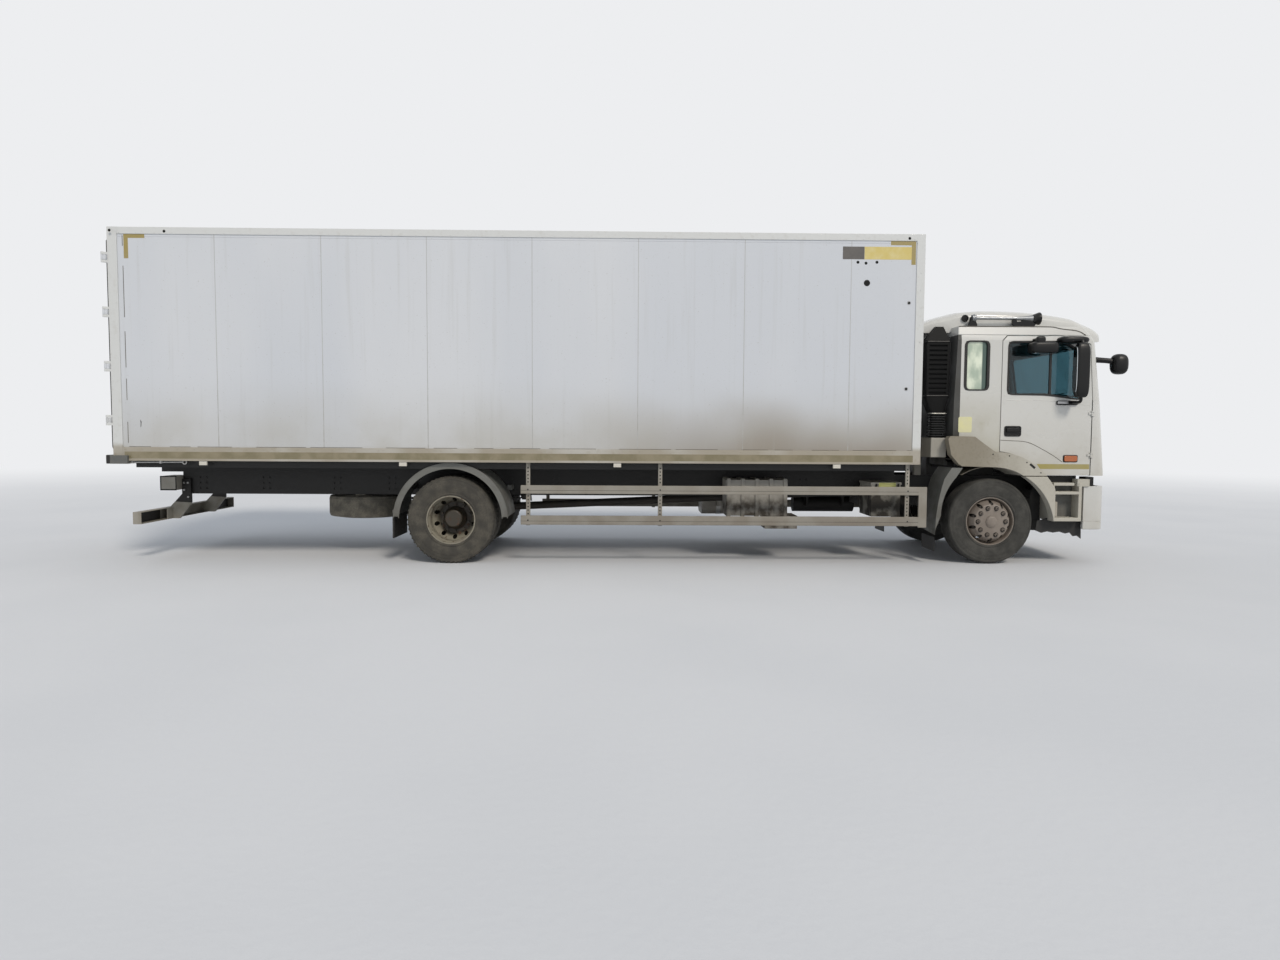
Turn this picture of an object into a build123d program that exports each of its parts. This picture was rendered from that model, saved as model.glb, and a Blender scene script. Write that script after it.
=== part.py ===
"""Refrigerated truck: two-axle tilt-cab chassis with an insulated box body.

Origin on the ground halfway along the truck, +X to the front, +Y to its left side.
Side outlines are drawn from the axle centre they belong to, in millimetres.
"""
import os
from math import cos, radians, sin

from build123d import *

os.makedirs("parts", exist_ok=True)

# Axles and wheels
FRONT_AXLE_X = 4420
WHEELBASE = 6500
REAR_AXLE_X = FRONT_AXLE_X - WHEELBASE
TYRE_RADIUS = 520
TYRE_WIDTH = 295
BEAD_WIDTH = 226
BEAD_RADIUS = 286
FLANGE_RADIUS = 302
RIM_BARREL_RADIUS = 262
RIM_SHEET = 8
DISC_SHEET = 12
DISC_OFFSET = 165
NUT_CIRCLE_RADIUS = 167.5
NUT_COUNT = 10
NUT_RADIUS = 17
NUT_HEIGHT = 26
HAND_HOLE_COUNT = 10
HAND_HOLE_RADIUS = 26
HAND_HOLE_CIRCLE = 222
FRONT_TYRE_Y = 1000
TWIN_OUTER_Y = 1090
TWIN_SPACING = 2 * DISC_OFFSET + DISC_SHEET
HUB_RADIUS = 140

# Steering
KINGPIN_Y = 870
KINGPIN_RADIUS = 22
KINGPIN_CLEARANCE = 0.3
STUB_RADIUS = 35
STUB_CLEARANCE = 0.3
STEERING_ARM = 170
TIE_ROD_RADIUS = 16
BALL_PIN_RADIUS = 10
AXLE_BEAM_DROP = 120

# Chassis ladder
RAIL_OUTER_Y = 425
RAIL_FLANGE = 80
RAIL_SHEET = 8
RAIL_BOTTOM_Z = 760
RAIL_TOP_Z = 1040
RAIL_FRONT_X = FRONT_AXLE_X + 1100
RAIL_REAR_X = FRONT_AXLE_X - 10070
BEARER_HEIGHT = 90
CROSS_BEARER_WIDTH = 50

# Insulated box body
BOX_WIDTH = 2600
BOX_FLOOR_Z = 1210
BOX_TOP_Z = 3900
BOX_REAR_X = FRONT_AXLE_X - 10400
BOX_FRONT_X = FRONT_AXLE_X - 930
RAIL_PROUD = 10
WALL = 80
ROOF = 100
FLOOR = 120
EDGE_RAIL = 80
BOTTOM_RAIL = 160
REAR_POST = 110
SILL_HEIGHT = 100
SILL_PROUD = 75

# Cargo doors
CARGO_DOOR_THICK = 80
CARGO_DOOR_GAP = 5
CARGO_DOOR_MEETING_GAP = 16
CARGO_HINGE_BACK = 45
CARGO_HINGE_OUT = 22
CARGO_HINGE_RADIUS = 14
CARGO_PIN_RADIUS = 8
CARGO_PIN_CLEARANCE = 0.4
CARGO_HINGE_HEIGHT = 120
CARGO_HINGE_COUNT = 4
CARGO_HINGE_FROM_SILL = 350
CARGO_HINGE_FROM_HEADER = 230
LOCK_BAR_RADIUS = 14
LOCK_BAR_STAND_OFF = 28

# Tilting cab
CAB_HALF_WIDTH = 1150
CAB_WALL = 50
CAB_BOTTOM_Z = 1080
BELT_Z = 1950
CAB_EAVE_Z = 2700
CAB_TOP_Z = 2870
CAB_REAR_X = FRONT_AXLE_X - 495
CAB_FRONT_X = FRONT_AXLE_X + 1348
FRONT_BULGE = 70
CORNER_RADIUS = 110
TILT_X = FRONT_AXLE_X + 1180
TILT_Z = 690
TILT_PIN_RADIUS = 22
TILT_PIN_CLEARANCE = 0.3
TILT_ARM_Y = 510
TILT_ARM_THICK = 40
TUNNEL_HALF_WIDTH = 400
TUNNEL_TOP_Z = 1540
FLOOR_SHEET = 40

# Cab doors
DOOR_REAR_X = FRONT_AXLE_X + 84
DOOR_FRONT_X = FRONT_AXLE_X + 1182
DOOR_TOP_Z = 2750
DOOR_THICK = 60
DOOR_GAP = 8
DOOR_HINGE_OUT = 12
DOOR_HINGE_RADIUS = 10
DOOR_PIN_RADIUS = 5
DOOR_PIN_CLEARANCE = 0.3
DOOR_HINGE_Z = [1330, 1830]
DOOR_HINGE_HEIGHT = 60
GLASS = 6


TO_RIGHT = (0, -1, 0)


def side(x, y=0, z=0):
    """Plane of a side outline, seen from the truck's right: u runs forward and v up."""
    return Plane(origin=(x, y, z), x_dir=(1, 0, 0), z_dir=(0, -1, 0))


def wheel_plane(x, y, z=TYRE_RADIUS):
    """Plane through a wheel's axis for its section: u runs outward to the right and v up."""
    return Plane(origin=(x, y, z), x_dir=(0, -1, 0), z_dir=(-1, 0, 0))


def span(low, high):
    """Fill the box between two corners, in the part being built."""
    size = [b - a for a, b in zip(low, high)]
    centre = tuple((a + b) / 2 for a, b in zip(low, high))
    with Locations(centre):
        return Box(*size)


def cut(low, high):
    """Take the box between two corners out of the part being built."""
    size = [b - a for a, b in zip(low, high)]
    centre = tuple((a + b) / 2 for a, b in zip(low, high))
    with Locations(centre):
        return Box(*size, mode=Mode.SUBTRACT)


def write(part, node):
    part.label = node
    export_step(part, f"parts/{node}.step")


def write_pair(part, node):
    """Write a piece of the right side, and its mirror image for the left side."""
    write(part, f"{node}_right")
    write(part.mirror(Plane.XZ), f"{node}_left")


# Tyre section: beads, bulging side walls and a tread with sloped shoulders
TREAD_HALF = 128
TREAD_FLAT = 95
SHOULDER_RADIUS = 508
BULGE_RADIUS = 400


def tyre(x, y):
    half_bead = BEAD_WIDTH / 2
    half = TYRE_WIDTH / 2
    with BuildPart() as solid:
        with BuildSketch(wheel_plane(x, y)):
            with BuildLine():
                Polyline((-half_bead, FLANGE_RADIUS), (-half_bead, BEAD_RADIUS),
                         (half_bead, BEAD_RADIUS), (half_bead, FLANGE_RADIUS))
                Polyline((half_bead, FLANGE_RADIUS), (half - 8, BULGE_RADIUS - 50), (half, BULGE_RADIUS),
                         (half - 4, BULGE_RADIUS + 40), (TREAD_HALF, SHOULDER_RADIUS), (TREAD_FLAT, TYRE_RADIUS),
                         (-TREAD_FLAT, TYRE_RADIUS), (-TREAD_HALF, SHOULDER_RADIUS),
                         (-half + 4, BULGE_RADIUS + 40), (-half, BULGE_RADIUS), (-half + 8, BULGE_RADIUS - 50),
                         (-half_bead, FLANGE_RADIUS))
            make_face()
        revolve(axis=Axis((x, y, TYRE_RADIUS), (0, 1, 0)))
    return solid.part


def rim(x, y, facing, hole_radius):
    """Steel disc wheel: facing 1 has its disc at the outer side, -1 at the inner side."""
    half_bead = BEAD_WIDTH / 2
    seat = DISC_OFFSET
    with BuildPart() as solid:
        with BuildSketch(wheel_plane(x, y)):
            with BuildLine():
                Polyline((-half_bead - 12, FLANGE_RADIUS - 4), (-half_bead, FLANGE_RADIUS - 4),
                         (-half_bead, BEAD_RADIUS), (half_bead, BEAD_RADIUS),
                         (half_bead, FLANGE_RADIUS - 4), (half_bead + 12, FLANGE_RADIUS - 4),
                         (half_bead + 12, BEAD_RADIUS - RIM_SHEET), (half_bead - 20, BEAD_RADIUS - RIM_SHEET),
                         (half_bead - 60, RIM_BARREL_RADIUS), (-half_bead + 20, RIM_BARREL_RADIUS),
                         (-half_bead - 12, BEAD_RADIUS - RIM_SHEET), close=True)
            make_face()
        revolve(axis=Axis((x, y, TYRE_RADIUS), (0, 1, 0)))
        with BuildSketch(wheel_plane(x, y)):
            with BuildLine():
                Polyline((facing * seat, hole_radius), (facing * (seat + DISC_SHEET), hole_radius),
                         (facing * (seat + DISC_SHEET), NUT_CIRCLE_RADIUS + 28),
                         (facing * (half_bead - 50), RIM_BARREL_RADIUS + 4),
                         (facing * (half_bead - 50 - DISC_SHEET), RIM_BARREL_RADIUS + 4),
                         (facing * seat, NUT_CIRCLE_RADIUS + 24), close=True)
            make_face()
        revolve(axis=Axis((x, y, TYRE_RADIUS), (0, 1, 0)))
        with Locations(Plane(origin=(x, y, TYRE_RADIUS), x_dir=(1, 0, 0), z_dir=(0, -facing, 0))):
            with PolarLocations(HAND_HOLE_CIRCLE + 6, HAND_HOLE_COUNT, start_angle=18):
                Cylinder(HAND_HOLE_RADIUS, 400, align=(Align.CENTER, Align.CENTER, Align.MIN),
                         mode=Mode.SUBTRACT)
    return solid.part


# Front wheels: disc outward, hub turning on the stub of the knuckle
FRONT_HUB_LENGTH = 150
FRONT_CAP_RADIUS = 66
FRONT_CAP_LENGTH = 60
front_disc_y = FRONT_TYRE_Y + DISC_OFFSET
front_hub_face = front_disc_y + DISC_SHEET

write_pair(tyre(FRONT_AXLE_X, -FRONT_TYRE_Y), "front_tyre")

with BuildPart() as front_wheel:
    add(rim(FRONT_AXLE_X, -FRONT_TYRE_Y, 1, STUB_RADIUS + 20))
    with BuildSketch(wheel_plane(FRONT_AXLE_X, 0)):
        with BuildLine():
            Polyline((front_disc_y - FRONT_HUB_LENGTH, STUB_RADIUS + STUB_CLEARANCE),
                     (front_disc_y - FRONT_HUB_LENGTH, HUB_RADIUS - 30),
                     (front_disc_y - 20, HUB_RADIUS), (front_disc_y, NUT_CIRCLE_RADIUS + 22),
                     (front_hub_face, NUT_CIRCLE_RADIUS + 22), (front_hub_face, FRONT_CAP_RADIUS + 25),
                     (front_hub_face + 16, FRONT_CAP_RADIUS + 8), (front_hub_face + 16, FRONT_CAP_RADIUS),
                     (front_hub_face + FRONT_CAP_LENGTH - 14, FRONT_CAP_RADIUS),
                     (front_hub_face + FRONT_CAP_LENGTH, FRONT_CAP_RADIUS - 18),
                     (front_hub_face + FRONT_CAP_LENGTH, 0), (front_hub_face + 20, 0),
                     (front_hub_face + 20, STUB_RADIUS + STUB_CLEARANCE), close=True)
        make_face()
    revolve(axis=Axis((FRONT_AXLE_X, 0, TYRE_RADIUS), (0, 1, 0)))
    with BuildSketch(Plane(origin=(FRONT_AXLE_X, -front_hub_face, TYRE_RADIUS), z_dir=(0, -1, 0))):
        with PolarLocations(NUT_CIRCLE_RADIUS, NUT_COUNT):
            RegularPolygon(NUT_RADIUS, 6)
    extrude(amount=NUT_HEIGHT)
write_pair(front_wheel.part, "front_rim")

# Rear twin wheels: outer disc inward and inner disc outward, clamped on one hub
TWIN_INNER_Y = TWIN_OUTER_Y - TWIN_SPACING
AXLE_TUBE_RADIUS = 62
AXLE_TUBE_END_Y = 900
REAR_HUB_END_RADIUS = 110
twin_seat_y = TWIN_OUTER_Y - DISC_OFFSET

with BuildPart() as rear_tyre_pair:
    add(tyre(REAR_AXLE_X, -TWIN_OUTER_Y))
    add(tyre(REAR_AXLE_X, -TWIN_INNER_Y))
write_pair(rear_tyre_pair.part, "rear_tyres")

with BuildPart() as rear_wheel:
    add(rim(REAR_AXLE_X, -TWIN_OUTER_Y, -1, HUB_RADIUS))
    add(rim(REAR_AXLE_X, -TWIN_INNER_Y, 1, HUB_RADIUS))
    with BuildSketch(wheel_plane(REAR_AXLE_X, 0)):
        with BuildLine():
            Polyline((AXLE_TUBE_END_Y - 160, AXLE_TUBE_RADIUS + STUB_CLEARANCE),
                     (AXLE_TUBE_END_Y - 160, HUB_RADIUS + 60), (twin_seat_y - DISC_SHEET * 2, HUB_RADIUS + 60),
                     (twin_seat_y - DISC_SHEET * 2, HUB_RADIUS), (twin_seat_y + 20, HUB_RADIUS),
                     (twin_seat_y + 60, REAR_HUB_END_RADIUS), (twin_seat_y + 150, REAR_HUB_END_RADIUS - 6),
                     (twin_seat_y + 160, REAR_HUB_END_RADIUS - 20), (twin_seat_y + 160, 0),
                     (AXLE_TUBE_END_Y + 10, 0), (AXLE_TUBE_END_Y + 10, AXLE_TUBE_RADIUS + STUB_CLEARANCE),
                     close=True)
        make_face()
    revolve(axis=Axis((REAR_AXLE_X, 0, TYRE_RADIUS), (0, 1, 0)))
    with BuildSketch(Plane(origin=(REAR_AXLE_X, -twin_seat_y, TYRE_RADIUS), z_dir=(0, -1, 0))):
        with PolarLocations(NUT_CIRCLE_RADIUS, NUT_COUNT):
            RegularPolygon(NUT_RADIUS, 6)
    extrude(amount=NUT_HEIGHT + DISC_SHEET)
write_pair(rear_wheel.part, "rear_rims")

# Steering knuckle: fork round the axle end on the kingpin, stub axle and steering arm
KNUCKLE_HALF_HEIGHT = 130
AXLE_EYE_HALF_HEIGHT = 70
AXLE_EYE_RADIUS = 48
KNUCKLE_GAP = 6
ARM_Z = TYRE_RADIUS - 100
ARM_SHEET = 24
arm_end_x = FRONT_AXLE_X - STEERING_ARM
stub_end = front_hub_face + 14

with BuildPart() as knuckle:
    with Locations((FRONT_AXLE_X, -KINGPIN_Y, TYRE_RADIUS)):
        Cylinder(AXLE_EYE_RADIUS, 2 * KNUCKLE_HALF_HEIGHT)
    span((FRONT_AXLE_X - 60, -KINGPIN_Y - AXLE_EYE_RADIUS - 44, TYRE_RADIUS - KNUCKLE_HALF_HEIGHT),
         (FRONT_AXLE_X + 60, -KINGPIN_Y, TYRE_RADIUS + KNUCKLE_HALF_HEIGHT))
    with Locations((FRONT_AXLE_X, -KINGPIN_Y, TYRE_RADIUS)):
        Cylinder(AXLE_EYE_RADIUS + KNUCKLE_GAP + 4, 2 * (AXLE_EYE_HALF_HEIGHT + KNUCKLE_GAP), mode=Mode.SUBTRACT)
        Cylinder(KINGPIN_RADIUS + KINGPIN_CLEARANCE, 4 * KNUCKLE_HALF_HEIGHT, mode=Mode.SUBTRACT)
    with BuildSketch(wheel_plane(FRONT_AXLE_X, 0)):
        with BuildLine():
            Polyline((KINGPIN_Y + AXLE_EYE_RADIUS + 20, 0), (KINGPIN_Y + AXLE_EYE_RADIUS + 20, STUB_RADIUS + 18),
                     (front_disc_y - FRONT_HUB_LENGTH - 6, STUB_RADIUS + 18),
                     (front_disc_y - FRONT_HUB_LENGTH - 6, STUB_RADIUS), (stub_end, STUB_RADIUS),
                     (stub_end, 0), close=True)
        make_face()
    revolve(axis=Axis((FRONT_AXLE_X, 0, TYRE_RADIUS), (0, 1, 0)))
    with BuildSketch(Plane.XY.offset(ARM_Z - ARM_SHEET / 2)):
        with BuildLine():
            Polyline((FRONT_AXLE_X - 40, -KINGPIN_Y - 50), (FRONT_AXLE_X - 40, -KINGPIN_Y + 20),
                     (arm_end_x, -KINGPIN_Y + 26), (arm_end_x, -KINGPIN_Y - 26), close=True)
        make_face()
        with Locations((arm_end_x, -KINGPIN_Y)):
            Circle(26)
    extrude(amount=ARM_SHEET)
    with Locations((arm_end_x, -KINGPIN_Y, ARM_Z)):
        Cylinder(BALL_PIN_RADIUS + KINGPIN_CLEARANCE, 4 * ARM_SHEET, mode=Mode.SUBTRACT)
write_pair(knuckle.part, "steering_knuckle")

# Tie rod under the steering arms, with a ball pin up through each arm
TIE_ROD_Z = ARM_Z - ARM_SHEET / 2 - TIE_ROD_RADIUS - 8
with BuildPart() as tie_rod:
    with BuildSketch(side(arm_end_x, KINGPIN_Y, TIE_ROD_Z)):
        Circle(TIE_ROD_RADIUS)
    extrude(amount=2 * KINGPIN_Y)
    with Locations((arm_end_x, KINGPIN_Y, TIE_ROD_Z), (arm_end_x, -KINGPIN_Y, TIE_ROD_Z)):
        Cylinder(TIE_ROD_RADIUS + 8, 2 * TIE_ROD_RADIUS)
        Cylinder(BALL_PIN_RADIUS, ARM_Z + ARM_SHEET / 2 + 12 - TIE_ROD_Z,
                 align=(Align.CENTER, Align.CENTER, Align.MIN))
write(tie_rod.part, "tie_rod")

# Front axle: dropped beam with an eye and a kingpin at each end
BEAM_HALF_DEPTH = 45
SPRING_Y = 430
front_seat_z = TYRE_RADIUS - AXLE_BEAM_DROP + 100
with BuildPart() as front_axle:
    with BuildSketch(Plane(origin=(FRONT_AXLE_X, 0, TYRE_RADIUS), x_dir=(0, 1, 0), z_dir=(1, 0, 0))):
        with BuildLine():
            half_low = SPRING_Y + 110
            top = BEAM_HALF_DEPTH
            low = -AXLE_BEAM_DROP
            Polyline((-KINGPIN_Y, top), (-KINGPIN_Y + 120, top), (-half_low, low + 100), (half_low, low + 100),
                     (KINGPIN_Y - 120, top), (KINGPIN_Y, top), (KINGPIN_Y, -top), (KINGPIN_Y - 150, -top),
                     (half_low, low), (-half_low, low), (-KINGPIN_Y + 150, -top), (-KINGPIN_Y, -top), close=True)
        make_face()
    extrude(amount=40, both=True)
    with Locations((FRONT_AXLE_X, -KINGPIN_Y, TYRE_RADIUS), (FRONT_AXLE_X, KINGPIN_Y, TYRE_RADIUS)):
        Cylinder(AXLE_EYE_RADIUS, 2 * AXLE_EYE_HALF_HEIGHT)
        Cylinder(KINGPIN_RADIUS, 2 * KNUCKLE_HALF_HEIGHT)
    for sign in (-1, 1):
        span((FRONT_AXLE_X - 80, sign * SPRING_Y - 50, front_seat_z - 20),
             (FRONT_AXLE_X + 80, sign * SPRING_Y + 50, front_seat_z + 12))
write(front_axle.part, "front_axle")

# Rear axle: tubes, differential bowl and the shaft from the gearbox
BOWL_RADIUS = 230
SHAFT_RADIUS = 50
SHAFT_FRONT_X = FRONT_AXLE_X - 1350
SHAFT_FRONT_Z = 800
with BuildPart() as rear_axle:
    with BuildSketch(wheel_plane(REAR_AXLE_X, 0)):
        with BuildLine():
            Polyline((-AXLE_TUBE_END_Y, 0), (-AXLE_TUBE_END_Y, AXLE_TUBE_RADIUS), (-AXLE_TUBE_END_Y + 165, AXLE_TUBE_RADIUS),
                     (-AXLE_TUBE_END_Y + 165, AXLE_TUBE_RADIUS + 18), (-210, AXLE_TUBE_RADIUS + 30),
                     (-120, BOWL_RADIUS - 40), (-50, BOWL_RADIUS), (50, BOWL_RADIUS), (120, BOWL_RADIUS - 40),
                     (210, AXLE_TUBE_RADIUS + 30), (AXLE_TUBE_END_Y - 165, AXLE_TUBE_RADIUS + 18),
                     (AXLE_TUBE_END_Y - 165, AXLE_TUBE_RADIUS), (AXLE_TUBE_END_Y, AXLE_TUBE_RADIUS),
                     (AXLE_TUBE_END_Y, 0), (-AXLE_TUBE_END_Y, 0))
        make_face()
    revolve(axis=Axis((REAR_AXLE_X, 0, TYRE_RADIUS), (0, 1, 0)))
    for sign in (-1, 1):
        span((REAR_AXLE_X - 80, sign * SPRING_Y - 45, TYRE_RADIUS - 20),
             (REAR_AXLE_X + 80, sign * SPRING_Y + 45, TYRE_RADIUS + AXLE_TUBE_RADIUS + 26))
    nose_plane = Plane(origin=(REAR_AXLE_X, 0, TYRE_RADIUS + 30),
                       z_dir=(SHAFT_FRONT_X - REAR_AXLE_X, 0, SHAFT_FRONT_Z - TYRE_RADIUS - 30))
    shaft_length = ((SHAFT_FRONT_X - REAR_AXLE_X) ** 2 + (SHAFT_FRONT_Z - TYRE_RADIUS - 30) ** 2) ** 0.5
    with BuildSketch(nose_plane):
        Circle(110)
    extrude(amount=330, taper=6)
    with BuildSketch(nose_plane):
        Circle(SHAFT_RADIUS)
    extrude(amount=shaft_length + 2 * SHAFT_RADIUS)
    cut((SHAFT_FRONT_X, -200, 500), (SHAFT_FRONT_X + 300, 200, 1100))
write(rear_axle.part, "rear_axle")

# Leaf springs: bowed packs of leaves under the rails, with eyes in brackets
LEAF_WIDTH = 80
LEAF_SHEET = 12


def spring(x, half, leaves, seat_z, eye_z):
    """Pack of leaves shortening downward from the main leaf, which ends at the eyes."""
    with BuildPart() as pack:
        for i in range(leaves):
            reach = half * (1 - 0.11 * i)
            top = seat_z - i * LEAF_SHEET
            low = top - LEAF_SHEET
            rise = (eye_z - seat_z) * (reach / half) ** 2
            with BuildSketch(side(x, -SPRING_Y + LEAF_WIDTH / 2)):
                with BuildLine():
                    ThreePointArc((-reach, top + rise), (0, top), (reach, top + rise))
                    Line((reach, top + rise), (reach, low + rise))
                    ThreePointArc((reach, low + rise), (0, low), (-reach, low + rise))
                    Line((-reach, low + rise), (-reach, top + rise))
                make_face()
            extrude(amount=LEAF_WIDTH)
    return pack.part


FRONT_SPRING_HALF = 720
REAR_SPRING_HALF = 780
FRONT_EYE_Z = 690
REAR_EYE_Z = 735
FRONT_LEAVES = 6
REAR_LEAVES = 8
front_pack_top = front_seat_z + 12 + FRONT_LEAVES * LEAF_SHEET
rear_pack_top = TYRE_RADIUS + AXLE_TUBE_RADIUS + 26 + REAR_LEAVES * LEAF_SHEET
with BuildPart() as leaf_springs:
    add(spring(FRONT_AXLE_X, FRONT_SPRING_HALF, FRONT_LEAVES, front_pack_top, FRONT_EYE_Z))
    add(spring(REAR_AXLE_X, REAR_SPRING_HALF, REAR_LEAVES, rear_pack_top, REAR_EYE_Z))
    for axle_x, half, eye_z in [(FRONT_AXLE_X, FRONT_SPRING_HALF, FRONT_EYE_Z),
                                (REAR_AXLE_X, REAR_SPRING_HALF, REAR_EYE_Z)]:
        for eye_x in (axle_x - half, axle_x + half):
            with BuildSketch(side(eye_x, -SPRING_Y + LEAF_WIDTH / 2)):
                with BuildLine():
                    Polyline((-50, RAIL_BOTTOM_Z), (50, RAIL_BOTTOM_Z), (26, eye_z - 30), (-26, eye_z - 30),
                             close=True)
                make_face()
            extrude(amount=LEAF_WIDTH)
    mirror(about=Plane.XZ)
write(leaf_springs.part, "leaf_springs")

# Chassis rails: channels with the cab pivots, the bumper boxes and forward-facing tow sockets
PIVOT_PLATE = 25
BUMPER_BOX_FRONT_X = TILT_X + 100
BUMPER_BOX_LOW_Z = 640
TOW_Y = RAIL_OUTER_Y - RAIL_FLANGE / 2
TOW_Z = 585
TOW_HOLE_RADIUS = 16
TOW_HALF = 40
rail_web_y = RAIL_OUTER_Y - RAIL_SHEET
rail_lip_y = RAIL_OUTER_Y - RAIL_FLANGE
with BuildPart() as frame_rails:
    with BuildSketch(Plane(origin=(RAIL_REAR_X, 0, 0), x_dir=(0, 1, 0), z_dir=(1, 0, 0))):
        with BuildLine():
            Polyline((-rail_lip_y, RAIL_BOTTOM_Z), (-RAIL_OUTER_Y, RAIL_BOTTOM_Z), (-RAIL_OUTER_Y, RAIL_TOP_Z),
                     (-rail_lip_y, RAIL_TOP_Z), (-rail_lip_y, RAIL_TOP_Z - RAIL_SHEET),
                     (-rail_web_y, RAIL_TOP_Z - RAIL_SHEET), (-rail_web_y, RAIL_BOTTOM_Z + RAIL_SHEET),
                     (-rail_lip_y, RAIL_BOTTOM_Z + RAIL_SHEET), close=True)
        make_face()
    extrude(amount=RAIL_FRONT_X - RAIL_REAR_X)
    span((TILT_X - 180, -RAIL_OUTER_Y - PIVOT_PLATE, TILT_Z - 60), (TILT_X + 60, -RAIL_OUTER_Y, TILT_Z + 260))
    with BuildSketch(side(TILT_X, -RAIL_OUTER_Y, TILT_Z)):
        Circle(TILT_PIN_RADIUS)
    extrude(amount=TILT_ARM_Y + TILT_ARM_THICK / 2 + 10 - RAIL_OUTER_Y)
    span((TILT_X - 80, -RAIL_OUTER_Y, BUMPER_BOX_LOW_Z), (BUMPER_BOX_FRONT_X, -rail_lip_y, 900))
    span((TILT_X, -TOW_Y - TOW_HALF, TOW_Z - TOW_HALF), (BUMPER_BOX_FRONT_X, -TOW_Y + TOW_HALF, BUMPER_BOX_LOW_Z))
    with BuildSketch(Plane(origin=(TILT_X, -TOW_Y, TOW_Z), z_dir=(1, 0, 0))):
        Circle(TOW_HOLE_RADIUS)
    extrude(amount=BUMPER_BOX_FRONT_X - TILT_X, mode=Mode.SUBTRACT)
    mirror(about=Plane.XZ)
write(frame_rails.part, "frame_rails")

# Cross members between the webs, with the drop-pin plate behind the last one
CROSS_MEMBER_X = [-900, -2300, -3700, -5100, -5950, -7100, -8900, -10000]
CROSS_MEMBER_HEIGHT = 150
REAR_TOW_Z = 890
REAR_TOW_SHEET = 30
REAR_TOW_HOLE_RADIUS = 20
with BuildPart() as cross_members:
    for station in CROSS_MEMBER_X:
        x = FRONT_AXLE_X + station
        span((x - 35, -rail_web_y, RAIL_TOP_Z - RAIL_SHEET - CROSS_MEMBER_HEIGHT),
             (x + 35, rail_web_y, RAIL_TOP_Z - RAIL_SHEET))
    span((TILT_X - 80, -rail_lip_y, 700), (TILT_X - 10, rail_lip_y, 820))
    span((RAIL_REAR_X - 110, -70, REAR_TOW_Z), (RAIL_REAR_X + 100, 70, REAR_TOW_Z + REAR_TOW_SHEET))
    with Locations((RAIL_REAR_X - 60, 0, REAR_TOW_Z + REAR_TOW_SHEET / 2)):
        Cylinder(REAR_TOW_HOLE_RADIUS, REAR_TOW_SHEET, mode=Mode.SUBTRACT)
write(cross_members.part, "cross_members")

# Body bearers: one along each rail, and cross bearers on them under the box floor
CROSS_BEARER_PITCH = 585
CROSS_BEARER_COUNT = 16
CROSS_BEARER_HALF = 1200
SHORT_BEARER_HALF = 560
MUDGUARD_RADIUS = 680
bearer_top_z = RAIL_TOP_Z + BEARER_HEIGHT
with BuildPart() as body_bearers:
    span((BOX_REAR_X + 60, -RAIL_OUTER_Y, RAIL_TOP_Z), (BOX_FRONT_X - 20, -rail_lip_y, bearer_top_z))
    mirror(about=Plane.XZ)
write(body_bearers.part, "body_bearers")

with BuildPart() as cross_bearers:
    for i in range(CROSS_BEARER_COUNT):
        x = BOX_REAR_X + 320 + i * CROSS_BEARER_PITCH
        over_wheels = abs(x - REAR_AXLE_X) < MUDGUARD_RADIUS + 40
        half = SHORT_BEARER_HALF if over_wheels else CROSS_BEARER_HALF
        span((x - CROSS_BEARER_WIDTH / 2, -half, bearer_top_z), (x + CROSS_BEARER_WIDTH / 2, half, BOX_FLOOR_Z))
write(cross_bearers.part, "cross_bearers")

# Insulated box: floor, walls and roof as sandwich panels between edge rails
wall_outer_y = BOX_WIDTH / 2 - RAIL_PROUD
wall_inner_y = wall_outer_y - WALL
front_wall_x = BOX_FRONT_X - RAIL_PROUD
frame_front_x = BOX_REAR_X + REAR_POST
roof_under_z = BOX_TOP_Z - RAIL_PROUD - ROOF

with BuildPart() as box_floor:
    span((frame_front_x, -wall_inner_y, BOX_FLOOR_Z), (front_wall_x - WALL, wall_inner_y, BOX_FLOOR_Z + FLOOR))
write(box_floor.part, "box_floor")

with BuildPart() as box_side_walls:
    for low_y, high_y in [(-wall_outer_y, -wall_inner_y), (wall_inner_y, wall_outer_y)]:
        span((frame_front_x, low_y, BOX_FLOOR_Z), (front_wall_x - WALL, high_y, roof_under_z))
write(box_side_walls.part, "box_side_walls")

with BuildPart() as box_front_wall:
    span((front_wall_x - WALL, -wall_outer_y, BOX_FLOOR_Z), (front_wall_x, wall_outer_y, roof_under_z))
write(box_front_wall.part, "box_front_wall")

with BuildPart() as box_roof:
    span((frame_front_x, -wall_outer_y, roof_under_z), (front_wall_x, wall_outer_y, BOX_TOP_Z - RAIL_PROUD))
write(box_roof.part, "box_roof")

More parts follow.
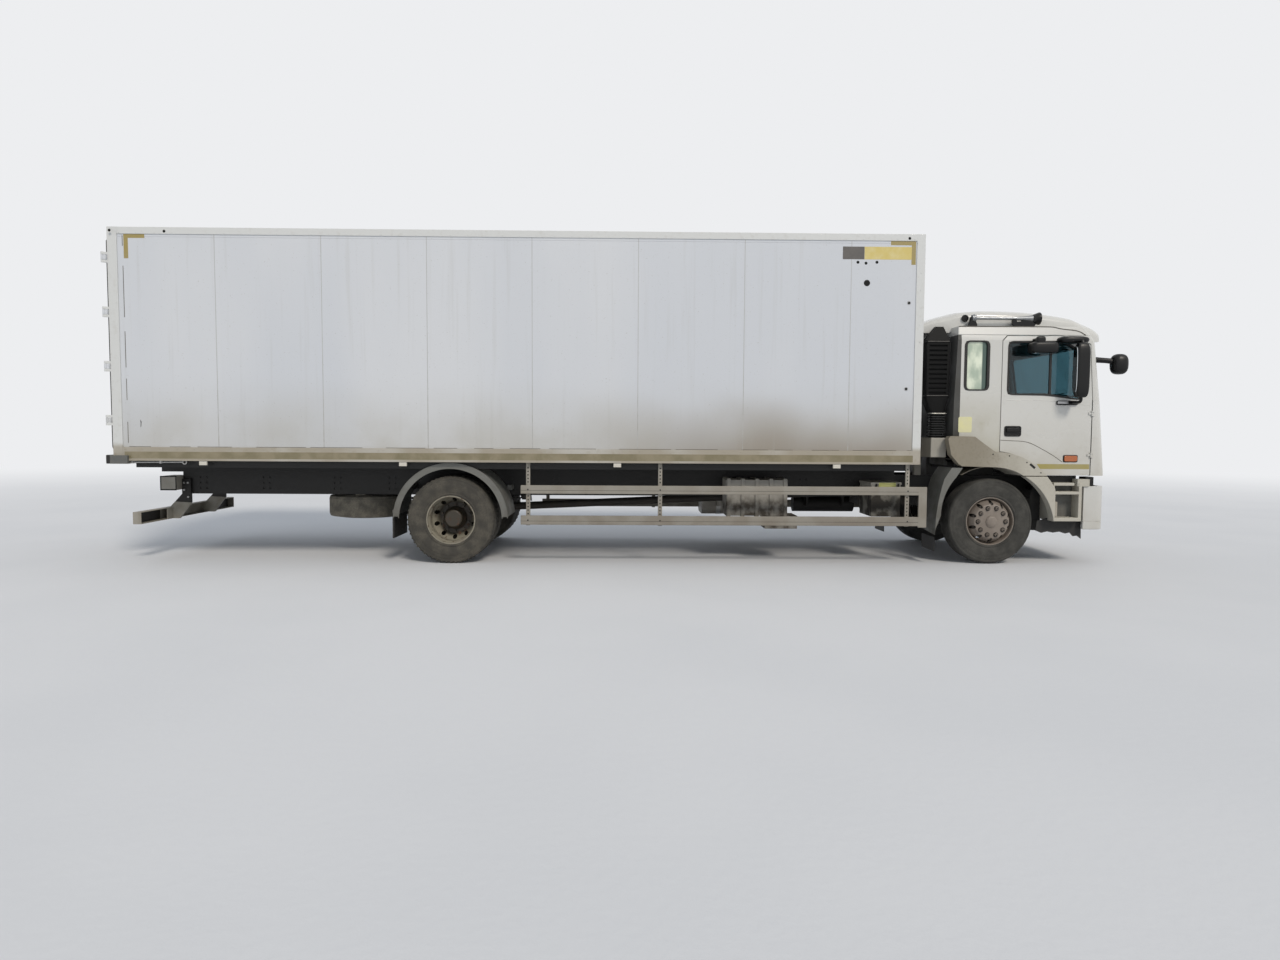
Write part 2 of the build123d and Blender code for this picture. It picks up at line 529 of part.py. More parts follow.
# Edge rails: angles along the top and bottom edges and up the front corners
with BuildPart() as box_edge_rails:
    half = BOX_WIDTH / 2
    span((frame_front_x, -half, BOX_TOP_Z - EDGE_RAIL), (BOX_FRONT_X, -wall_outer_y, BOX_TOP_Z))
    span((frame_front_x, -wall_outer_y, BOX_TOP_Z - RAIL_PROUD), (BOX_FRONT_X, -wall_outer_y + EDGE_RAIL, BOX_TOP_Z))
    span((frame_front_x, -half, BOX_FLOOR_Z), (BOX_FRONT_X, -wall_outer_y, BOX_FLOOR_Z + BOTTOM_RAIL))
    span((BOX_FRONT_X - 100, -half, BOX_FLOOR_Z), (BOX_FRONT_X, -wall_outer_y, BOX_TOP_Z))
    span((front_wall_x, -half, BOX_FLOOR_Z), (BOX_FRONT_X, -half + 100, BOX_TOP_Z))
    mirror(about=Plane.XZ)
    span((front_wall_x, -half, BOX_TOP_Z - EDGE_RAIL), (BOX_FRONT_X, half, BOX_TOP_Z))
    span((BOX_FRONT_X - 100, -half, BOX_TOP_Z - RAIL_PROUD), (BOX_FRONT_X, half, BOX_TOP_Z))
    span((front_wall_x, -half, BOX_FLOOR_Z), (BOX_FRONT_X, half, BOX_FLOOR_Z + BOTTOM_RAIL))
write(box_edge_rails.part, "box_edge_rails")

# Rear frame: posts, header and sill round the doorway, with fixed hinge eyes and bar keepers
opening_half = BOX_WIDTH / 2 - REAR_POST
opening_low_z = BOX_FLOOR_Z + FLOOR
opening_high_z = BOX_TOP_Z - REAR_POST - RAIL_PROUD
hinge_x = BOX_REAR_X - CARGO_HINGE_BACK
hinge_y = BOX_WIDTH / 2 + CARGO_HINGE_OUT
eye_height = CARGO_HINGE_HEIGHT / 4 - 1
LOCK_BAR_Y = [330, 800]
KEEPER = 26
low_hinge_z = opening_low_z + CARGO_HINGE_FROM_SILL
hinge_pitch = (opening_high_z - CARGO_HINGE_FROM_HEADER - low_hinge_z) / (CARGO_HINGE_COUNT - 1)
cargo_hinge_z = [low_hinge_z + i * hinge_pitch for i in range(CARGO_HINGE_COUNT)]
with BuildPart() as box_rear_frame:
    half = BOX_WIDTH / 2
    span((BOX_REAR_X, -half, BOX_FLOOR_Z), (frame_front_x, -opening_half, BOX_TOP_Z))
    for middle in cargo_hinge_z:
        for low_z in (middle - CARGO_HINGE_HEIGHT / 2, middle + CARGO_HINGE_HEIGHT / 2 - eye_height):
            with BuildSketch(Plane.XY.offset(low_z)):
                with BuildLine():
                    Polyline((BOX_REAR_X, -half + 30), (BOX_REAR_X, -half), (hinge_x + 10, -hinge_y - 10),
                             (hinge_x - 10, -hinge_y + 10), (BOX_REAR_X, -half + 30))
                make_face()
                with Locations((hinge_x, -hinge_y)):
                    Circle(CARGO_HINGE_RADIUS)
            extrude(amount=eye_height)
        with Locations((hinge_x, -hinge_y, middle)):
            Cylinder(CARGO_PIN_RADIUS, CARGO_HINGE_HEIGHT)
    for y in LOCK_BAR_Y:
        span((BOX_REAR_X - 45, -y - 30, opening_high_z + 6), (BOX_REAR_X, -y + 30, opening_high_z + 6 + KEEPER))
        span((BOX_REAR_X - 45, -y - 30, opening_low_z - 6 - KEEPER), (BOX_REAR_X, -y + 30, opening_low_z - 6))
    mirror(about=Plane.XZ)
    span((BOX_REAR_X, -half, opening_high_z), (frame_front_x, half, BOX_TOP_Z))
    span((BOX_REAR_X, -half, BOX_FLOOR_Z), (frame_front_x, half, opening_low_z))
    span((BOX_REAR_X - SILL_PROUD, -half + 20, BOX_FLOOR_Z - 36), (BOX_REAR_X + 170, half - 20, BOX_FLOOR_Z))
    span((BOX_REAR_X - SILL_PROUD, -half + 20, BOX_FLOOR_Z - 36), (BOX_REAR_X, half - 20, BOX_FLOOR_Z + SILL_HEIGHT - 36))
write(box_rear_frame.part, "box_rear_frame")

# Cargo doors: insulated leaves inset in the doorway, on strap hinges
leaf_low_z = opening_low_z + CARGO_DOOR_GAP
leaf_high_z = opening_high_z - CARGO_DOOR_GAP
leaf_outer_y = opening_half - CARGO_DOOR_GAP
leaf_inner_y = CARGO_DOOR_MEETING_GAP / 2
STRAP_SHEET = 8
STRAP_LENGTH = 300
strap_height = CARGO_HINGE_HEIGHT - 2 * eye_height - 6
strap_x = hinge_x + 30
with BuildPart() as cargo_door:
    span((BOX_REAR_X, -leaf_outer_y, leaf_low_z), (BOX_REAR_X + CARGO_DOOR_THICK, -leaf_inner_y, leaf_high_z))
    for middle in cargo_hinge_z:
        low_z = middle - strap_height / 2
        high_z = middle + strap_height / 2
        span((strap_x, -hinge_y, low_z), (strap_x + STRAP_SHEET, -leaf_outer_y + STRAP_LENGTH, high_z))
        span((strap_x, -leaf_outer_y + 20, low_z), (BOX_REAR_X, -leaf_outer_y + STRAP_LENGTH, high_z))
        span((hinge_x, -hinge_y, low_z), (strap_x + STRAP_SHEET, -hinge_y + CARGO_HINGE_RADIUS, high_z))
        with Locations((hinge_x, -hinge_y, middle)):
            Cylinder(CARGO_HINGE_RADIUS, strap_height)
            Cylinder(CARGO_PIN_RADIUS + CARGO_PIN_CLEARANCE, strap_height, mode=Mode.SUBTRACT)
write_pair(cargo_door.part, "cargo_door")

# Lock bars: two upright bars a leaf, in guides, with a handle across at hand height
HANDLE_Z = 1960
GUIDE_COUNT = 4
GUIDE_FROM_END = 120
guide_pitch = (leaf_high_z - leaf_low_z - 2 * GUIDE_FROM_END) / (GUIDE_COUNT - 1)
with BuildPart() as lock_bars:
    bar_x = BOX_REAR_X - LOCK_BAR_STAND_OFF
    for y in LOCK_BAR_Y:
        with Locations((bar_x, -y, (leaf_low_z + leaf_high_z) / 2)):
            Cylinder(LOCK_BAR_RADIUS, leaf_high_z - leaf_low_z)
        for i in range(GUIDE_COUNT):
            z = leaf_low_z + GUIDE_FROM_END + i * guide_pitch
            span((bar_x - LOCK_BAR_RADIUS - 5, -y - 40, z - 25), (BOX_REAR_X, -y + 40, z + 25))
        span((bar_x - LOCK_BAR_RADIUS - 10, -y, HANDLE_Z - 18), (bar_x - 2, -y + 260, HANDLE_Z + 18))
        span((bar_x - 2, -y + 190, HANDLE_Z - 30), (BOX_REAR_X, -y + 240, HANDLE_Z + 30))
write_pair(lock_bars.part, "cargo_lock_bars")

# Engine and gearbox as one closed block between the rails
with BuildPart() as engine:
    span((FRONT_AXLE_X - 500, -330, 640), (FRONT_AXLE_X + 380, 330, 1420))
    span((SHAFT_FRONT_X, -210, 640), (FRONT_AXLE_X - 500, 210, 870))
write(engine.part, "engine")

# Fuel tank on the left: rounded box on two brackets from the rail
TANK_REAR_X = FRONT_AXLE_X - 3350
TANK_LENGTH = 1150
TANK_OUTER_Y = 1120
TANK_INNER_Y = 500
TANK_LOW_Z = 430
TANK_TOP_Z = 990
with BuildPart() as fuel_tank:
    with BuildSketch(Plane(origin=(TANK_REAR_X, (TANK_OUTER_Y + TANK_INNER_Y) / 2, (TANK_LOW_Z + TANK_TOP_Z) / 2),
                           x_dir=(0, 1, 0), z_dir=(1, 0, 0))):
        RectangleRounded(TANK_OUTER_Y - TANK_INNER_Y, TANK_TOP_Z - TANK_LOW_Z, 90)
    extrude(amount=TANK_LENGTH)
    for x in (TANK_REAR_X + 200, TANK_REAR_X + TANK_LENGTH - 260):
        span((x, RAIL_OUTER_Y, TANK_LOW_Z + 120), (x + 60, TANK_INNER_Y + 20, TANK_TOP_Z - 60))
    with Locations((TANK_REAR_X + TANK_LENGTH - 130, TANK_OUTER_Y - 160, TANK_TOP_Z)):
        Cylinder(48, 60)
write(fuel_tank.part, "fuel_tank")

# Air tanks on the left, one above the other on a bracket plate
AIR_TANK_RADIUS = 115
with BuildPart() as air_tanks:
    for z in (580, 830):
        with BuildSketch(Plane(origin=(FRONT_AXLE_X - 2050, 640, z), z_dir=(1, 0, 0))):
            Circle(AIR_TANK_RADIUS)
        extrude(amount=850)
    for x in (FRONT_AXLE_X - 1900, FRONT_AXLE_X - 1400):
        span((x, RAIL_OUTER_Y, 560), (x + 30, 640, 850))
write(air_tanks.part, "air_tanks")

# Silencer on the right: box with upright ribs, on a bracket from the rail
SILENCER_REAR_X = FRONT_AXLE_X - 3190
SILENCER_FRONT_X = FRONT_AXLE_X - 2440
SILENCER_OUTER_Y = 1000
SILENCER_TOP_Z = 1017
SILENCER_LOW_Z = 560
RIB_COUNT = 5
with BuildPart() as silencer:
    span((SILENCER_REAR_X, -SILENCER_OUTER_Y + 16, SILENCER_LOW_Z), (SILENCER_FRONT_X, -560, SILENCER_TOP_Z - 16))
    rib_pitch = (SILENCER_FRONT_X - SILENCER_REAR_X - 60) / (RIB_COUNT - 1)
    for i in range(RIB_COUNT):
        x = SILENCER_REAR_X + 30 + i * rib_pitch
        span((x - 22, -SILENCER_OUTER_Y, SILENCER_LOW_Z - 10), (x + 22, -550, SILENCER_TOP_Z))
    span((SILENCER_FRONT_X - 270, -960, 400), (SILENCER_FRONT_X + 130, -600, SILENCER_LOW_Z))
    for x in (SILENCER_REAR_X + 90, SILENCER_FRONT_X - 150):
        span((x, -560, 700), (x + 60, -RAIL_OUTER_Y, 960))
write(silencer.part, "silencer")

# Battery box on the right
with BuildPart() as battery_box:
    span((FRONT_AXLE_X - 1420, -1010, 560), (FRONT_AXLE_X - 1060, -520, 950))
    span((FRONT_AXLE_X - 1430, -1020, 950), (FRONT_AXLE_X - 1050, -510, 980))
    span((FRONT_AXLE_X - 1400, -520, 620), (FRONT_AXLE_X - 1080, -RAIL_OUTER_Y, 900))
write(battery_box.part, "battery_box")

# Air intake behind the cab's right corner: cap, louvred head, neck, bellows, filter box and post
INTAKE_REAR_X = FRONT_AXLE_X - 800
INTAKE_FRONT_X = FRONT_AXLE_X - 525
INTAKE_OUTER_Y = 1075
INTAKE_INNER_Y = 880
HEAD_LOW_Z = 2020
HEAD_TOP_Z = 2700
CAP_TOP_Z = 2870
LOUVRE_COUNT = 11
BELLOWS_COUNT = 6
BELLOWS_LOW_Z = 1530
BELLOWS_TOP_Z = 1790
intake_x = (INTAKE_REAR_X + INTAKE_FRONT_X) / 2
intake_y = -(INTAKE_OUTER_Y + INTAKE_INNER_Y) / 2
head_x = INTAKE_FRONT_X - INTAKE_REAR_X
head_y = INTAKE_OUTER_Y - INTAKE_INNER_Y
with BuildPart() as air_intake:
    with BuildSketch(Plane(origin=(intake_x, intake_y, HEAD_TOP_Z))):
        Rectangle(head_x, head_y)
    with BuildSketch(Plane(origin=(intake_x + 30, intake_y, CAP_TOP_Z))):
        Rectangle(head_x / 3, head_y / 3)
    loft()
    with BuildSketch(Plane(origin=(intake_x, intake_y, HEAD_LOW_Z))):
        Rectangle(head_x, head_y)
    extrude(amount=HEAD_TOP_Z - HEAD_LOW_Z)
    louvre_pitch = (HEAD_TOP_Z - HEAD_LOW_Z - 60) / LOUVRE_COUNT
    for i in range(LOUVRE_COUNT):
        z = HEAD_LOW_Z + 40 + i * louvre_pitch
        cut((INTAKE_REAR_X + 30, -INTAKE_OUTER_Y, z), (INTAKE_FRONT_X - 30, -INTAKE_OUTER_Y + 22, z + louvre_pitch / 2))
    with BuildSketch(Plane(origin=(intake_x, intake_y, HEAD_LOW_Z))):
        Rectangle(head_x, head_y)
    with BuildSketch(Plane(origin=(intake_x + 20, intake_y, BELLOWS_TOP_Z))):
        RectangleRounded(150, 140, 30)
    loft()
    bellows_pitch = (BELLOWS_TOP_Z - BELLOWS_LOW_Z) / BELLOWS_COUNT
    for i in range(BELLOWS_COUNT):
        with BuildSketch(Plane(origin=(intake_x + 20, intake_y, BELLOWS_LOW_Z + i * bellows_pitch))):
            RectangleRounded(140, 130, 30)
        extrude(amount=bellows_pitch)
        with BuildSketch(Plane(origin=(intake_x + 20, intake_y, BELLOWS_LOW_Z + (i + 0.25) * bellows_pitch))):
            RectangleRounded(176, 166, 36)
        extrude(amount=bellows_pitch / 2)
    span((intake_x - 60, -INTAKE_OUTER_Y + 10, 1290), (INTAKE_FRONT_X - 5, -RAIL_OUTER_Y + RAIL_FLANGE, BELLOWS_LOW_Z))
    span((intake_x - 30, -RAIL_OUTER_Y, RAIL_TOP_Z), (intake_x + 60, -RAIL_OUTER_Y + RAIL_FLANGE, 1290))
write(air_intake.part, "air_intake")

# Side guards: two rails a side on perforated uprights, with a closing post at the front
GUARD_OUTER_Y = 1250
GUARD_REAR_X = FRONT_AXLE_X - 5666
GUARD_FRONT_X = FRONT_AXLE_X - 820
GUARD_UPRIGHT_X = [-5580, -4010, -1050]
GUARD_RAIL_Z = [(470, 580), (840, 940)]
with BuildPart() as side_guards:
    for low_z, high_z in GUARD_RAIL_Z:
        span((GUARD_REAR_X, -GUARD_OUTER_Y, low_z), (GUARD_FRONT_X, -GUARD_OUTER_Y + 28, high_z))
    span((GUARD_FRONT_X - 100, -GUARD_OUTER_Y, 453), (GUARD_FRONT_X, -GUARD_OUTER_Y + 28, 940))
    for station in GUARD_UPRIGHT_X:
        x = FRONT_AXLE_X + station
        span((x - 25, -GUARD_OUTER_Y + 28, 460), (x + 25, -CROSS_BEARER_HALF, BOX_FLOOR_Z))
        span((x - 25, -CROSS_BEARER_HALF, BOX_FLOOR_Z - 30), (x + 25, -CROSS_BEARER_HALF + 200, BOX_FLOOR_Z))
    mirror(about=Plane.XZ)
write(side_guards.part, "side_guards")

# Mudguards: arched shells over the twin wheels with flaps, and skirts behind the front wheels
MUD_SHEET = 8
MUD_OUTER_Y = 1240
MUD_INNER_Y = 600
LIP_RADIUS = 610
FLAP_LOW_Z = 300
SKIRT_OUTER_Y = 1200
SKIRT_INNER_Y = 760
SKIRT_LIP = 30
SKIRT_SHELL_SHARE = 0.2


def skirt_outline(y, share):
    """Band behind the front wheel, following its arch; the share is of the full width of its lip."""
    with BuildSketch(side(FRONT_AXLE_X, y)) as outline:
        with BuildLine():
            Polyline((-511 + 133 * share, 1170), (-511, 1170), (-595, 1038))
            ThreePointArc((-595, 1038), (-668, 720), (-690, 293))
            Polyline((-690, 293), (-690 + 62 * share, 293), (-677 + 49 * share, 596))
            ThreePointArc((-677 + 49 * share, 596), (-641 + 69 * share, 870), (-583 + 129 * share, 1057))
            Line((-583 + 129 * share, 1057), (-511 + 133 * share, 1170))
        make_face()
    return outline.sketch


with BuildPart() as mudguards:
    with BuildSketch(side(REAR_AXLE_X, -MUD_INNER_Y, TYRE_RADIUS)):
        Circle(MUDGUARD_RADIUS)
        Circle(MUDGUARD_RADIUS - MUD_SHEET, mode=Mode.SUBTRACT)
        with Locations((0, -MUDGUARD_RADIUS + 40)):
            Rectangle(3 * MUDGUARD_RADIUS, 2 * MUDGUARD_RADIUS, mode=Mode.SUBTRACT)
    extrude(amount=MUD_OUTER_Y - MUD_INNER_Y)
    with BuildSketch(side(REAR_AXLE_X, -MUD_OUTER_Y + MUD_SHEET, TYRE_RADIUS)):
        Circle(MUDGUARD_RADIUS)
        Circle(LIP_RADIUS, mode=Mode.SUBTRACT)
        with Locations((0, -MUDGUARD_RADIUS + 40)):
            Rectangle(3 * MUDGUARD_RADIUS, 2 * MUDGUARD_RADIUS, mode=Mode.SUBTRACT)
    extrude(amount=MUD_SHEET)
    flap_x = REAR_AXLE_X - MUDGUARD_RADIUS
    span((flap_x - MUD_SHEET, -MUD_OUTER_Y + 20, FLAP_LOW_Z),
         (flap_x + MUD_SHEET, -MUD_INNER_Y - 40, TYRE_RADIUS + 120))
    span((REAR_AXLE_X - 640, -MUD_INNER_Y - 40, 840), (REAR_AXLE_X - 590, -RAIL_OUTER_Y, 900))
    span((REAR_AXLE_X + 590, -MUD_INNER_Y - 40, 840), (REAR_AXLE_X + 640, -RAIL_OUTER_Y, 900))
    add(skirt_outline(-SKIRT_INNER_Y, SKIRT_SHELL_SHARE))
    extrude(amount=SKIRT_OUTER_Y - SKIRT_INNER_Y, dir=TO_RIGHT)
    add(skirt_outline(-SKIRT_OUTER_Y + SKIRT_LIP, 1))
    extrude(amount=SKIRT_LIP, dir=TO_RIGHT)
    span((FRONT_AXLE_X - 696, -SKIRT_OUTER_Y + 20, 160), (FRONT_AXLE_X - 688, -SKIRT_INNER_Y, 330))
    span((FRONT_AXLE_X - 650, -SKIRT_INNER_Y - 10, 800), (FRONT_AXLE_X - 610, -RAIL_OUTER_Y, 850))
    mirror(about=Plane.XZ)
write(mudguards.part, "mudguards")

# Rear underrun: channel beam open to the front, on two cranked arms
UNDERRUN_REAR_X = FRONT_AXLE_X - 10290
UNDERRUN_DEPTH = 100
UNDERRUN_LOW_Z = 445
UNDERRUN_TOP_Z = 590
UNDERRUN_HALF = 1150
CHANNEL_SHEET = 8
with BuildPart() as rear_underrun:
    span((UNDERRUN_REAR_X, -UNDERRUN_HALF, UNDERRUN_LOW_Z),
         (UNDERRUN_REAR_X + UNDERRUN_DEPTH, UNDERRUN_HALF, UNDERRUN_TOP_Z))
    cut((UNDERRUN_REAR_X + CHANNEL_SHEET, -UNDERRUN_HALF, UNDERRUN_LOW_Z + CHANNEL_SHEET),
        (UNDERRUN_REAR_X + UNDERRUN_DEPTH, UNDERRUN_HALF, UNDERRUN_TOP_Z - CHANNEL_SHEET))
    for inner_y in (-RAIL_OUTER_Y, RAIL_OUTER_Y + 40):
        with BuildSketch(side(UNDERRUN_REAR_X, inner_y)):
            with BuildLine():
                Polyline((CHANNEL_SHEET, UNDERRUN_LOW_Z), (180, UNDERRUN_LOW_Z), (330, 650), (330, RAIL_TOP_Z - 90),
                         (220, RAIL_TOP_Z - 90), (220, 760), (60, UNDERRUN_TOP_Z), (CHANNEL_SHEET, UNDERRUN_TOP_Z),
                         close=True)
            make_face()
        extrude(amount=40)
write(rear_underrun.part, "rear_underrun")

# Spare wheel: flat under the frame on a hanger between the rails
SPARE_X = FRONT_AXLE_X - 7820
SPARE_TOP_Z = 745
spare_z = SPARE_TOP_Z - TYRE_WIDTH / 2
with BuildPart() as spare_wheel:
    with BuildSketch(Plane(origin=(SPARE_X, 0, spare_z), x_dir=(0, 0, 1), z_dir=(0, 1, 0))):
        with BuildLine():
            half = TYRE_WIDTH / 2
            half_bead = BEAD_WIDTH / 2
            Polyline((-half_bead, FLANGE_RADIUS), (-half_bead, RIM_BARREL_RADIUS), (-40, RIM_BARREL_RADIUS),
                     (-40, 90), (-28, 90), (-28, RIM_BARREL_RADIUS), (half_bead, RIM_BARREL_RADIUS),
                     (half_bead, FLANGE_RADIUS))
            Polyline((half_bead, FLANGE_RADIUS), (half, BULGE_RADIUS), (TREAD_HALF, SHOULDER_RADIUS),
                     (TREAD_FLAT, TYRE_RADIUS), (-TREAD_FLAT, TYRE_RADIUS), (-TREAD_HALF, SHOULDER_RADIUS),
                     (-half, BULGE_RADIUS), (-half_bead, FLANGE_RADIUS))
        make_face()
    revolve(axis=Axis((SPARE_X, 0, 0), (0, 0, 1)))
    span((SPARE_X - 110, -110, spare_z - 40), (SPARE_X + 110, 110, spare_z - 28))
    span((SPARE_X - 40, -40, spare_z - 60), (SPARE_X + 40, 40, RAIL_BOTTOM_Z - 6))
    span((SPARE_X - 60, -RAIL_OUTER_Y, RAIL_BOTTOM_Z - 14), (SPARE_X + 60, RAIL_OUTER_Y, RAIL_BOTTOM_Z))
write(spare_wheel.part, "spare_wheel")

# Bumper: bowed shell with returned ends, on brackets from the ladder, lamps in windows
BUMPER_LOW_Z = 430
BUMPER_TOP_Z = 955
BUMPER_FRONT_X = FRONT_AXLE_X + 1380
BUMPER_REAR_X = FRONT_AXLE_X + 1110
BUMPER_HALF = 1170
BUMPER_WALL = 40
HEADLAMP_Y = (740, 1040)
HEADLAMP_Z = (600, 830)
LIP_TOP_Z = 530
GRILLE_HALF = 560


def plan(rear_x, front_x, half, corner, z):
    """Outline seen from above: straight sides, round front corners and a bowed front."""
    turn = corner * (1 - cos(radians(45)))
    with BuildSketch(Plane.XY.offset(z)) as outline:
        with BuildLine():
            Line((rear_x, half), (rear_x, -half))
            Line((rear_x, -half), (front_x - corner, -half))
            ThreePointArc((front_x - corner, -half), (front_x - turn, -half + turn), (front_x, -half + corner))
            ThreePointArc((front_x, -half + corner), (front_x + FRONT_BULGE, 0), (front_x, half - corner))
            ThreePointArc((front_x, half - corner), (front_x - turn, half - turn), (front_x - corner, half))
            Line((front_x - corner, half), (rear_x, half))
        make_face()
    return outline.sketch


def bumper_solid(inset, low_z, high_z):
    with BuildPart() as solid:
        add(plan(BUMPER_REAR_X, BUMPER_FRONT_X - inset, BUMPER_HALF - inset, CORNER_RADIUS - inset / 2, low_z))
        extrude(amount=high_z - low_z)
    return solid.part


with BuildPart() as front_bumper:
    add(bumper_solid(0, LIP_TOP_Z, BUMPER_TOP_Z))
    add(bumper_solid(BUMPER_WALL, LIP_TOP_Z, BUMPER_TOP_Z), mode=Mode.SUBTRACT)
    for sign in (-1, 1):
        low_y, high_y = sorted((sign * HEADLAMP_Y[0], sign * HEADLAMP_Y[1]))
        cut((BUMPER_REAR_X, low_y, HEADLAMP_Z[0]), (BUMPER_FRONT_X + 100, high_y, HEADLAMP_Z[1]))
        low_y, high_y = sorted((sign * rail_lip_y, sign * RAIL_OUTER_Y))
        span((BUMPER_BOX_FRONT_X, low_y, BUMPER_BOX_LOW_Z), (BUMPER_FRONT_X + 20, high_y, 880))
    cut((BUMPER_REAR_X, -GRILLE_HALF, LIP_TOP_Z), (BUMPER_FRONT_X + 100, GRILLE_HALF, BUMPER_BOX_LOW_Z))
write(front_bumper.part, "front_bumper")

# Lip under the bumper, closing the low air opening from below
with BuildPart() as bumper_lip:
    add(bumper_solid(0, BUMPER_LOW_Z, LIP_TOP_Z))
    add(bumper_solid(BUMPER_WALL, BUMPER_LOW_Z, LIP_TOP_Z), mode=Mode.SUBTRACT)
write(bumper_lip.part, "bumper_lip")

# Lamps of the chassis: headlamps, tail lamps on the frame ends and side markers
MARKER_X = [-9370, -7040, -4520, -1920]
with BuildPart() as lamps:
    add(bumper_solid(6, *HEADLAMP_Z))
    add(bumper_solid(30, *HEADLAMP_Z), mode=Mode.SUBTRACT)
    cut((BUMPER_REAR_X - 10, -HEADLAMP_Y[0], 0), (BUMPER_FRONT_X + 200, HEADLAMP_Y[0], 2000))
    for sign in (-1, 1):
        low_y, high_y = sorted((sign * HEADLAMP_Y[1], sign * (BUMPER_HALF + 100)))
        cut((BUMPER_REAR_X - 10, low_y, 0), (BUMPER_FRONT_X + 200, high_y, 2000))
    for sign in (-1, 1):
        low_y, high_y = sorted((sign * 280, sign * 600))
        span((RAIL_REAR_X - 195, low_y, 815), (RAIL_REAR_X, high_y, 992))
        for station in MARKER_X:
            low_y, high_y = sorted((sign * (BOX_WIDTH / 2 - 32), sign * (BOX_WIDTH / 2 - 4)))
            x = FRONT_AXLE_X + station
            span((x - 45, low_y, BOX_FLOOR_Z - 50), (x + 45, high_y, BOX_FLOOR_Z))
write(lamps.part, "lamps")

# Entry steps: well between wheel and bumper with a rung ladder, treads and the wheel-side flare
ARCH_RADIUS = 660
FLARE_RADIUS = 845
FLARE_OUTER_Y = 1220
FLARE_INNER_Y = 1100
STEP_REAR_X = FRONT_AXLE_X + 730
STEP_FRONT_X = FRONT_AXLE_X + 1075
STEP_LOW_Z = 530
STEP_TOP_Z = 1000
STEP_INNER_Y = 860
with BuildPart() as entry_steps:
    span((STEP_REAR_X, -STEP_INNER_Y - 20, STEP_LOW_Z), (STEP_FRONT_X, -STEP_INNER_Y, STEP_TOP_Z))
    for low_z, high_z in [(STEP_LOW_Z, STEP_LOW_Z + 45), (860, 890), (960, STEP_TOP_Z)]:
        span((STEP_REAR_X, -FLARE_OUTER_Y + 20, low_z), (STEP_FRONT_X, -STEP_INNER_Y, high_z))
    for x in (STEP_REAR_X, STEP_FRONT_X - 40):
        span((x, -FLARE_OUTER_Y + 20, STEP_LOW_Z), (x + 40, -STEP_INNER_Y, STEP_TOP_Z))
    with BuildSketch(side(FRONT_AXLE_X, -FLARE_INNER_Y, TYRE_RADIUS)):
        Circle(FLARE_RADIUS - 50)
        Circle(ARCH_RADIUS, mode=Mode.SUBTRACT)
        with Locations((0, CAB_BOTTOM_Z - 10 - TYRE_RADIUS)):
            Rectangle(3000, 2000, align=(Align.CENTER, Align.MIN), mode=Mode.SUBTRACT)
        with Locations((0, 16)):
            Rectangle(3000, 2000, align=(Align.CENTER, Align.MAX), mode=Mode.SUBTRACT)
        Rectangle(2000, 3000, align=(Align.MAX, Align.CENTER), mode=Mode.SUBTRACT)
    extrude(amount=FLARE_OUTER_Y - FLARE_INNER_Y)
    span((STEP_FRONT_X - 300, -STEP_INNER_Y, 860), (STEP_FRONT_X - 240, -RAIL_OUTER_Y, 920))
    span((FRONT_AXLE_X + 1137, -1150, 960), (FRONT_AXLE_X + 1238, -1000, CAB_BOTTOM_Z - 15))
    span((STEP_FRONT_X - 40, -1100, 960), (FRONT_AXLE_X + 1200, -1050, STEP_TOP_Z))
    mirror(about=Plane.XZ)
write(entry_steps.part, "entry_steps")

# Cab stations: height, rear, front corner, half width and corner radius, each from its own size
CAB_SECTIONS = [
    (CAB_BOTTOM_Z, CAB_REAR_X, FRONT_AXLE_X + 1395, CAB_HALF_WIDTH, CORNER_RADIUS),
    (BELT_Z, CAB_REAR_X + 5, FRONT_AXLE_X + 1322, CAB_HALF_WIDTH, CORNER_RADIUS),
    (CAB_EAVE_Z, CAB_REAR_X + 35, FRONT_AXLE_X + 1208, CAB_HALF_WIDTH, 60),
    (CAB_TOP_Z, CAB_REAR_X + 50, FRONT_AXLE_X + 1090, CAB_HALF_WIDTH - 40, 60),
]


def cab_section(z, inset):
    """Section of the cab at a height between two stations, drawn in by the inset."""
    for lower, upper in zip(CAB_SECTIONS, CAB_SECTIONS[1:]):
        if z <= upper[0]:
            break
    share = (z - lower[0]) / (upper[0] - lower[0])
    rear, front, half, corner = [a + (b - a) * share for a, b in zip(lower[1:], upper[1:])]
    return plan(rear + inset, front - inset, half - inset, max(corner - inset / 2, 20), z)


def cab_solid(inset, low_z=CAB_BOTTOM_Z, high_z=CAB_TOP_Z):
    with BuildPart() as solid:
        for z in (low_z, BELT_Z, CAB_EAVE_Z, high_z):
            add(cab_section(z, inset))
        loft(ruled=True)
    return solid.part


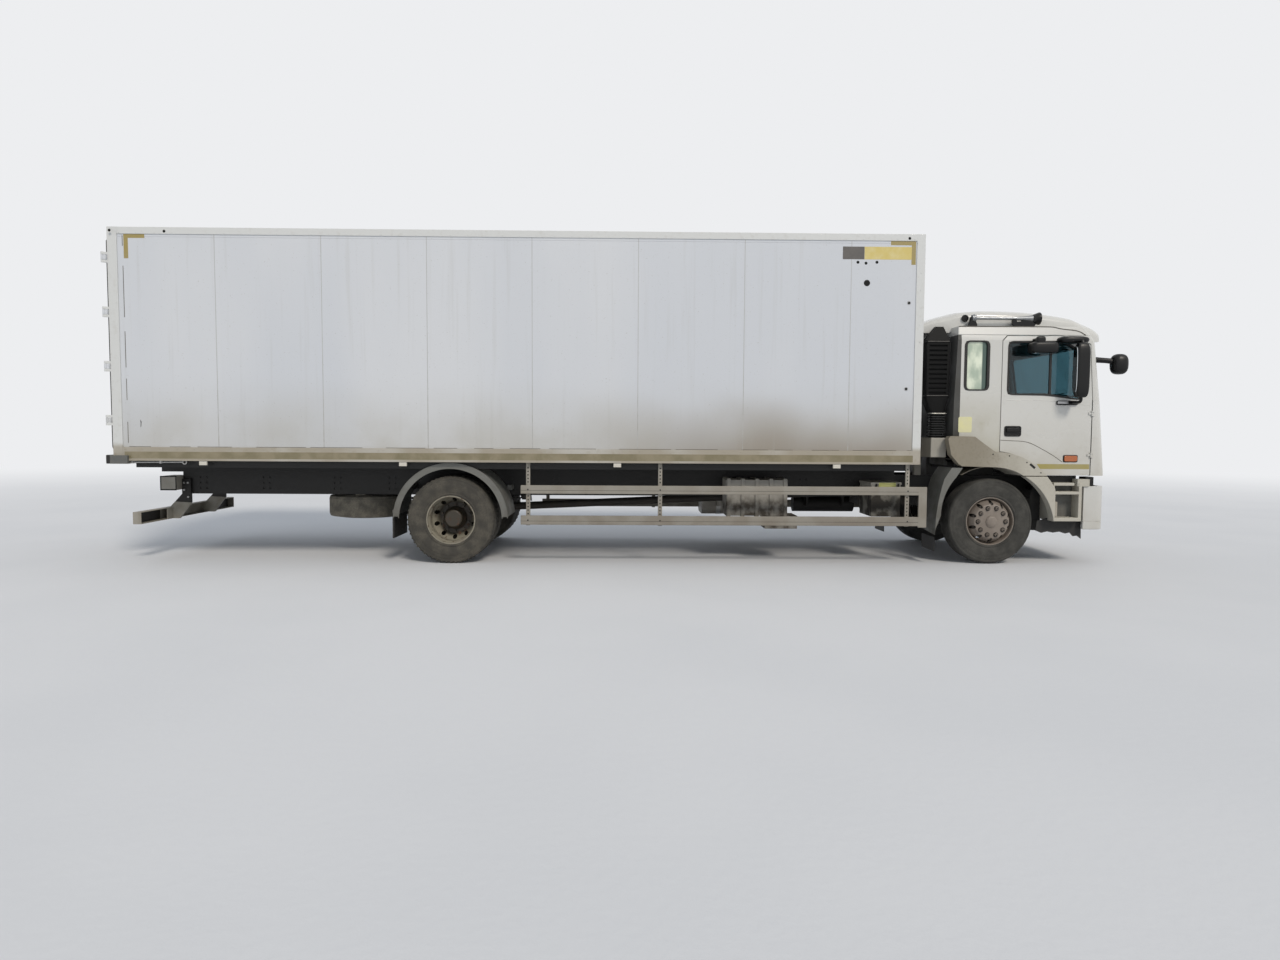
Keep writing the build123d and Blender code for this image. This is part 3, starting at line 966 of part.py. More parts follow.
def fender_outline(y):
    """Flare over the front wheel, with the bulge behind it, seen from the side."""
    reach_in = (ARCH_RADIUS ** 2 - (CAB_BOTTOM_Z - TYRE_RADIUS) ** 2) ** 0.5
    reach_out = (FLARE_RADIUS ** 2 - (CAB_BOTTOM_Z - TYRE_RADIUS) ** 2) ** 0.5
    with BuildSketch(side(FRONT_AXLE_X, y)) as outline:
        with BuildLine():
            Polyline((0, TYRE_RADIUS + ARCH_RADIUS), (-400, 1190), (-439, 1217), (-531, 1324), (-571, 1515),
                     (-545, 1550), (-250, 1545), (-166, 1481), (0, TYRE_RADIUS + FLARE_RADIUS))
            middle = radians(68)
            ThreePointArc((0, TYRE_RADIUS + FLARE_RADIUS),
                          (FLARE_RADIUS * cos(middle), TYRE_RADIUS + FLARE_RADIUS * sin(middle)),
                          (reach_out, CAB_BOTTOM_Z))
            Line((reach_out, CAB_BOTTOM_Z), (reach_in, CAB_BOTTOM_Z))
            ThreePointArc((reach_in, CAB_BOTTOM_Z),
                          (ARCH_RADIUS * cos(middle), TYRE_RADIUS + ARCH_RADIUS * sin(middle)),
                          (0, TYRE_RADIUS + ARCH_RADIUS))
        make_face()
    return outline.sketch


def wheel_well(radius, depth):
    """Space over the front wheels up to a radius, from the outside to a depth inward."""
    with BuildPart() as solid:
        for sign in (-1, 1):
            low_y, high_y = sorted((sign * 1400, sign * (1400 - depth)))
            with BuildSketch(side(FRONT_AXLE_X, high_y, TYRE_RADIUS)):
                Circle(radius)
                with Locations((-radius, 0)):
                    Rectangle(2 * radius, 2 * radius)
            extrude(amount=high_y - low_y)
    return solid.part


# Front fenders: flares proud of the cab side, with arched liners over the tyres
LINER_INNER_Y = 740
LINER_SHEET = 8
with BuildPart() as front_fenders:
    add(fender_outline(-FLARE_INNER_Y))
    extrude(amount=FLARE_OUTER_Y - FLARE_INNER_Y, dir=TO_RIGHT)
    with BuildSketch(side(FRONT_AXLE_X, -LINER_INNER_Y, TYRE_RADIUS)):
        Circle(ARCH_RADIUS + LINER_SHEET)
        Circle(ARCH_RADIUS, mode=Mode.SUBTRACT)
        with Locations((0, CAB_BOTTOM_Z - TYRE_RADIUS)):
            Rectangle(3000, 3000, align=(Align.CENTER, Align.MAX), mode=Mode.SUBTRACT)
    extrude(amount=FLARE_INNER_Y - LINER_INNER_Y + 10)
    mirror(about=Plane.XZ)
write(front_fenders.part, "front_fenders")

# Door outline seen from the side, grown by a gap for the doorway
DOOR_SILL_Z = CAB_BOTTOM_Z + 5
WINDOW_REAR_X = FRONT_AXLE_X + 156
WINDOW_TOP_Z = 2680
WINDOW_LOW_Z = 2055


def door_outline(gap, y):
    low_z = DOOR_SILL_Z - gap
    radius = FLARE_RADIUS + DOOR_GAP - gap
    rear = DOOR_REAR_X - FRONT_AXLE_X - gap
    front = DOOR_FRONT_X - FRONT_AXLE_X + gap
    top = DOOR_TOP_Z + gap
    rear_foot_z = TYRE_RADIUS + (radius ** 2 - rear ** 2) ** 0.5
    sill_x = (radius ** 2 - (low_z - TYRE_RADIUS) ** 2) ** 0.5
    middle = radians(60)
    with BuildSketch(side(FRONT_AXLE_X, y)) as outline:
        with BuildLine():
            Polyline((rear, rear_foot_z), (rear, top - 60), (rear + 60, top), (620, top))
            ThreePointArc((620, top), (940, top - 25), (front - 45, top - 100))
            Polyline((front - 45, top - 100), (front, BELT_Z + 60), (front, low_z), (sill_x, low_z))
            ThreePointArc((sill_x, low_z), (radius * cos(middle), TYRE_RADIUS + radius * sin(middle)),
                          (rear, rear_foot_z))
        make_face()
    return outline.sketch


def window_outline(y):
    rear = WINDOW_REAR_X - FRONT_AXLE_X
    top = WINDOW_TOP_Z
    low = WINDOW_LOW_Z
    front = DOOR_FRONT_X - FRONT_AXLE_X - 130
    with BuildSketch(side(FRONT_AXLE_X, y)) as outline:
        with BuildLine():
            Polyline((rear, low), (rear, top), (front - 230, top), (front, top - 120), (front, low - 60),
                     (front - 440, low), close=True)
        make_face()
    return outline.sketch


# Windscreen, quarter and rear openings
SCREEN_HALF = 1020
SCREEN_LOW_Z = 1985
SCREEN_TOP_Z = 2660
QUARTER_X = (-359, -88)
QUARTER_Z = (2104, 2684)
cab_floor_top_z = CAB_BOTTOM_Z + FLOOR_SHEET
BEYOND = 1400
FLOOR_FRONT_X = FRONT_AXLE_X + 1341
floor_half = CAB_HALF_WIDTH - DOOR_THICK - DOOR_GAP
floor_rear_x = CAB_REAR_X + CAB_WALL + 2.8

with BuildPart() as cab_shell:
    add(cab_solid(0))
    add(cab_solid(CAB_WALL, cab_floor_top_z, CAB_TOP_Z - CAB_WALL), mode=Mode.SUBTRACT)
    cut((CAB_REAR_X + CAB_WALL, -CAB_HALF_WIDTH + CAB_WALL, CAB_BOTTOM_Z - 50),
        (FLOOR_FRONT_X, CAB_HALF_WIDTH - CAB_WALL, cab_floor_top_z + 5))
    cut((FRONT_AXLE_X + 800, -SCREEN_HALF, SCREEN_LOW_Z), (FRONT_AXLE_X + 1600, SCREEN_HALF, SCREEN_TOP_Z))
    cut((FRONT_AXLE_X + QUARTER_X[0], -1300, QUARTER_Z[0]), (FRONT_AXLE_X + QUARTER_X[1], 1300, QUARTER_Z[1]))
    add(wheel_well(FLARE_RADIUS - 100, 500), mode=Mode.SUBTRACT)
    for outline in (fender_outline(BEYOND), door_outline(DOOR_GAP, BEYOND)):
        add(outline)
        extrude(amount=2 * BEYOND, dir=TO_RIGHT, mode=Mode.SUBTRACT)

# Cab panels: the shell split where the real panels meet
PANEL_REAR_X = DOOR_FRONT_X + DOOR_GAP
EAVE_SPLIT_Z = DOOR_TOP_Z + DOOR_GAP
WELL_FLOOR_Z = 1190
CAB_FAR = 3000


def region(low, high):
    """Box between two corners, as a solid of its own."""
    with BuildPart() as solid:
        span(low, high)
    return solid.part


with BuildPart() as cab_roof:
    add(cab_shell.part)
    add(region((0, -CAB_FAR, EAVE_SPLIT_Z), (2 * CAB_FAR + 3000, CAB_FAR, CAB_FAR)), mode=Mode.INTERSECT)
write(cab_roof.part, "cab_roof")

door_hinge_y = CAB_HALF_WIDTH + DOOR_HINGE_OUT
door_eye = DOOR_HINGE_HEIGHT / 4 - 1
door_knuckle = DOOR_HINGE_HEIGHT - 2 * door_eye - 6
with BuildPart() as cab_front_panel:
    add(cab_shell.part)
    add(region((PANEL_REAR_X, -CAB_FAR, 0), (CAB_FAR + 6000, CAB_FAR, SCREEN_LOW_Z)), mode=Mode.INTERSECT)
    for sign in (-1, 1):
        skin_y = sign * CAB_HALF_WIDTH
        axis_y = sign * door_hinge_y
        for middle in DOOR_HINGE_Z:
            for low_z in (middle - DOOR_HINGE_HEIGHT / 2, middle + DOOR_HINGE_HEIGHT / 2 - door_eye):
                low_y, high_y = sorted((skin_y, axis_y))
                span((DOOR_FRONT_X, low_y, low_z), (PANEL_REAR_X + 24, high_y, low_z + door_eye))
                with Locations((DOOR_FRONT_X, axis_y, low_z + door_eye / 2)):
                    Cylinder(DOOR_HINGE_RADIUS, door_eye)
            with Locations((DOOR_FRONT_X, axis_y, middle)):
                Cylinder(DOOR_PIN_RADIUS, DOOR_HINGE_HEIGHT)
write(cab_front_panel.part, "cab_front_panel")

with BuildPart() as cab_rear_wall:
    add(cab_shell.part)
    add(region((0, -CAB_FAR, WELL_FLOOR_Z), (CAB_REAR_X + CAB_WALL + 30, CAB_FAR, EAVE_SPLIT_Z)),
        mode=Mode.INTERSECT)
    cut((0, -TUNNEL_HALF_WIDTH, 0), (CAB_REAR_X + 200, TUNNEL_HALF_WIDTH, TUNNEL_TOP_Z))
write(cab_rear_wall.part, "cab_rear_wall")

with BuildPart() as cab_sides:
    add(cab_shell.part)
    add(region((CAB_REAR_X + CAB_WALL + 30, -CAB_FAR, 0), (CAB_FAR + 6000, CAB_FAR, EAVE_SPLIT_Z)),
        mode=Mode.INTERSECT)
    add(region((PANEL_REAR_X, -CAB_FAR, 0), (CAB_FAR + 6000, CAB_FAR, SCREEN_LOW_Z)), mode=Mode.SUBTRACT)
write(cab_sides.part, "cab_sides")

# Cab floor: stepped plate with an open tunnel over the engine, on two tilt arms
with BuildPart() as cab_floor:
    with BuildSketch(side(FRONT_AXLE_X, floor_half)):
        with BuildLine():
            rear = floor_rear_x - FRONT_AXLE_X
            front = FLOOR_FRONT_X - FRONT_AXLE_X
            Polyline((rear, WELL_FLOOR_Z), (220, WELL_FLOOR_Z), (660, CAB_BOTTOM_Z), (front, CAB_BOTTOM_Z),
                     (front, cab_floor_top_z), (672, cab_floor_top_z), (232, WELL_FLOOR_Z + FLOOR_SHEET),
                     (rear, WELL_FLOOR_Z + FLOOR_SHEET), close=True)
        make_face()
    extrude(amount=2 * floor_half)
    tunnel_front_x = FRONT_AXLE_X + 600
    cut((0, -TUNNEL_HALF_WIDTH, 1000), (tunnel_front_x, TUNNEL_HALF_WIDTH, 1300))
    span((floor_rear_x, -TUNNEL_HALF_WIDTH, 1150), (tunnel_front_x, TUNNEL_HALF_WIDTH, TUNNEL_TOP_Z))
    cut((CAB_REAR_X, -TUNNEL_HALF_WIDTH + FLOOR_SHEET, 1000),
        (tunnel_front_x - FLOOR_SHEET, TUNNEL_HALF_WIDTH - FLOOR_SHEET, TUNNEL_TOP_Z - FLOOR_SHEET))
    for sign in (-1, 1):
        with BuildSketch(side(TILT_X, sign * TILT_ARM_Y + TILT_ARM_THICK / 2, TILT_Z)):
            with BuildLine():
                Polyline((-32, -32), (32, 32), (-330, CAB_BOTTOM_Z - TILT_Z), (-420, CAB_BOTTOM_Z - TILT_Z),
                         close=True)
            make_face()
            Circle(46)
            Circle(TILT_PIN_RADIUS + TILT_PIN_CLEARANCE, mode=Mode.SUBTRACT)
        extrude(amount=TILT_ARM_THICK)
write(cab_floor.part, "cab_floor")

# Cab glass: windscreen and quarter windows, set at mid thickness of their openings
GLASS_INSET = 14


def glass_band(low, high):
    with BuildPart() as solid:
        add(cab_solid(GLASS_INSET))
        add(cab_solid(GLASS_INSET + GLASS), mode=Mode.SUBTRACT)
        add(region(low, high), mode=Mode.INTERSECT)
    return solid.part


with BuildPart() as cab_glass:
    add(glass_band((FRONT_AXLE_X + 800, -SCREEN_HALF, SCREEN_LOW_Z), (FRONT_AXLE_X + 1600, SCREEN_HALF, SCREEN_TOP_Z)))
    for low_y, high_y in [(-1300, -800), (800, 1300)]:
        add(glass_band((FRONT_AXLE_X + QUARTER_X[0], low_y, QUARTER_Z[0]),
                       (FRONT_AXLE_X + QUARTER_X[1], high_y, QUARTER_Z[1])))
write(cab_glass.part, "cab_glass")

# Roof fairing: bowed deflector from over the windscreen back across the gap to the box
FAIRING_HALF = 930
FAIRING_REAR_HALF = 850
FAIRING_FRONT_X = FRONT_AXLE_X + 1290
FAIRING_REAR_X = FRONT_AXLE_X - 845
with BuildPart() as roof_fairing:
    with BuildSketch(side(FRONT_AXLE_X, FAIRING_HALF + 100)):
        with BuildLine():
            Polyline((1360, 2735), (1310, 2700), (1215, 2700), (900, 2860), (-430, CAB_TOP_Z), (-470, 2812),
                     (-845, 2812), (-845, 2925))
            Line((-845, 2925), (-351, 3084))
            ThreePointArc((-351, 3084), (160, 3095), (671, 3051))
            ThreePointArc((671, 3051), (1000, 2985), (1240, 2885))
            ThreePointArc((1240, 2885), (1330, 2825), (1360, 2735))
        make_face()
    extrude(amount=2 * (FAIRING_HALF + 100))
    with BuildSketch(Plane.XY.offset(2600)):
        with BuildLine():
            Polyline((FAIRING_FRONT_X - 160, FAIRING_HALF), (FRONT_AXLE_X - 100, FAIRING_HALF),
                     (FAIRING_REAR_X, FAIRING_REAR_HALF), (FAIRING_REAR_X, -FAIRING_REAR_HALF),
                     (FRONT_AXLE_X - 100, -FAIRING_HALF), (FAIRING_FRONT_X - 160, -FAIRING_HALF))
            ThreePointArc((FAIRING_FRONT_X - 160, -FAIRING_HALF), (FAIRING_FRONT_X - 20, -FAIRING_HALF + 130),
                          (FAIRING_FRONT_X + 10, -FAIRING_HALF + 300))
            ThreePointArc((FAIRING_FRONT_X + 10, -FAIRING_HALF + 300), (FAIRING_FRONT_X + 60, 0),
                          (FAIRING_FRONT_X + 10, FAIRING_HALF - 300))
            ThreePointArc((FAIRING_FRONT_X + 10, FAIRING_HALF - 300), (FAIRING_FRONT_X - 20, FAIRING_HALF - 130),
                          (FAIRING_FRONT_X - 160, FAIRING_HALF))
        make_face()
    extrude(amount=700, mode=Mode.INTERSECT)
    add(cab_solid(0), mode=Mode.SUBTRACT)
write(roof_fairing.part, "roof_fairing")

# Dashboard with the steering wheel on the left
WHEEL_CENTRE = (FRONT_AXLE_X + 805, 560, 1790)
with BuildPart() as dashboard:
    with BuildSketch(side(FRONT_AXLE_X, floor_half)):
        with BuildLine():
            Polyline((1400, 1480), (1010, 1480), (930, 1620), (960, 1840), (1060, 1930), (1400, 1930), close=True)
        make_face()
    extrude(amount=2 * floor_half)
    add(cab_solid(CAB_WALL), mode=Mode.INTERSECT)
    wheel_tilt = Plane(origin=WHEEL_CENTRE, z_dir=(-0.55, 0, 0.83))
    with BuildSketch(wheel_tilt):
        Circle(225)
        Circle(197, mode=Mode.SUBTRACT)
        Rectangle(410, 34)
    extrude(amount=24)
    with BuildSketch(wheel_tilt):
        Circle(34)
    extrude(amount=-330)
write(dashboard.part, "dashboard")

# Seats and the bunk behind them
SEAT_WIDTH = 500
SEAT_Z = TUNNEL_TOP_Z + 10
with BuildPart() as seats:
    for y in (-600, 600):
        span((FRONT_AXLE_X + 20, y - 170, WELL_FLOOR_Z + FLOOR_SHEET), (FRONT_AXLE_X + 220, y + 170, SEAT_Z))
        with BuildSketch(side(FRONT_AXLE_X, y + SEAT_WIDTH / 2)):
            with BuildLine():
                Polyline((-40, SEAT_Z), (520, SEAT_Z), (530, SEAT_Z + 90), (470, SEAT_Z + 120), (110, SEAT_Z + 100),
                         (-10, 2210), (-100, 2200), close=True)
            make_face()
        extrude(amount=SEAT_WIDTH)
        span((FRONT_AXLE_X - 95, y - 130, 2195), (FRONT_AXLE_X - 15, y + 130, 2400))
    span((CAB_REAR_X + CAB_WALL + 10, -CAB_HALF_WIDTH + CAB_WALL + 10, TUNNEL_TOP_Z),
         (FRONT_AXLE_X - 120, CAB_HALF_WIDTH - CAB_WALL - 10, TUNNEL_TOP_Z + 140))
write(seats.part, "seats")

# Front-view mirror on the right pillar, and air horns on the roof
MIRROR_REACH_X = FRONT_AXLE_X + 1635
with BuildPart() as front_mirror:
    with BuildSketch(side(FRONT_AXLE_X, -1000)):
        with BuildLine():
            Polyline((1200, 2500), (1200, 2540), (1440, 2455), (1500, 2500), (1500, 2440), (1430, 2410), close=True)
        make_face()
    extrude(amount=30)
    span((MIRROR_REACH_X - 197, -1110, 2290), (MIRROR_REACH_X, -900, 2500))
    add(cab_solid(0), mode=Mode.SUBTRACT)
write(front_mirror.part, "front_mirror")

HORN_Z = 2975
HORN_Y = 1010
with BuildPart() as air_horns:
    with BuildSketch(Plane(origin=(FRONT_AXLE_X, -HORN_Y, HORN_Z), x_dir=(1, 0, 0), z_dir=(0, -1, 0))):
        with BuildLine():
            Polyline((-247, 0), (-247, 42), (-190, 42), (-190, 14), (330, 17))
            ThreePointArc((330, 17), (480, 32), (578, 68))
            Polyline((578, 68), (578, 0), (-247, 0))
        make_face()
    revolve(axis=Axis((0, -HORN_Y, HORN_Z), (1, 0, 0)))
    for x in (FRONT_AXLE_X - 120, FRONT_AXLE_X + 260):
        span((x - 15, -HORN_Y - 12, CAB_TOP_Z), (x + 15, -HORN_Y + 12, HORN_Z))
    mirror(about=Plane.XZ)
write(air_horns.part, "air_horns")

# Cab doors: leaf as thick as the whole door with its window cut, on two outside hinges
with BuildPart() as cab_door:
    add(door_outline(0, 0))
    extrude(amount=BEYOND, dir=TO_RIGHT)
    add(cab_solid(0), mode=Mode.INTERSECT)
    add(cab_solid(DOOR_THICK, CAB_BOTTOM_Z - 20, CAB_TOP_Z), mode=Mode.SUBTRACT)
    add(window_outline(0))
    extrude(amount=BEYOND, dir=TO_RIGHT, mode=Mode.SUBTRACT)
    for middle in DOOR_HINGE_Z:
        span((DOOR_FRONT_X - 40, -door_hinge_y, middle - door_knuckle / 2),
             (DOOR_FRONT_X, -CAB_HALF_WIDTH, middle + door_knuckle / 2))
        with Locations((DOOR_FRONT_X, -door_hinge_y, middle)):
            Cylinder(DOOR_HINGE_RADIUS, door_knuckle)
            Cylinder(DOOR_PIN_RADIUS + DOOR_PIN_CLEARANCE, door_knuckle, mode=Mode.SUBTRACT)
write_pair(cab_door.part, "cab_door")

with BuildPart() as door_glass:
    add(window_outline(0))
    extrude(amount=BEYOND, dir=TO_RIGHT)
    add(cab_solid(DOOR_THICK / 2), mode=Mode.INTERSECT)
    add(cab_solid(DOOR_THICK / 2 + GLASS), mode=Mode.SUBTRACT)
write_pair(door_glass.part, "door_glass")

# Door mirrors on two brackets, with the door handle; the right door also has a kerb mirror
MIRROR_OUTER_Y = 1420
MIRROR_INNER_Y = 1290
with BuildPart() as door_mirror:
    span((FRONT_AXLE_X + 815, -MIRROR_OUTER_Y, 2040), (FRONT_AXLE_X + 1030, -MIRROR_INNER_Y, 2650))
    for low_z, high_z in [(1940, 1980), (2700, 2725)]:
        span((FRONT_AXLE_X + 900, -MIRROR_INNER_Y - 40, low_z), (FRONT_AXLE_X + 940, -CAB_HALF_WIDTH, high_z))
    span((FRONT_AXLE_X + 905, -MIRROR_INNER_Y - 40, 1940), (FRONT_AXLE_X + 935, -MIRROR_INNER_Y - 10, 2725))
    span((FRONT_AXLE_X + 128, -CAB_HALF_WIDTH - 32, 1565), (FRONT_AXLE_X + 333, -CAB_HALF_WIDTH - 14, 1600))
    for x in (FRONT_AXLE_X + 128, FRONT_AXLE_X + 303):
        span((x, -CAB_HALF_WIDTH - 32, 1565), (x + 30, -CAB_HALF_WIDTH, 1600))
write(door_mirror.part.mirror(Plane.XZ), "door_mirror_left")

with BuildPart() as door_mirror_right:
    add(door_mirror.part)
    span((FRONT_AXLE_X + 317, -MIRROR_OUTER_Y, 2600), (FRONT_AXLE_X + 630, -1220, 2700))
    span((FRONT_AXLE_X + 400, -1260, 2700), (FRONT_AXLE_X + 450, -CAB_HALF_WIDTH, 2725))
write(door_mirror_right.part, "door_mirror_right")
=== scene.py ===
"""Looks of a refrigerated truck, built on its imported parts.

Places are in metres in the frame of the parts: +X to the front, +Y to the left side, +Z up.
Side outlines are given from the front axle, as the parts are drawn.
"""
import math

import bmesh
import bpy
from bpy.props import FloatProperty, FloatVectorProperty, IntProperty, PointerProperty
from mathutils import Matrix, Quaternion, Vector


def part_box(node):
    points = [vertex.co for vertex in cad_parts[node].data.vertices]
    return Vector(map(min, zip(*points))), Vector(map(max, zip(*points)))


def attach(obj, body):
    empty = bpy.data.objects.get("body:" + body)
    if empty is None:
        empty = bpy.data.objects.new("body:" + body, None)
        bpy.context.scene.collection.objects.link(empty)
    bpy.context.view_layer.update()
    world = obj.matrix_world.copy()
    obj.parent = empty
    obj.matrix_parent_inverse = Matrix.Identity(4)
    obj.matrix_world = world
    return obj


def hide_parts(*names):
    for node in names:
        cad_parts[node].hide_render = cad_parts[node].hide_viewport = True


bl_info = {
    "name": "Refrigerated truck",
    "version": (1, 0, 0),
    "blender": (4, 5, 0),
    "location": "View3D > Sidebar > Truck",
    "description": "Builds the looks of a refrigerated truck on its packed parts",
    "category": "Object",
}

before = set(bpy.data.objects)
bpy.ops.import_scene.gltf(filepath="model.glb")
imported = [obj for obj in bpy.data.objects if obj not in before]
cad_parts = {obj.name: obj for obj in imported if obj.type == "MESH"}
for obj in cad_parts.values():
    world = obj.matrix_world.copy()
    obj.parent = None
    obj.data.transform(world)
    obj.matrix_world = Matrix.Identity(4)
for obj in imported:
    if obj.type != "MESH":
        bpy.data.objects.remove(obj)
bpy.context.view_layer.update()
# X of the axles and Z of the hubs
AXLE_X = 4.42
REAR_AXLE_X = -2.08
WHEEL_Z = 0.52
# distance from the middle to the cab's skin, the box's walls and its edge rails
SKIN_Y = 1.15
WALL_Y = 1.29
RAIL_Y = 1.3
# how far the middle of the cab's front and of the bumper stands out
FRONT_BOW = 0.07
# frames that the cloth of a pad is run for
CLOTH_FRAMES = 20
# steps in a turned corner, and rings and points round a swollen box
TURN_STEPS = 6
SWOLLEN_RINGS = 12
SWOLLEN_POINTS = 28
SIDES = (("right", -1), ("left", 1))


def linear(code):
    """An sRGB hex colour as linear red, green and blue."""
    parts = [int(code[i:i + 2], 16) / 255 for i in (1, 3, 5)]
    return tuple(p / 12.92 if p <= 0.04045 else ((p + 0.055) / 1.055) ** 2.4 for p in parts)


# Materials


def add_node(tree, kind, inputs=(), output=0, **settings):
    """Add a node with its settings; each input takes a value, a colour or a link. Returns the output asked for."""
    made = tree.nodes.new(kind)
    for name, value in settings.items():
        setattr(made, name, value)
    for key, value in dict(inputs).items():
        named = (s for s in made.inputs if s.enabled and s.name == key)
        socket = made.inputs[key] if isinstance(key, int) else next(named)
        if isinstance(value, bpy.types.NodeSocket):
            tree.links.new(value, socket)
        elif socket.type == "RGBA":
            socket.default_value = (*(linear(value) if isinstance(value, str) else value), 1.0)
        else:
            socket.default_value = value
    shown = [s for s in made.outputs if s.enabled]
    return made.outputs[output] if isinstance(output, str) else (shown[output] if shown else None)


OBJECT_PLACE = ("ShaderNodeTexCoord", (), "Object")


def material(name, finish):
    """The material of that name, made on first use; finish adds its patterns and returns the shader's inputs."""
    made = bpy.data.materials.get(name)
    if made is None:
        made = bpy.data.materials.new(name)
        made.use_nodes = True
        tree = made.node_tree
        tree.nodes.clear()
        shader = add_node(tree, "ShaderNodeBsdfPrincipled", finish(tree))
        add_node(tree, "ShaderNodeOutputMaterial", {"Surface": shader})
    return made


def clouds(tree, size_mm, low=0.0, high=1.0, detail=3.0, stretch=(1, 1, 1), between=(0.35, 0.65)):
    """Share from low to high in soft blotches about size_mm across."""
    scaled = add_node(tree, "ShaderNodeMapping", {"Vector": add_node(tree, *OBJECT_PLACE), "Scale": stretch})
    pattern = add_node(tree, "ShaderNodeTexNoise", {"Vector": scaled, "Scale": 1000 / size_mm, "Detail": detail})
    return add_node(tree, "ShaderNodeMapRange", {"Value": pattern, "From Min": between[0], "From Max": between[1],
                                                 "To Min": low, "To Max": high}, interpolation_type="SMOOTHSTEP")


def fade(tree, axis, start, end, low=0.0, high=1.0, wander=None):
    """Share that goes from low to high between two places along an axis; wander moves the places about."""
    along = add_node(tree, "ShaderNodeSeparateXYZ", {"Vector": add_node(tree, *OBJECT_PLACE)}, output=axis)
    if wander is not None:
        along = add_node(tree, "ShaderNodeMath", {0: along, 1: wander}, operation="ADD")
    return add_node(tree, "ShaderNodeMapRange", {"Value": along, "From Min": start, "From Max": end, "To Min": low,
                                                 "To Max": high}, interpolation_type="SMOOTHSTEP")


def relief(tree, size_mm, depth_mm, stretch=(1, 1, 1), detail=4.0):
    """Normal of a cloudy unevenness about size_mm across and depth_mm deep."""
    height = clouds(tree, size_mm, detail=detail, stretch=stretch, between=(0.2, 0.8))
    return add_node(tree, "ShaderNodeBump", {"Height": height, "Distance": depth_mm / 1000})


def dusted(name, clean, dust, full_z, clear_z, most, least, gloss, matt=0.75, metal=0.0, grain_mm=(260, 30),
           depth_mm=0.4, coat=0.0, shine=0.5):
    """Paint, plastic or metal under a film of road dust that thins from full_z up to clear_z."""

    def finish(tree):
        film = fade(tree, "Z", full_z, clear_z, most, least)
        patches = clouds(tree, grain_mm[0], 0.6, 1.2)
        specks = clouds(tree, grain_mm[1], 0.0, 0.14, 4.0, between=(0.55, 0.75))
        film = add_node(tree, "ShaderNodeMath", {0: film, 1: patches}, operation="MULTIPLY", use_clamp=True)
        film = add_node(tree, "ShaderNodeMath", {0: film, 1: specks}, operation="ADD", use_clamp=True)
        inputs = {"Base Color": add_node(tree, "ShaderNodeMix", {"Factor": film, "A": clean, "B": dust},
                                         data_type="RGBA"),
                  "Roughness": add_node(tree, "ShaderNodeMapRange", {"Value": film, "To Min": gloss, "To Max": matt}),
                  "Normal": relief(tree, grain_mm[1], depth_mm), "Specular IOR Level": shine}
        if metal:
            inputs["Metallic"] = add_node(tree, "ShaderNodeMapRange", {"Value": film, "From Max": 0.9, "To Min": metal,
                                                                       "To Max": 0.0})
        if coat:
            inputs.update({"Coat Weight": coat, "Coat Roughness": 0.08})
        return inputs

    return material(name, finish)


def gelcoat():
    """Gel-coated fibreglass sandwich skin: satin white in long shallow waves from the foam core, with a brown spray
    film behind the front wheels, a grey one along the bottom and faint vertical wash marks."""

    def finish(tree):
        foam = clouds(tree, 1800, 0.0, 0.4, 3.0, (1.0, 1, 0.3))
        grey = add_node(tree, "ShaderNodeMath", {0: fade(tree, "Z", 1.25, 2.3, 0.7, 0.0),
                                                 1: clouds(tree, 900, 0.55, 1.1, 4.0)}, operation="MULTIPLY")
        spray = add_node(tree, "ShaderNodeMath", {0: fade(tree, "X", -0.9, 1.7, 0.05, 1.0),
                                                  1: fade(tree, "X", 2.9, 3.45, 1.0, 0.75)}, operation="MULTIPLY")
        low = fade(tree, "Z", 1.3, 2.0, 0.9, 0.0, clouds(tree, 1500, -0.1, 0.1, 1.0))
        spray = add_node(tree, "ShaderNodeMath", {0: spray, 1: low}, operation="MULTIPLY")
        wash = clouds(tree, 60, 0.0, 0.16, 2.0, (1.0, 1.0, 0.04), between=(0.55, 0.8))
        specks = clouds(tree, 16, 0.0, 0.35, 2.0, between=(0.68, 0.76))
        colour = bpy.context.scene.truck_colours.box
        for share, film in ((foam, "#BCC2CB"), (grey, "#B0AEA6"), (spray, "#8C8478"), (wash, "#A9A9A4"),
                            (specks, "#96928A")):
            colour = add_node(tree, "ShaderNodeMix", {"Factor": share, "A": colour, "B": film}, data_type="RGBA")
        return {"Base Color": colour,
                "Roughness": add_node(tree, "ShaderNodeMapRange", {"Value": spray, "To Min": 0.4, "To Max": 0.75}),
                "Normal": relief(tree, 1300, 2.5, (1, 1, 0.5), 1.0)}

    return material("gelcoated_fibreglass", finish)


def rail_paint():
    """Painted aluminium extrusion: flat white-grey, dulled by dust toward the bottom."""
    return dusted("painted_extrusion", "#D0D2D1", "#9F988A", 1.36, 1.43, 1.0, 0.03, gloss=0.4, grain_mm=(1500, 60),
                  coat=0.1)


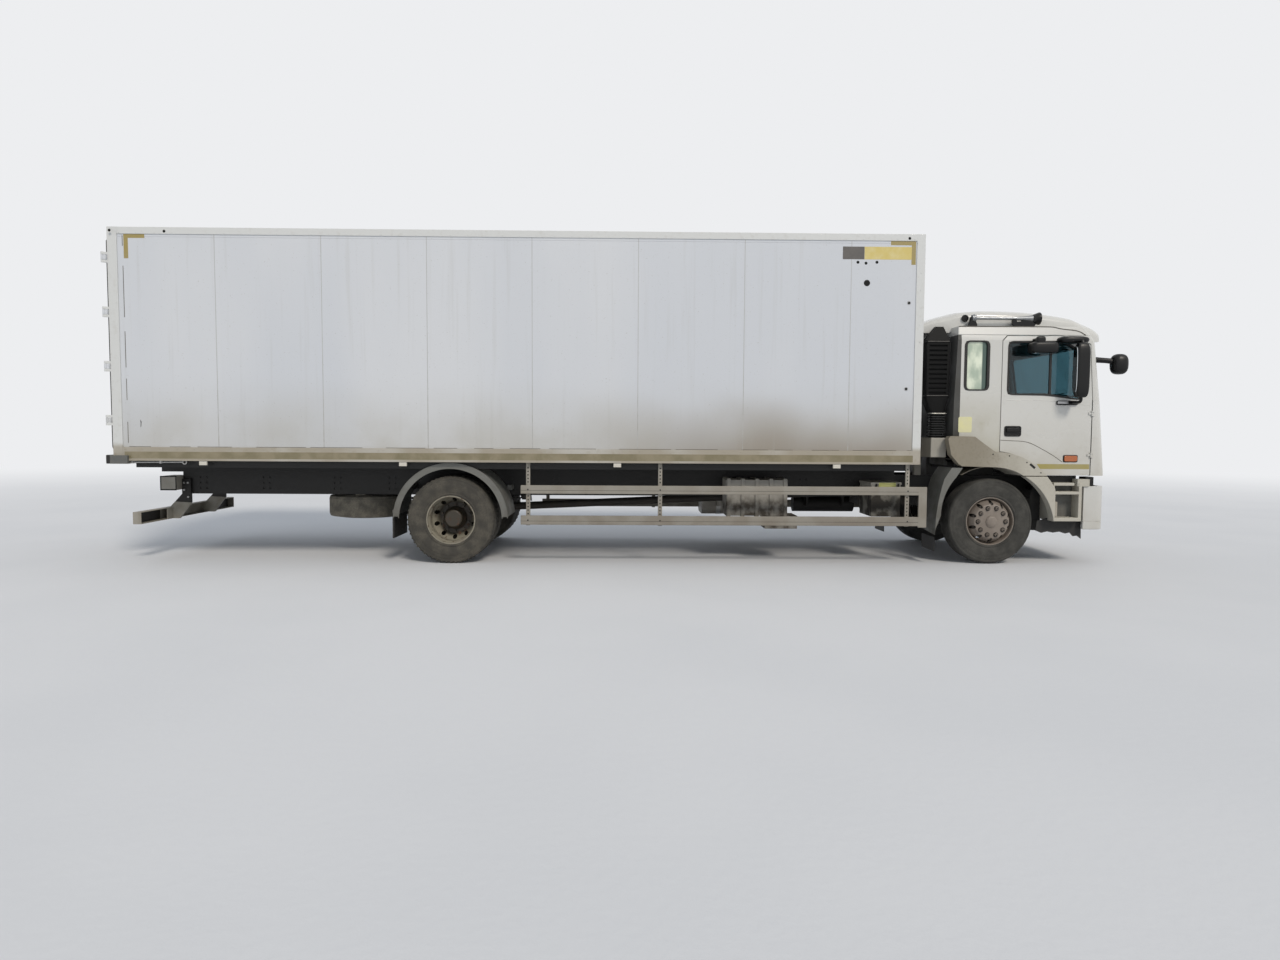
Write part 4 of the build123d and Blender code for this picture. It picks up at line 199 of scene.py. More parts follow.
def reflective_film(name, colour, shade, worn_share):
    """Prismatic reflective film: a tinted sheet of cells under a clear face, faded and dusty; its 4 mm cells are
    drawn at 10 mm so that they show."""

    def finish(tree):
        cells = add_node(tree, "ShaderNodeTexVoronoi", {"Vector": add_node(tree, *OBJECT_PLACE), "Scale": 100.0,
                                                        "Randomness": 0.2}, output="Distance")
        tint = add_node(tree, "ShaderNodeMix", {"Factor": cells, "A": colour, "B": shade}, data_type="RGBA")
        worn = add_node(tree, "ShaderNodeMix", {"Factor": clouds(tree, 180, 0.0, worn_share, 4.0), "A": tint,
                                                "B": "#9A9079"}, data_type="RGBA")
        return {"Base Color": worn, "Roughness": 0.36, "Coat Weight": 0.4,
                "Normal": add_node(tree, "ShaderNodeBump", {"Height": cells, "Distance": 0.0003})}

    return material(name, finish)


def vinyl_sheet(name, colour, faded_colour):
    """Self-adhesive vinyl sheet with nothing printed on it: one colour, bleached in blotches."""

    def finish(tree):
        faded = add_node(tree, "ShaderNodeMix", {"Factor": clouds(tree, 120, 0.0, 0.5, 4.0), "A": colour,
                                                 "B": faded_colour}, data_type="RGBA")
        return {"Base Color": faded, "Roughness": 0.42, "Normal": relief(tree, 25, 0.1)}

    return material(name, finish)


def cab_enamel():
    """Baked cab enamel: glossy white-grey under a clear coat, hazed beige by the road toward the sills."""
    return dusted("baked_enamel", bpy.context.scene.truck_colours.cab, "#A9A497", 1.1, 1.9, 0.45, 0.02, gloss=0.22,
                  matt=0.6, grain_mm=(420, 60), depth_mm=0.12, coat=0.4)


def fender_plastic():
    """Moulded polypropylene: soft sheen and no clear coat, beige with dust specks, darker behind the wheel as painted
    shade and lighter ahead as painted light.
    """

    def finish(tree):
        # spray here is painted shade behind the wheel and painted light ahead of it
        spray = fade(tree, "X", AXLE_X - 0.3, AXLE_X + 0.5, 0.95, 0.15, clouds(tree, 200, -0.05, 0.05))
        film = add_node(tree, "ShaderNodeMath", {0: spray, 1: clouds(tree, 30, 0.0, 0.16, 4.0, between=(0.5, 0.75))},
                        operation="ADD", use_clamp=True)
        return {"Base Color": add_node(tree, "ShaderNodeMix", {"Factor": film, "A": "#B9B6AB", "B": "#857E6F"},
                                       data_type="RGBA"),
                "Roughness": add_node(tree, "ShaderNodeMapRange", {"Value": film, "To Min": 0.4, "To Max": 0.75}),
                "Normal": relief(tree, 18, 0.3)}

    return material("polypropylene_with_painted_shade", finish)


def skirt_plastic():
    """Grey polypropylene of the mudguards: soft sheen under dried splashes."""
    return dusted("grey_polypropylene", "#6F706C", "#57554F", 0.5, 1.3, 0.7, 0.2, gloss=0.42, grain_mm=(120, 14))


def sill_steel():
    """Hot-dip galvanised sill gone dull: mid grey, scuffed and dusty."""
    return dusted("dull_galvanised_steel", "#5D6061", "#6B6860", 1.1, 1.6, 0.5, 0.3, gloss=0.45, metal=0.35,
                  grain_mm=(70, 12))


def heat_paint():
    """Heat-resistant grey paint, dark brown toward the bottom and in patches."""
    return dusted("heat_paint", "#A29F97", "#453F37", 0.66, 0.88, 0.9, 0.15, gloss=0.55, matt=0.9, grain_mm=(110, 12))


def tank_paint_shaded_below():
    """Light grey paint on sheet steel with dust blotches, painted nearly black below the guard rail as shade."""
    return dusted("tank_paint_painted_shade_below", "#A8A59B", "#2C2924", 0.8, 0.9, 0.95, 0.12, gloss=0.4, matt=0.85,
                  grain_mm=(200, 16))


def sprayed_enamel():
    """Baked cab enamel behind the doors, under more of the spray that the front wheels throw up."""
    return dusted("sprayed_baked_enamel", bpy.context.scene.truck_colours.cab, "#A5A18E", 1.3, 2.2, 0.85, 0.02,
                  gloss=0.24, matt=0.7, grain_mm=(420, 60), depth_mm=0.12, coat=0.3)


def shaded_rear_enamel():
    """Cab enamel of the rear wall, painted dark grey as the shade in the gap to the box, darker in blotches and toward
    the bottom.
    """
    return dusted("rear_wall_painted_shade", "#4A4B4A", "#35342F", 1.2, 2.6, 0.8, 0.4, gloss=0.4, matt=0.8)


def weathered_plastic():
    """Black polyethylene of the air intake, gone quite matt in the sun."""
    return dusted("weathered_polyethylene", "#08090A", "#201F1D", 1.0, 2.2, 0.35, 0.04, gloss=0.62, matt=0.85,
                  grain_mm=(160, 7), shine=0.2)


def bumper_paint():
    """Painted glass-fibre bumper: white-grey with a light film of dust."""
    return dusted("painted_fibreglass", "#C6C6C2", "#A8A397", 0.35, 0.9, 0.5, 0.05, gloss=0.28, matt=0.65,
                  grain_mm=(220, 40), depth_mm=0.15, coat=0.3)


def black_plastic():
    """Grained black ABS: low sheen, with grey dust in the grain."""
    return dusted("grained_abs", "#090A0B", "#2E2C2A", 1.0, 2.4, 0.18, 0.01, gloss=0.36, matt=0.7, grain_mm=(140, 6),
                  depth_mm=0.25, shine=0.35)


def chassis_lacquer():
    """Black chassis lacquer dulled by dried mud."""
    return dusted("chassis_lacquer", "#0A0A09", "#2C2924", 0.3, 1.1, 0.5, 0.02, gloss=0.5, matt=0.85,
                  grain_mm=(180, 22))


def primed_casting():
    """Cast and forged steel in black primer: sand-rough, with caked mud, thickest low down."""
    return dusted("primed_casting", "#161514", "#453E36", 0.2, 0.95, 0.7, 0.25, gloss=0.55, matt=0.9, grain_mm=(90, 9),
                  depth_mm=0.8)


def engine_casting():
    """Grey iron casting in oily paint."""
    return dusted("painted_iron", "#3C3F40", "#4E4841", 0.6, 1.4, 0.7, 0.3, gloss=0.4, matt=0.85, grain_mm=(120, 8),
                  depth_mm=0.9)


def anodised():
    """Anodised aluminium extrusion under dried road dust: a dull metal sheen."""
    return dusted("anodised_extrusion", "#9C9990", "#7D766B", 0.3, 1.2, 0.85, 0.4, gloss=0.36, matt=0.72, metal=0.5,
                  grain_mm=(300, 20))


def galvanised():
    """Hot-dip galvanised steel: dull grey with its spangle of about 12 mm, splashed with mud."""
    return dusted("galvanised_steel", "#9A9A95", "#7B7368", 0.4, 1.25, 0.6, 0.15, gloss=0.38, matt=0.8, metal=0.65,
                  grain_mm=(60, 12))


def zinc_plate():
    """Bright zinc plating on hardware: cool grey with faint stains."""
    return dusted("zinc_plating", "#B2B3B4", "#8D887F", 0.8, 2.0, 0.35, 0.08, gloss=0.28, matt=0.55, metal=0.9,
                  grain_mm=(50, 8), depth_mm=0.1)


def tank_paint():
    """Light grey paint on sheet steel, spattered with mud."""
    return dusted("grey_tank_paint", "#A3A097", "#7A7468", 0.4, 1.1, 0.7, 0.25, gloss=0.4, grain_mm=(160, 16))


def brushed_aluminium():
    """Rolled aluminium tank sheet: brushed sheen with water stains."""
    return dusted("brushed_aluminium", "#B6B5B1", "#7D766A", 0.35, 1.1, 0.65, 0.2, gloss=0.3, matt=0.7, metal=0.8,
                  grain_mm=(220, 10), depth_mm=0.12)


def wheel_lacquer(name, clean, dust, rust_from, hub_shade=0.0):
    """Wheel lacquer on pressed steel: dusty, with rust where stones have chipped it and round the holes, and painted
    shade, dark brown, round the hub of the rear axle."""

    def finish(tree):
        dusty = add_node(tree, "ShaderNodeMix", {"Factor": clouds(tree, 180, 0.1, 0.7), "A": clean, "B": dust},
                         data_type="RGBA")
        # painted shade: the rear wheel's dish is darkened round the hub
        if hub_shade:
            middle = add_node(tree, "ShaderNodeMapping", {"Vector": add_node(tree, *OBJECT_PLACE), "Scale": (1, 0, 1),
                                                          "Location": (-REAR_AXLE_X, 0, -WHEEL_Z)})
            radius = add_node(tree, "ShaderNodeVectorMath", {0: middle}, output="Value", operation="LENGTH")
            hub_shade_ramp = add_node(tree, "ShaderNodeMapRange", {"Value": radius, "From Min": 0.185, "From Max": 0.232,
                                                           "To Min": hub_shade, "To Max": 0.0})
            dusty = add_node(tree, "ShaderNodeMix", {"Factor": hub_shade_ramp, "A": dusty, "B": "#2A241B"}, data_type="RGBA")
        rust = clouds(tree, 60, 0.0, 0.9, 6.0, between=(rust_from, rust_from + 0.16))
        return {"Base Color": add_node(tree, "ShaderNodeMix", {"Factor": rust, "A": dusty, "B": "#4C3527"},
                                       data_type="RGBA"),
                "Roughness": add_node(tree, "ShaderNodeMapRange", {"Value": rust, "To Min": 0.5, "To Max": 0.9}),
                "Normal": relief(tree, 10, 0.4)}

    return material(name, finish)


def tread_rubber(name="dusty_tread_rubber", black="#2F2F2C", dust="#484743"):
    """Carbon-black rubber greyed by dried road dust."""

    def finish(tree):
        dusty = add_node(tree, "ShaderNodeMix", {"Factor": clouds(tree, 120, 0.1, 0.9, 5.0), "A": black, "B": dust},
                         data_type="RGBA")
        dusty = add_node(tree, "ShaderNodeMix", {"Factor": clouds(tree, 9, 0.0, 0.4), "A": dusty, "B": "#31302D"},
                         data_type="RGBA")
        return {"Base Color": dusty, "Roughness": 0.85, "Normal": relief(tree, 8, 0.6)}

    return material(name, finish)


def seal_rubber():
    """Extruded EPDM seal: matt black, slightly greyed."""
    return dusted("epdm_seal", "#111112", "#3A3936", 1.0, 3.0, 0.3, 0.1, gloss=0.55, matt=0.8, grain_mm=(60, 5),
                  depth_mm=0.1)


def rubber_gloss():
    """Bellows rubber kept supple and shiny by oil."""
    return material("oiled_bellows_rubber", lambda tree: {"Base Color": linear("#1A1B1B"),
                                                          "Roughness": clouds(tree, 40, 0.2, 0.45)})


def joint_sealant():
    """Polyurethane sealant in the panel joints: grey and matt, with dirt stuck in it."""
    return dusted("joint_sealant", "#BBBDBF", "#98958D", 1.2, 2.6, 0.7, 0.2, gloss=0.6, matt=0.85, grain_mm=(90, 12))


def glass(name, colour):
    """Toughened tinted glass: clear, with its colour cast from the body tint."""
    return material(name, lambda tree: {"Base Color": linear(colour), "Roughness": 0.02, "Transmission Weight": 1.0,
                                        "IOR": 1.5})


def glass_with_painted_light():
    """Tinted glass painted milky green in cloudy patches, which is painted light coming through the cab from the far
    side, darker green along its front edge, with a soft reflection.
    """

    def finish(tree):
        # painted light through the cab from the far side
        through_light = add_node(tree, "ShaderNodeMix", {"Factor": clouds(tree, 160, 0.0, 1.0, 3.0, (1, 1, 0.6)),
                                                 "A": "#A9B8A6", "B": "#E3EBD6"}, data_type="RGBA")
        through_light = add_node(tree, "ShaderNodeMix", {"Factor": fade(tree, "X", AXLE_X - 0.165, AXLE_X - 0.15), "A": through_light,
                                                 "B": "#40574E"}, data_type="RGBA")
        return {"Base Color": through_light, "Roughness": 0.08, "Coat Weight": 0.8, "IOR": 1.5}

    return material("glass_with_painted_light", finish)


def lens(name, colour, clear):
    """Moulded acrylic lens, fluted inside at 25 mm steps: glossy and partly clear over its reflector."""

    def finish(tree):
        flutes = add_node(tree, "ShaderNodeTexWave", {"Vector": add_node(tree, *OBJECT_PLACE),
                                                      "Scale": 2 * math.pi / 0.5}, bands_direction="Z")
        return {"Base Color": linear(colour), "Roughness": 0.1, "Transmission Weight": clear, "IOR": 1.49,
                "Coat Weight": 0.6, "Normal": add_node(tree, "ShaderNodeBump", {"Height": flutes, "Distance": 0.0004})}

    return material(name, finish)


def mirror_glass():
    """Silvered glass: a clear reflection with hardly any tint."""
    return material("silvered_glass", lambda tree: {"Base Color": linear("#D5DADC"), "Metallic": 1.0,
                                                    "Roughness": 0.03})


def seat_cloth():
    """Woven polyester seat cover: plain weave of 1.5 mm threads, drawn at 8 mm so that it shows."""

    def finish(tree):
        threads = [add_node(tree, "ShaderNodeTexWave", {"Vector": add_node(tree, *OBJECT_PLACE), "Scale": 39.0},
                            bands_direction=way) for way in ("Y", "DIAGONAL")]
        weave = add_node(tree, "ShaderNodeMath", {0: threads[0], 1: threads[1]}, operation="MULTIPLY")
        cloth = add_node(tree, "ShaderNodeMix", {"Factor": weave, "A": "#33363B", "B": "#53575E"}, data_type="RGBA")
        cloth = add_node(tree, "ShaderNodeMix", {"Factor": clouds(tree, 140, 0.0, 0.4), "A": cloth, "B": "#67645D"},
                         data_type="RGBA")
        return {"Base Color": cloth, "Roughness": 0.9, "Sheen Weight": 0.35,
                "Normal": add_node(tree, "ShaderNodeBump", {"Height": weave, "Distance": 0.0008})}

    return material("woven_polyester", finish)


def piping_vinyl():
    """Black vinyl piping, softly creased."""
    return material("creased_vinyl", lambda tree: {"Base Color": linear("#1B1B1C"), "Roughness": 0.5,
                                                   "Normal": relief(tree, 14, 0.4)})


def dash_skin():
    """Soft grey dashboard skin with a leather grain of 2 mm, drawn at 8 mm so that it shows."""

    def finish(tree):
        grain = add_node(tree, "ShaderNodeTexVoronoi", {"Vector": add_node(tree, *OBJECT_PLACE), "Scale": 125.0},
                         output="Distance")
        return {"Base Color": add_node(tree, "ShaderNodeMix", {"Factor": clouds(tree, 200, 0.0, 0.5), "A": "#3A3D40",
                                                               "B": "#55554F"}, data_type="RGBA"), "Roughness": 0.6,
                "Normal": add_node(tree, "ShaderNodeBump", {"Height": grain, "Distance": 0.0005})}

    return material("grained_dash_skin", finish)


# Meshes


def flat_object(name, bm, outward=True):
    """An object from a bmesh, with its faces turned outward."""
    if outward:
        bmesh.ops.recalc_face_normals(bm, faces=bm.faces)
    mesh = bpy.data.meshes.new(name)
    bm.to_mesh(mesh)
    bm.free()
    made = bpy.data.objects.new(name, mesh)
    bpy.context.scene.collection.objects.link(made)
    return made


def new_object(name, bm, sharp_angle=35.0, outward=True):
    """An object from a bmesh, smooth where its faces meet by less than sharp_angle degrees."""
    made = flat_object(name, bm, outward)
    for face in made.data.polygons:
        face.use_smooth = True
    made.data.set_sharp_from_angle(angle=math.radians(sharp_angle))
    return made


def applied(obj):
    """The object with its modifiers turned into a plain mesh."""
    evaluated = obj.evaluated_get(bpy.context.evaluated_depsgraph_get())
    mesh = bpy.data.meshes.new_from_object(evaluated)
    obj.modifiers.clear()
    obj.data = mesh
    return obj


def rounded(obj, width, segments):
    """Round the edges that turn by more than 30 degrees, keeping the flats flat to the eye."""
    bevel = obj.modifiers.new("Edges", "BEVEL")
    bevel.width = width
    bevel.segments = segments
    bevel.limit_method = "ANGLE"
    bevel.angle_limit = math.radians(30)
    bevel.harden_normals = True
    return applied(obj)


def dress(obj, body, look, slot, replaces=()):
    """Give a piece its material, its body and the parts that it stands for; slot is not used."""
    obj.data.materials.clear()
    obj.data.materials.append(look)
    if replaces:
        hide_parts(*replaces)
    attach(obj, body)
    return obj


def add_piece(name, bm, body, look, slot, replaces=(), edge=0.0, segments=2, sharp=35.0):
    """A dressed piece from a bmesh; edge is the width that its edges are rounded by."""
    made = new_object(name, bm, sharp)
    return dress(rounded(made, edge, segments) if edge else made, body, look, slot, replaces)


def add_box(bm, corner, opposite):
    """A box between two opposite corners."""
    size = [abs(length) for length in Vector(opposite) - Vector(corner)]
    centre = (Vector(opposite) + Vector(corner)) / 2
    bmesh.ops.create_cube(bm, size=1.0, matrix=Matrix.Translation(centre) @ Matrix.Diagonal((*size, 1.0)))


def add_boxes(name, corners, body, look, slot, **finish):
    """A piece of boxes, each between two opposite corners."""
    bm = bmesh.new()
    for pair in corners:
        add_box(bm, *pair)
    add_piece(name, bm, body, look, slot, **finish)


def push(value, power=4.0):
    """A cosine or sine that bulges a circle toward a square."""
    return math.copysign(abs(value) ** (2 / power), value)


def circle(count):
    """The cosine and sine of even steps round a circle."""
    return [(math.cos(2 * math.pi * k / count), math.sin(2 * math.pi * k / count)) for k in range(count)]


def add_loops(bm, loops, closed=False):
    """Skin between rings of points with as many points each; closed joins the last ring to the first."""
    rings = [[bm.verts.new(point) for point in loop] for loop in loops]
    for near, far in zip(rings, rings[1:] + (rings[:1] if closed else [])):
        for i in range(len(near)):
            following = (i + 1) % len(near)
            bm.faces.new((near[i], near[following], far[following], far[i]))
    if not closed:
        bm.faces.new(rings[0])
        bm.faces.new(list(reversed(rings[-1])))


def add_prism(bm, outline, y_from, y_to, x0=AXLE_X):
    """A side outline of (x from x0, z) points as a block between two Y values."""
    add_loops(bm, [[(x0 + x, y, z) for x, z in outline] for y in (y_from, y_to)])


def add_plate(name, outline, y_from, y_to, body, look, slot, x0=AXLE_X, **finish):
    """A piece that is one block of a side outline."""
    bm = bmesh.new()
    add_prism(bm, outline, y_from, y_to, x0)
    return add_piece(name, bm, body, look, slot, **finish)


def add_ring(bm, inner, outer, y_from, y_to):
    """A frame between two side outlines with as many points, between two Y values."""
    add_loops(bm, [[(AXLE_X + x, y, z) for x, z in outline]
                   for outline, y in ((inner, y_from), (outer, y_from), (outer, y_to), (inner, y_to))], closed=True)


def add_lathe(bm, profile, centre, axis=(0, 1, 0), segments=64):
    """Turn a closed outline of (along, radius) points, all off the axis, about an axis through a centre."""
    direction = Vector(axis).normalized()
    across = direction.orthogonal().normalized()
    up = direction.cross(across)
    add_loops(bm, [[Vector(centre) + along * direction + radius * (c * across + s * up) for c, s in circle(segments)]
                   for along, radius in profile], closed=True)


def add_tube(bm, path, radius, segments=12, closed=False):
    """A round tube along points, of one radius or of one for each point."""
    points = [Vector(p) for p in path]
    count = len(points)
    loops = []
    normal = None
    for i, point in enumerate(points):
        if closed:
            ahead = points[(i + 1) % count] - points[i - 1]
        else:
            ahead = points[min(i + 1, count - 1)] - points[max(i - 1, 0)]
        ahead.normalize()
        if normal is None:
            normal = ahead.orthogonal().normalized()
        normal = (normal - ahead * normal.dot(ahead)).normalized()
        beside = ahead.cross(normal)
        size = radius[i] if isinstance(radius, (list, tuple)) else radius
        loops.append([point + size * (c * normal + s * beside) for c, s in circle(segments)])
    add_loops(bm, loops, closed)


def bent(points, radius, closed=False):
    """Points in any number of dimensions with their corners turned in arcs of about a radius."""
    corners = [Vector(p) for p in points]
    count = len(corners)
    path = [] if closed else [corners[0]]
    for i in range(count) if closed else range(1, count - 1):
        corner = corners[i]
        into, out = corners[i - 1] - corner, corners[(i + 1) % count] - corner
        start = corner + into.normalized() * min(radius, into.length * 0.48)
        end = corner + out.normalized() * min(radius, out.length * 0.48)
        for k in range(TURN_STEPS + 1):
            share = k / TURN_STEPS
            path.append((1 - share) ** 2 * start + 2 * share * (1 - share) * corner + share ** 2 * end)
    if not closed:
        path.append(corners[-1])
    return path


def rectangle(x_low, z_low, x_high, z_high, corner=0.0):
    """The outline of a rectangle, with its corners turned."""
    corners = [(x_low, z_low), (x_high, z_low), (x_high, z_high), (x_low, z_high)]
    return bent(corners, corner, closed=True) if corner else corners


def moved_out(outline, distance):
    """A flat outline moved outward by a distance, or inward by a negative one."""
    area = sum(a[0] * b[1] - b[0] * a[1] for a, b in zip(outline, outline[1:] + outline[:1]))
    way = 1 if area > 0 else -1
    made = []
    for i, point in enumerate(outline):
        before, after = Vector(outline[i - 1][:2]), Vector(outline[(i + 1) % len(outline)][:2])
        along = (after - before).normalized()
        made.append(Vector((point[0] + way * along.y * distance, point[1] - way * along.x * distance)))
    return made


def copied(name, keep):
    """A bmesh of a CAD node with its loose triangles merged and its flat facets joined; keep picks its points."""
    bm = bmesh.new()
    bm.from_mesh(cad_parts[name].data)
    bmesh.ops.remove_doubles(bm, verts=bm.verts, dist=2e-5)
    if keep:
        gone = [v for v in bm.verts if not keep(v.co)]
        bmesh.ops.delete(bm, geom=gone, context="VERTS")
    bmesh.ops.dissolve_limit(bm, angle_limit=math.radians(0.5), verts=bm.verts, edges=bm.edges)
    return bm


def refinish(name, body, look, slot, width, segments=2, keep=None, label="finished"):
    """A copy of a CAD node with rounded edges, put in its place."""
    made = rounded(new_object(f"{name}_{label}", copied(name, keep), outward=False), width, segments)
    return dress(made, body, look, slot, (name,))


# Repeats


def repeat_tree(name, inputs, build):
    """A Geometry Nodes tree with named inputs; what build returns is made real and given its material."""
    tree = bpy.data.node_groups.get(name)
    if tree:
        return tree
    tree = bpy.data.node_groups.new(name, "GeometryNodeTree")
    tree.interface.new_socket("Geometry", in_out="OUTPUT", socket_type="NodeSocketGeometry")
    for label, kind in (("Geometry", "NodeSocketGeometry"), *inputs, ("Material", "NodeSocketMaterial")):
        tree.interface.new_socket(label, in_out="INPUT", socket_type=kind)
    given = tree.nodes.new("NodeGroupInput").outputs
    real = add_node(tree, "GeometryNodeRealizeInstances", {"Geometry": build(tree, given)})
    coloured = add_node(tree, "GeometryNodeSetMaterial", {"Geometry": real, "Material": given["Material"]})
    tree.links.new(coloured, tree.nodes.new("NodeGroupOutput").inputs[0])
    return tree


def repeated(name, bm, tree, values, look):
    """The plain mesh that a tree makes from guide geometry."""
    made = flat_object(name, bm)
    modifier = made.modifiers.new("Repeat", "NODES")
    modifier.node_group = tree
    sockets = {item.name: item.identifier for item in tree.interface.items_tree if item.in_out == "INPUT"}
    for label, value in {**values, "Material": look}.items():
        modifier[sockets[label]] = value
    return applied(made)


def heads_on_points(tree, given):
    """Flat-topped heads at every guide point, facing one direction."""
    head = add_node(tree, "GeometryNodeMeshCone", {"Vertices": given["Sides"], "Radius Top": given["Top radius"],
                                                   "Radius Bottom": given["Radius"], "Depth": given["Height"]})
    turn = add_node(tree, "FunctionNodeAlignRotationToVector", {"Vector": given["Direction"]}, axis="Z")
    return add_node(tree, "GeometryNodeInstanceOnPoints", {"Points": given["Geometry"], "Instance": head,
                                                           "Rotation": turn})


def heads(name, points, direction, radius, height, body, look, slot, sides=8, top=0.7):
    """A piece of rivet, screw or bolt heads at points."""
    bm = bmesh.new()
    for point in points:
        bm.verts.new(point)
    tree = repeat_tree("Heads", (("Sides", "NodeSocketInt"), ("Radius", "NodeSocketFloat"),
                                 ("Top radius", "NodeSocketFloat"), ("Height", "NodeSocketFloat"),
                                 ("Direction", "NodeSocketVector")), heads_on_points)
    values = {"Sides": sides, "Radius": radius, "Top radius": radius * top, "Height": height,
              "Direction": Vector(direction)}
    dress(repeated(name, bm, tree, values, look), body, look, slot)


def copies_along(tree, given):
    """Copies of the guide piece in a straight row."""
    row = add_node(tree, "GeometryNodeMeshLine", {"Count": given["Count"], "Offset": given["Step"]})
    return add_node(tree, "GeometryNodeInstanceOnPoints", {"Points": row, "Instance": given["Geometry"]})


def row_of(name, bm, count, step, body, look, slot):
    """A piece of one shape in a straight row, such as slats or ribs."""
    tree = repeat_tree("Row", (("Count", "NodeSocketInt"), ("Step", "NodeSocketVector")), copies_along)
    dress(repeated(name, bm, tree, {"Count": count, "Step": Vector(step)}, look), body, look, slot)


def copies_round(tree, given):
    """Copies of the guide piece turned about an axis along Y through a centre."""
    spot = add_node(tree, "GeometryNodeMeshLine", {"Count": given["Count"], "Offset": (0.0, 0.0, 0.0)})
    index = add_node(tree, "GeometryNodeInputIndex")
    angle = add_node(tree, "ShaderNodeMath", {0: index, 1: given["Step angle"]}, operation="MULTIPLY")
    turn = add_node(tree, "ShaderNodeCombineXYZ", {"Y": angle})
    rings = add_node(tree, "GeometryNodeInstanceOnPoints", {"Points": spot, "Instance": given["Geometry"],
                                                            "Rotation": turn})
    return add_node(tree, "GeometryNodeTransform", {"Geometry": rings, "Translation": given["Centre"]})


def ring_of(name, bm, count, centre, look):
    """A piece drawn about the Y axis, repeated round a wheel's centre."""
    tree = repeat_tree("Round", (("Count", "NodeSocketInt"), ("Step angle", "NodeSocketFloat"),
                                 ("Centre", "NodeSocketVector")), copies_round)
    return repeated(name, bm, tree, {"Count": count, "Step angle": 2 * math.pi / count, "Centre": Vector(centre)},
                    look)


def joined(name, pieces):
    """Pieces of one material as one object."""
    bm = bmesh.new()
    for piece in pieces:
        bm.from_mesh(piece.data)
        bpy.data.objects.remove(piece)
    return new_object(name, bm, outward=False)


# Settings that a user would change


class TruckColours(bpy.types.PropertyGroup):
    box: FloatVectorProperty(name="Box skin", description="Colour of the clean box panels", subtype="COLOR",
                             default=linear("#D0D3D7"), min=0, max=1)
    cab: FloatVectorProperty(name="Cab paint", description="Colour of the clean cab enamel", subtype="COLOR",
                             default=linear("#CBCBC7"), min=0, max=1)
    tape: FloatVectorProperty(name="Reflective film", description="Colour of the corner and bottom films",
                              subtype="COLOR", default=linear("#AE9A48"), min=0, max=1)
    sheet: FloatVectorProperty(name="Blank sheet", description="Colour of the blank sheet high on the box",
                               subtype="COLOR", default=linear("#CDBB72"), min=0, max=1)


class TruckSizes(bpy.types.PropertyGroup):
    tape_width: FloatProperty(name="Film width", description="Width of the reflective corner film", default=0.05,
                              min=0.03, max=0.08, unit="LENGTH")
    rivet_pitch: FloatProperty(name="Rivet pitch", description="Distance between rivets on the box rails",
                               default=0.2, min=0.05, max=0.5, unit="LENGTH")
    rivet_radius: FloatProperty(name="Rivet radius", description="Radius of a rivet head", default=0.006,
                                min=0.003, max=0.01, unit="LENGTH")
    lug_count: IntProperty(name="Tread blocks", description="Blocks round each shoulder of a drive tyre",
                           default=56, min=30, max=90)
    groove_depth: FloatProperty(name="Groove depth", description="Depth of the tread grooves", default=0.012,
                                min=0.003, max=0.02, unit="LENGTH")
    panel_edge: FloatProperty(name="Panel edge", description="Radius of pressed panel edges", default=0.006,
                              min=0.001, max=0.012, unit="LENGTH")


# Stage


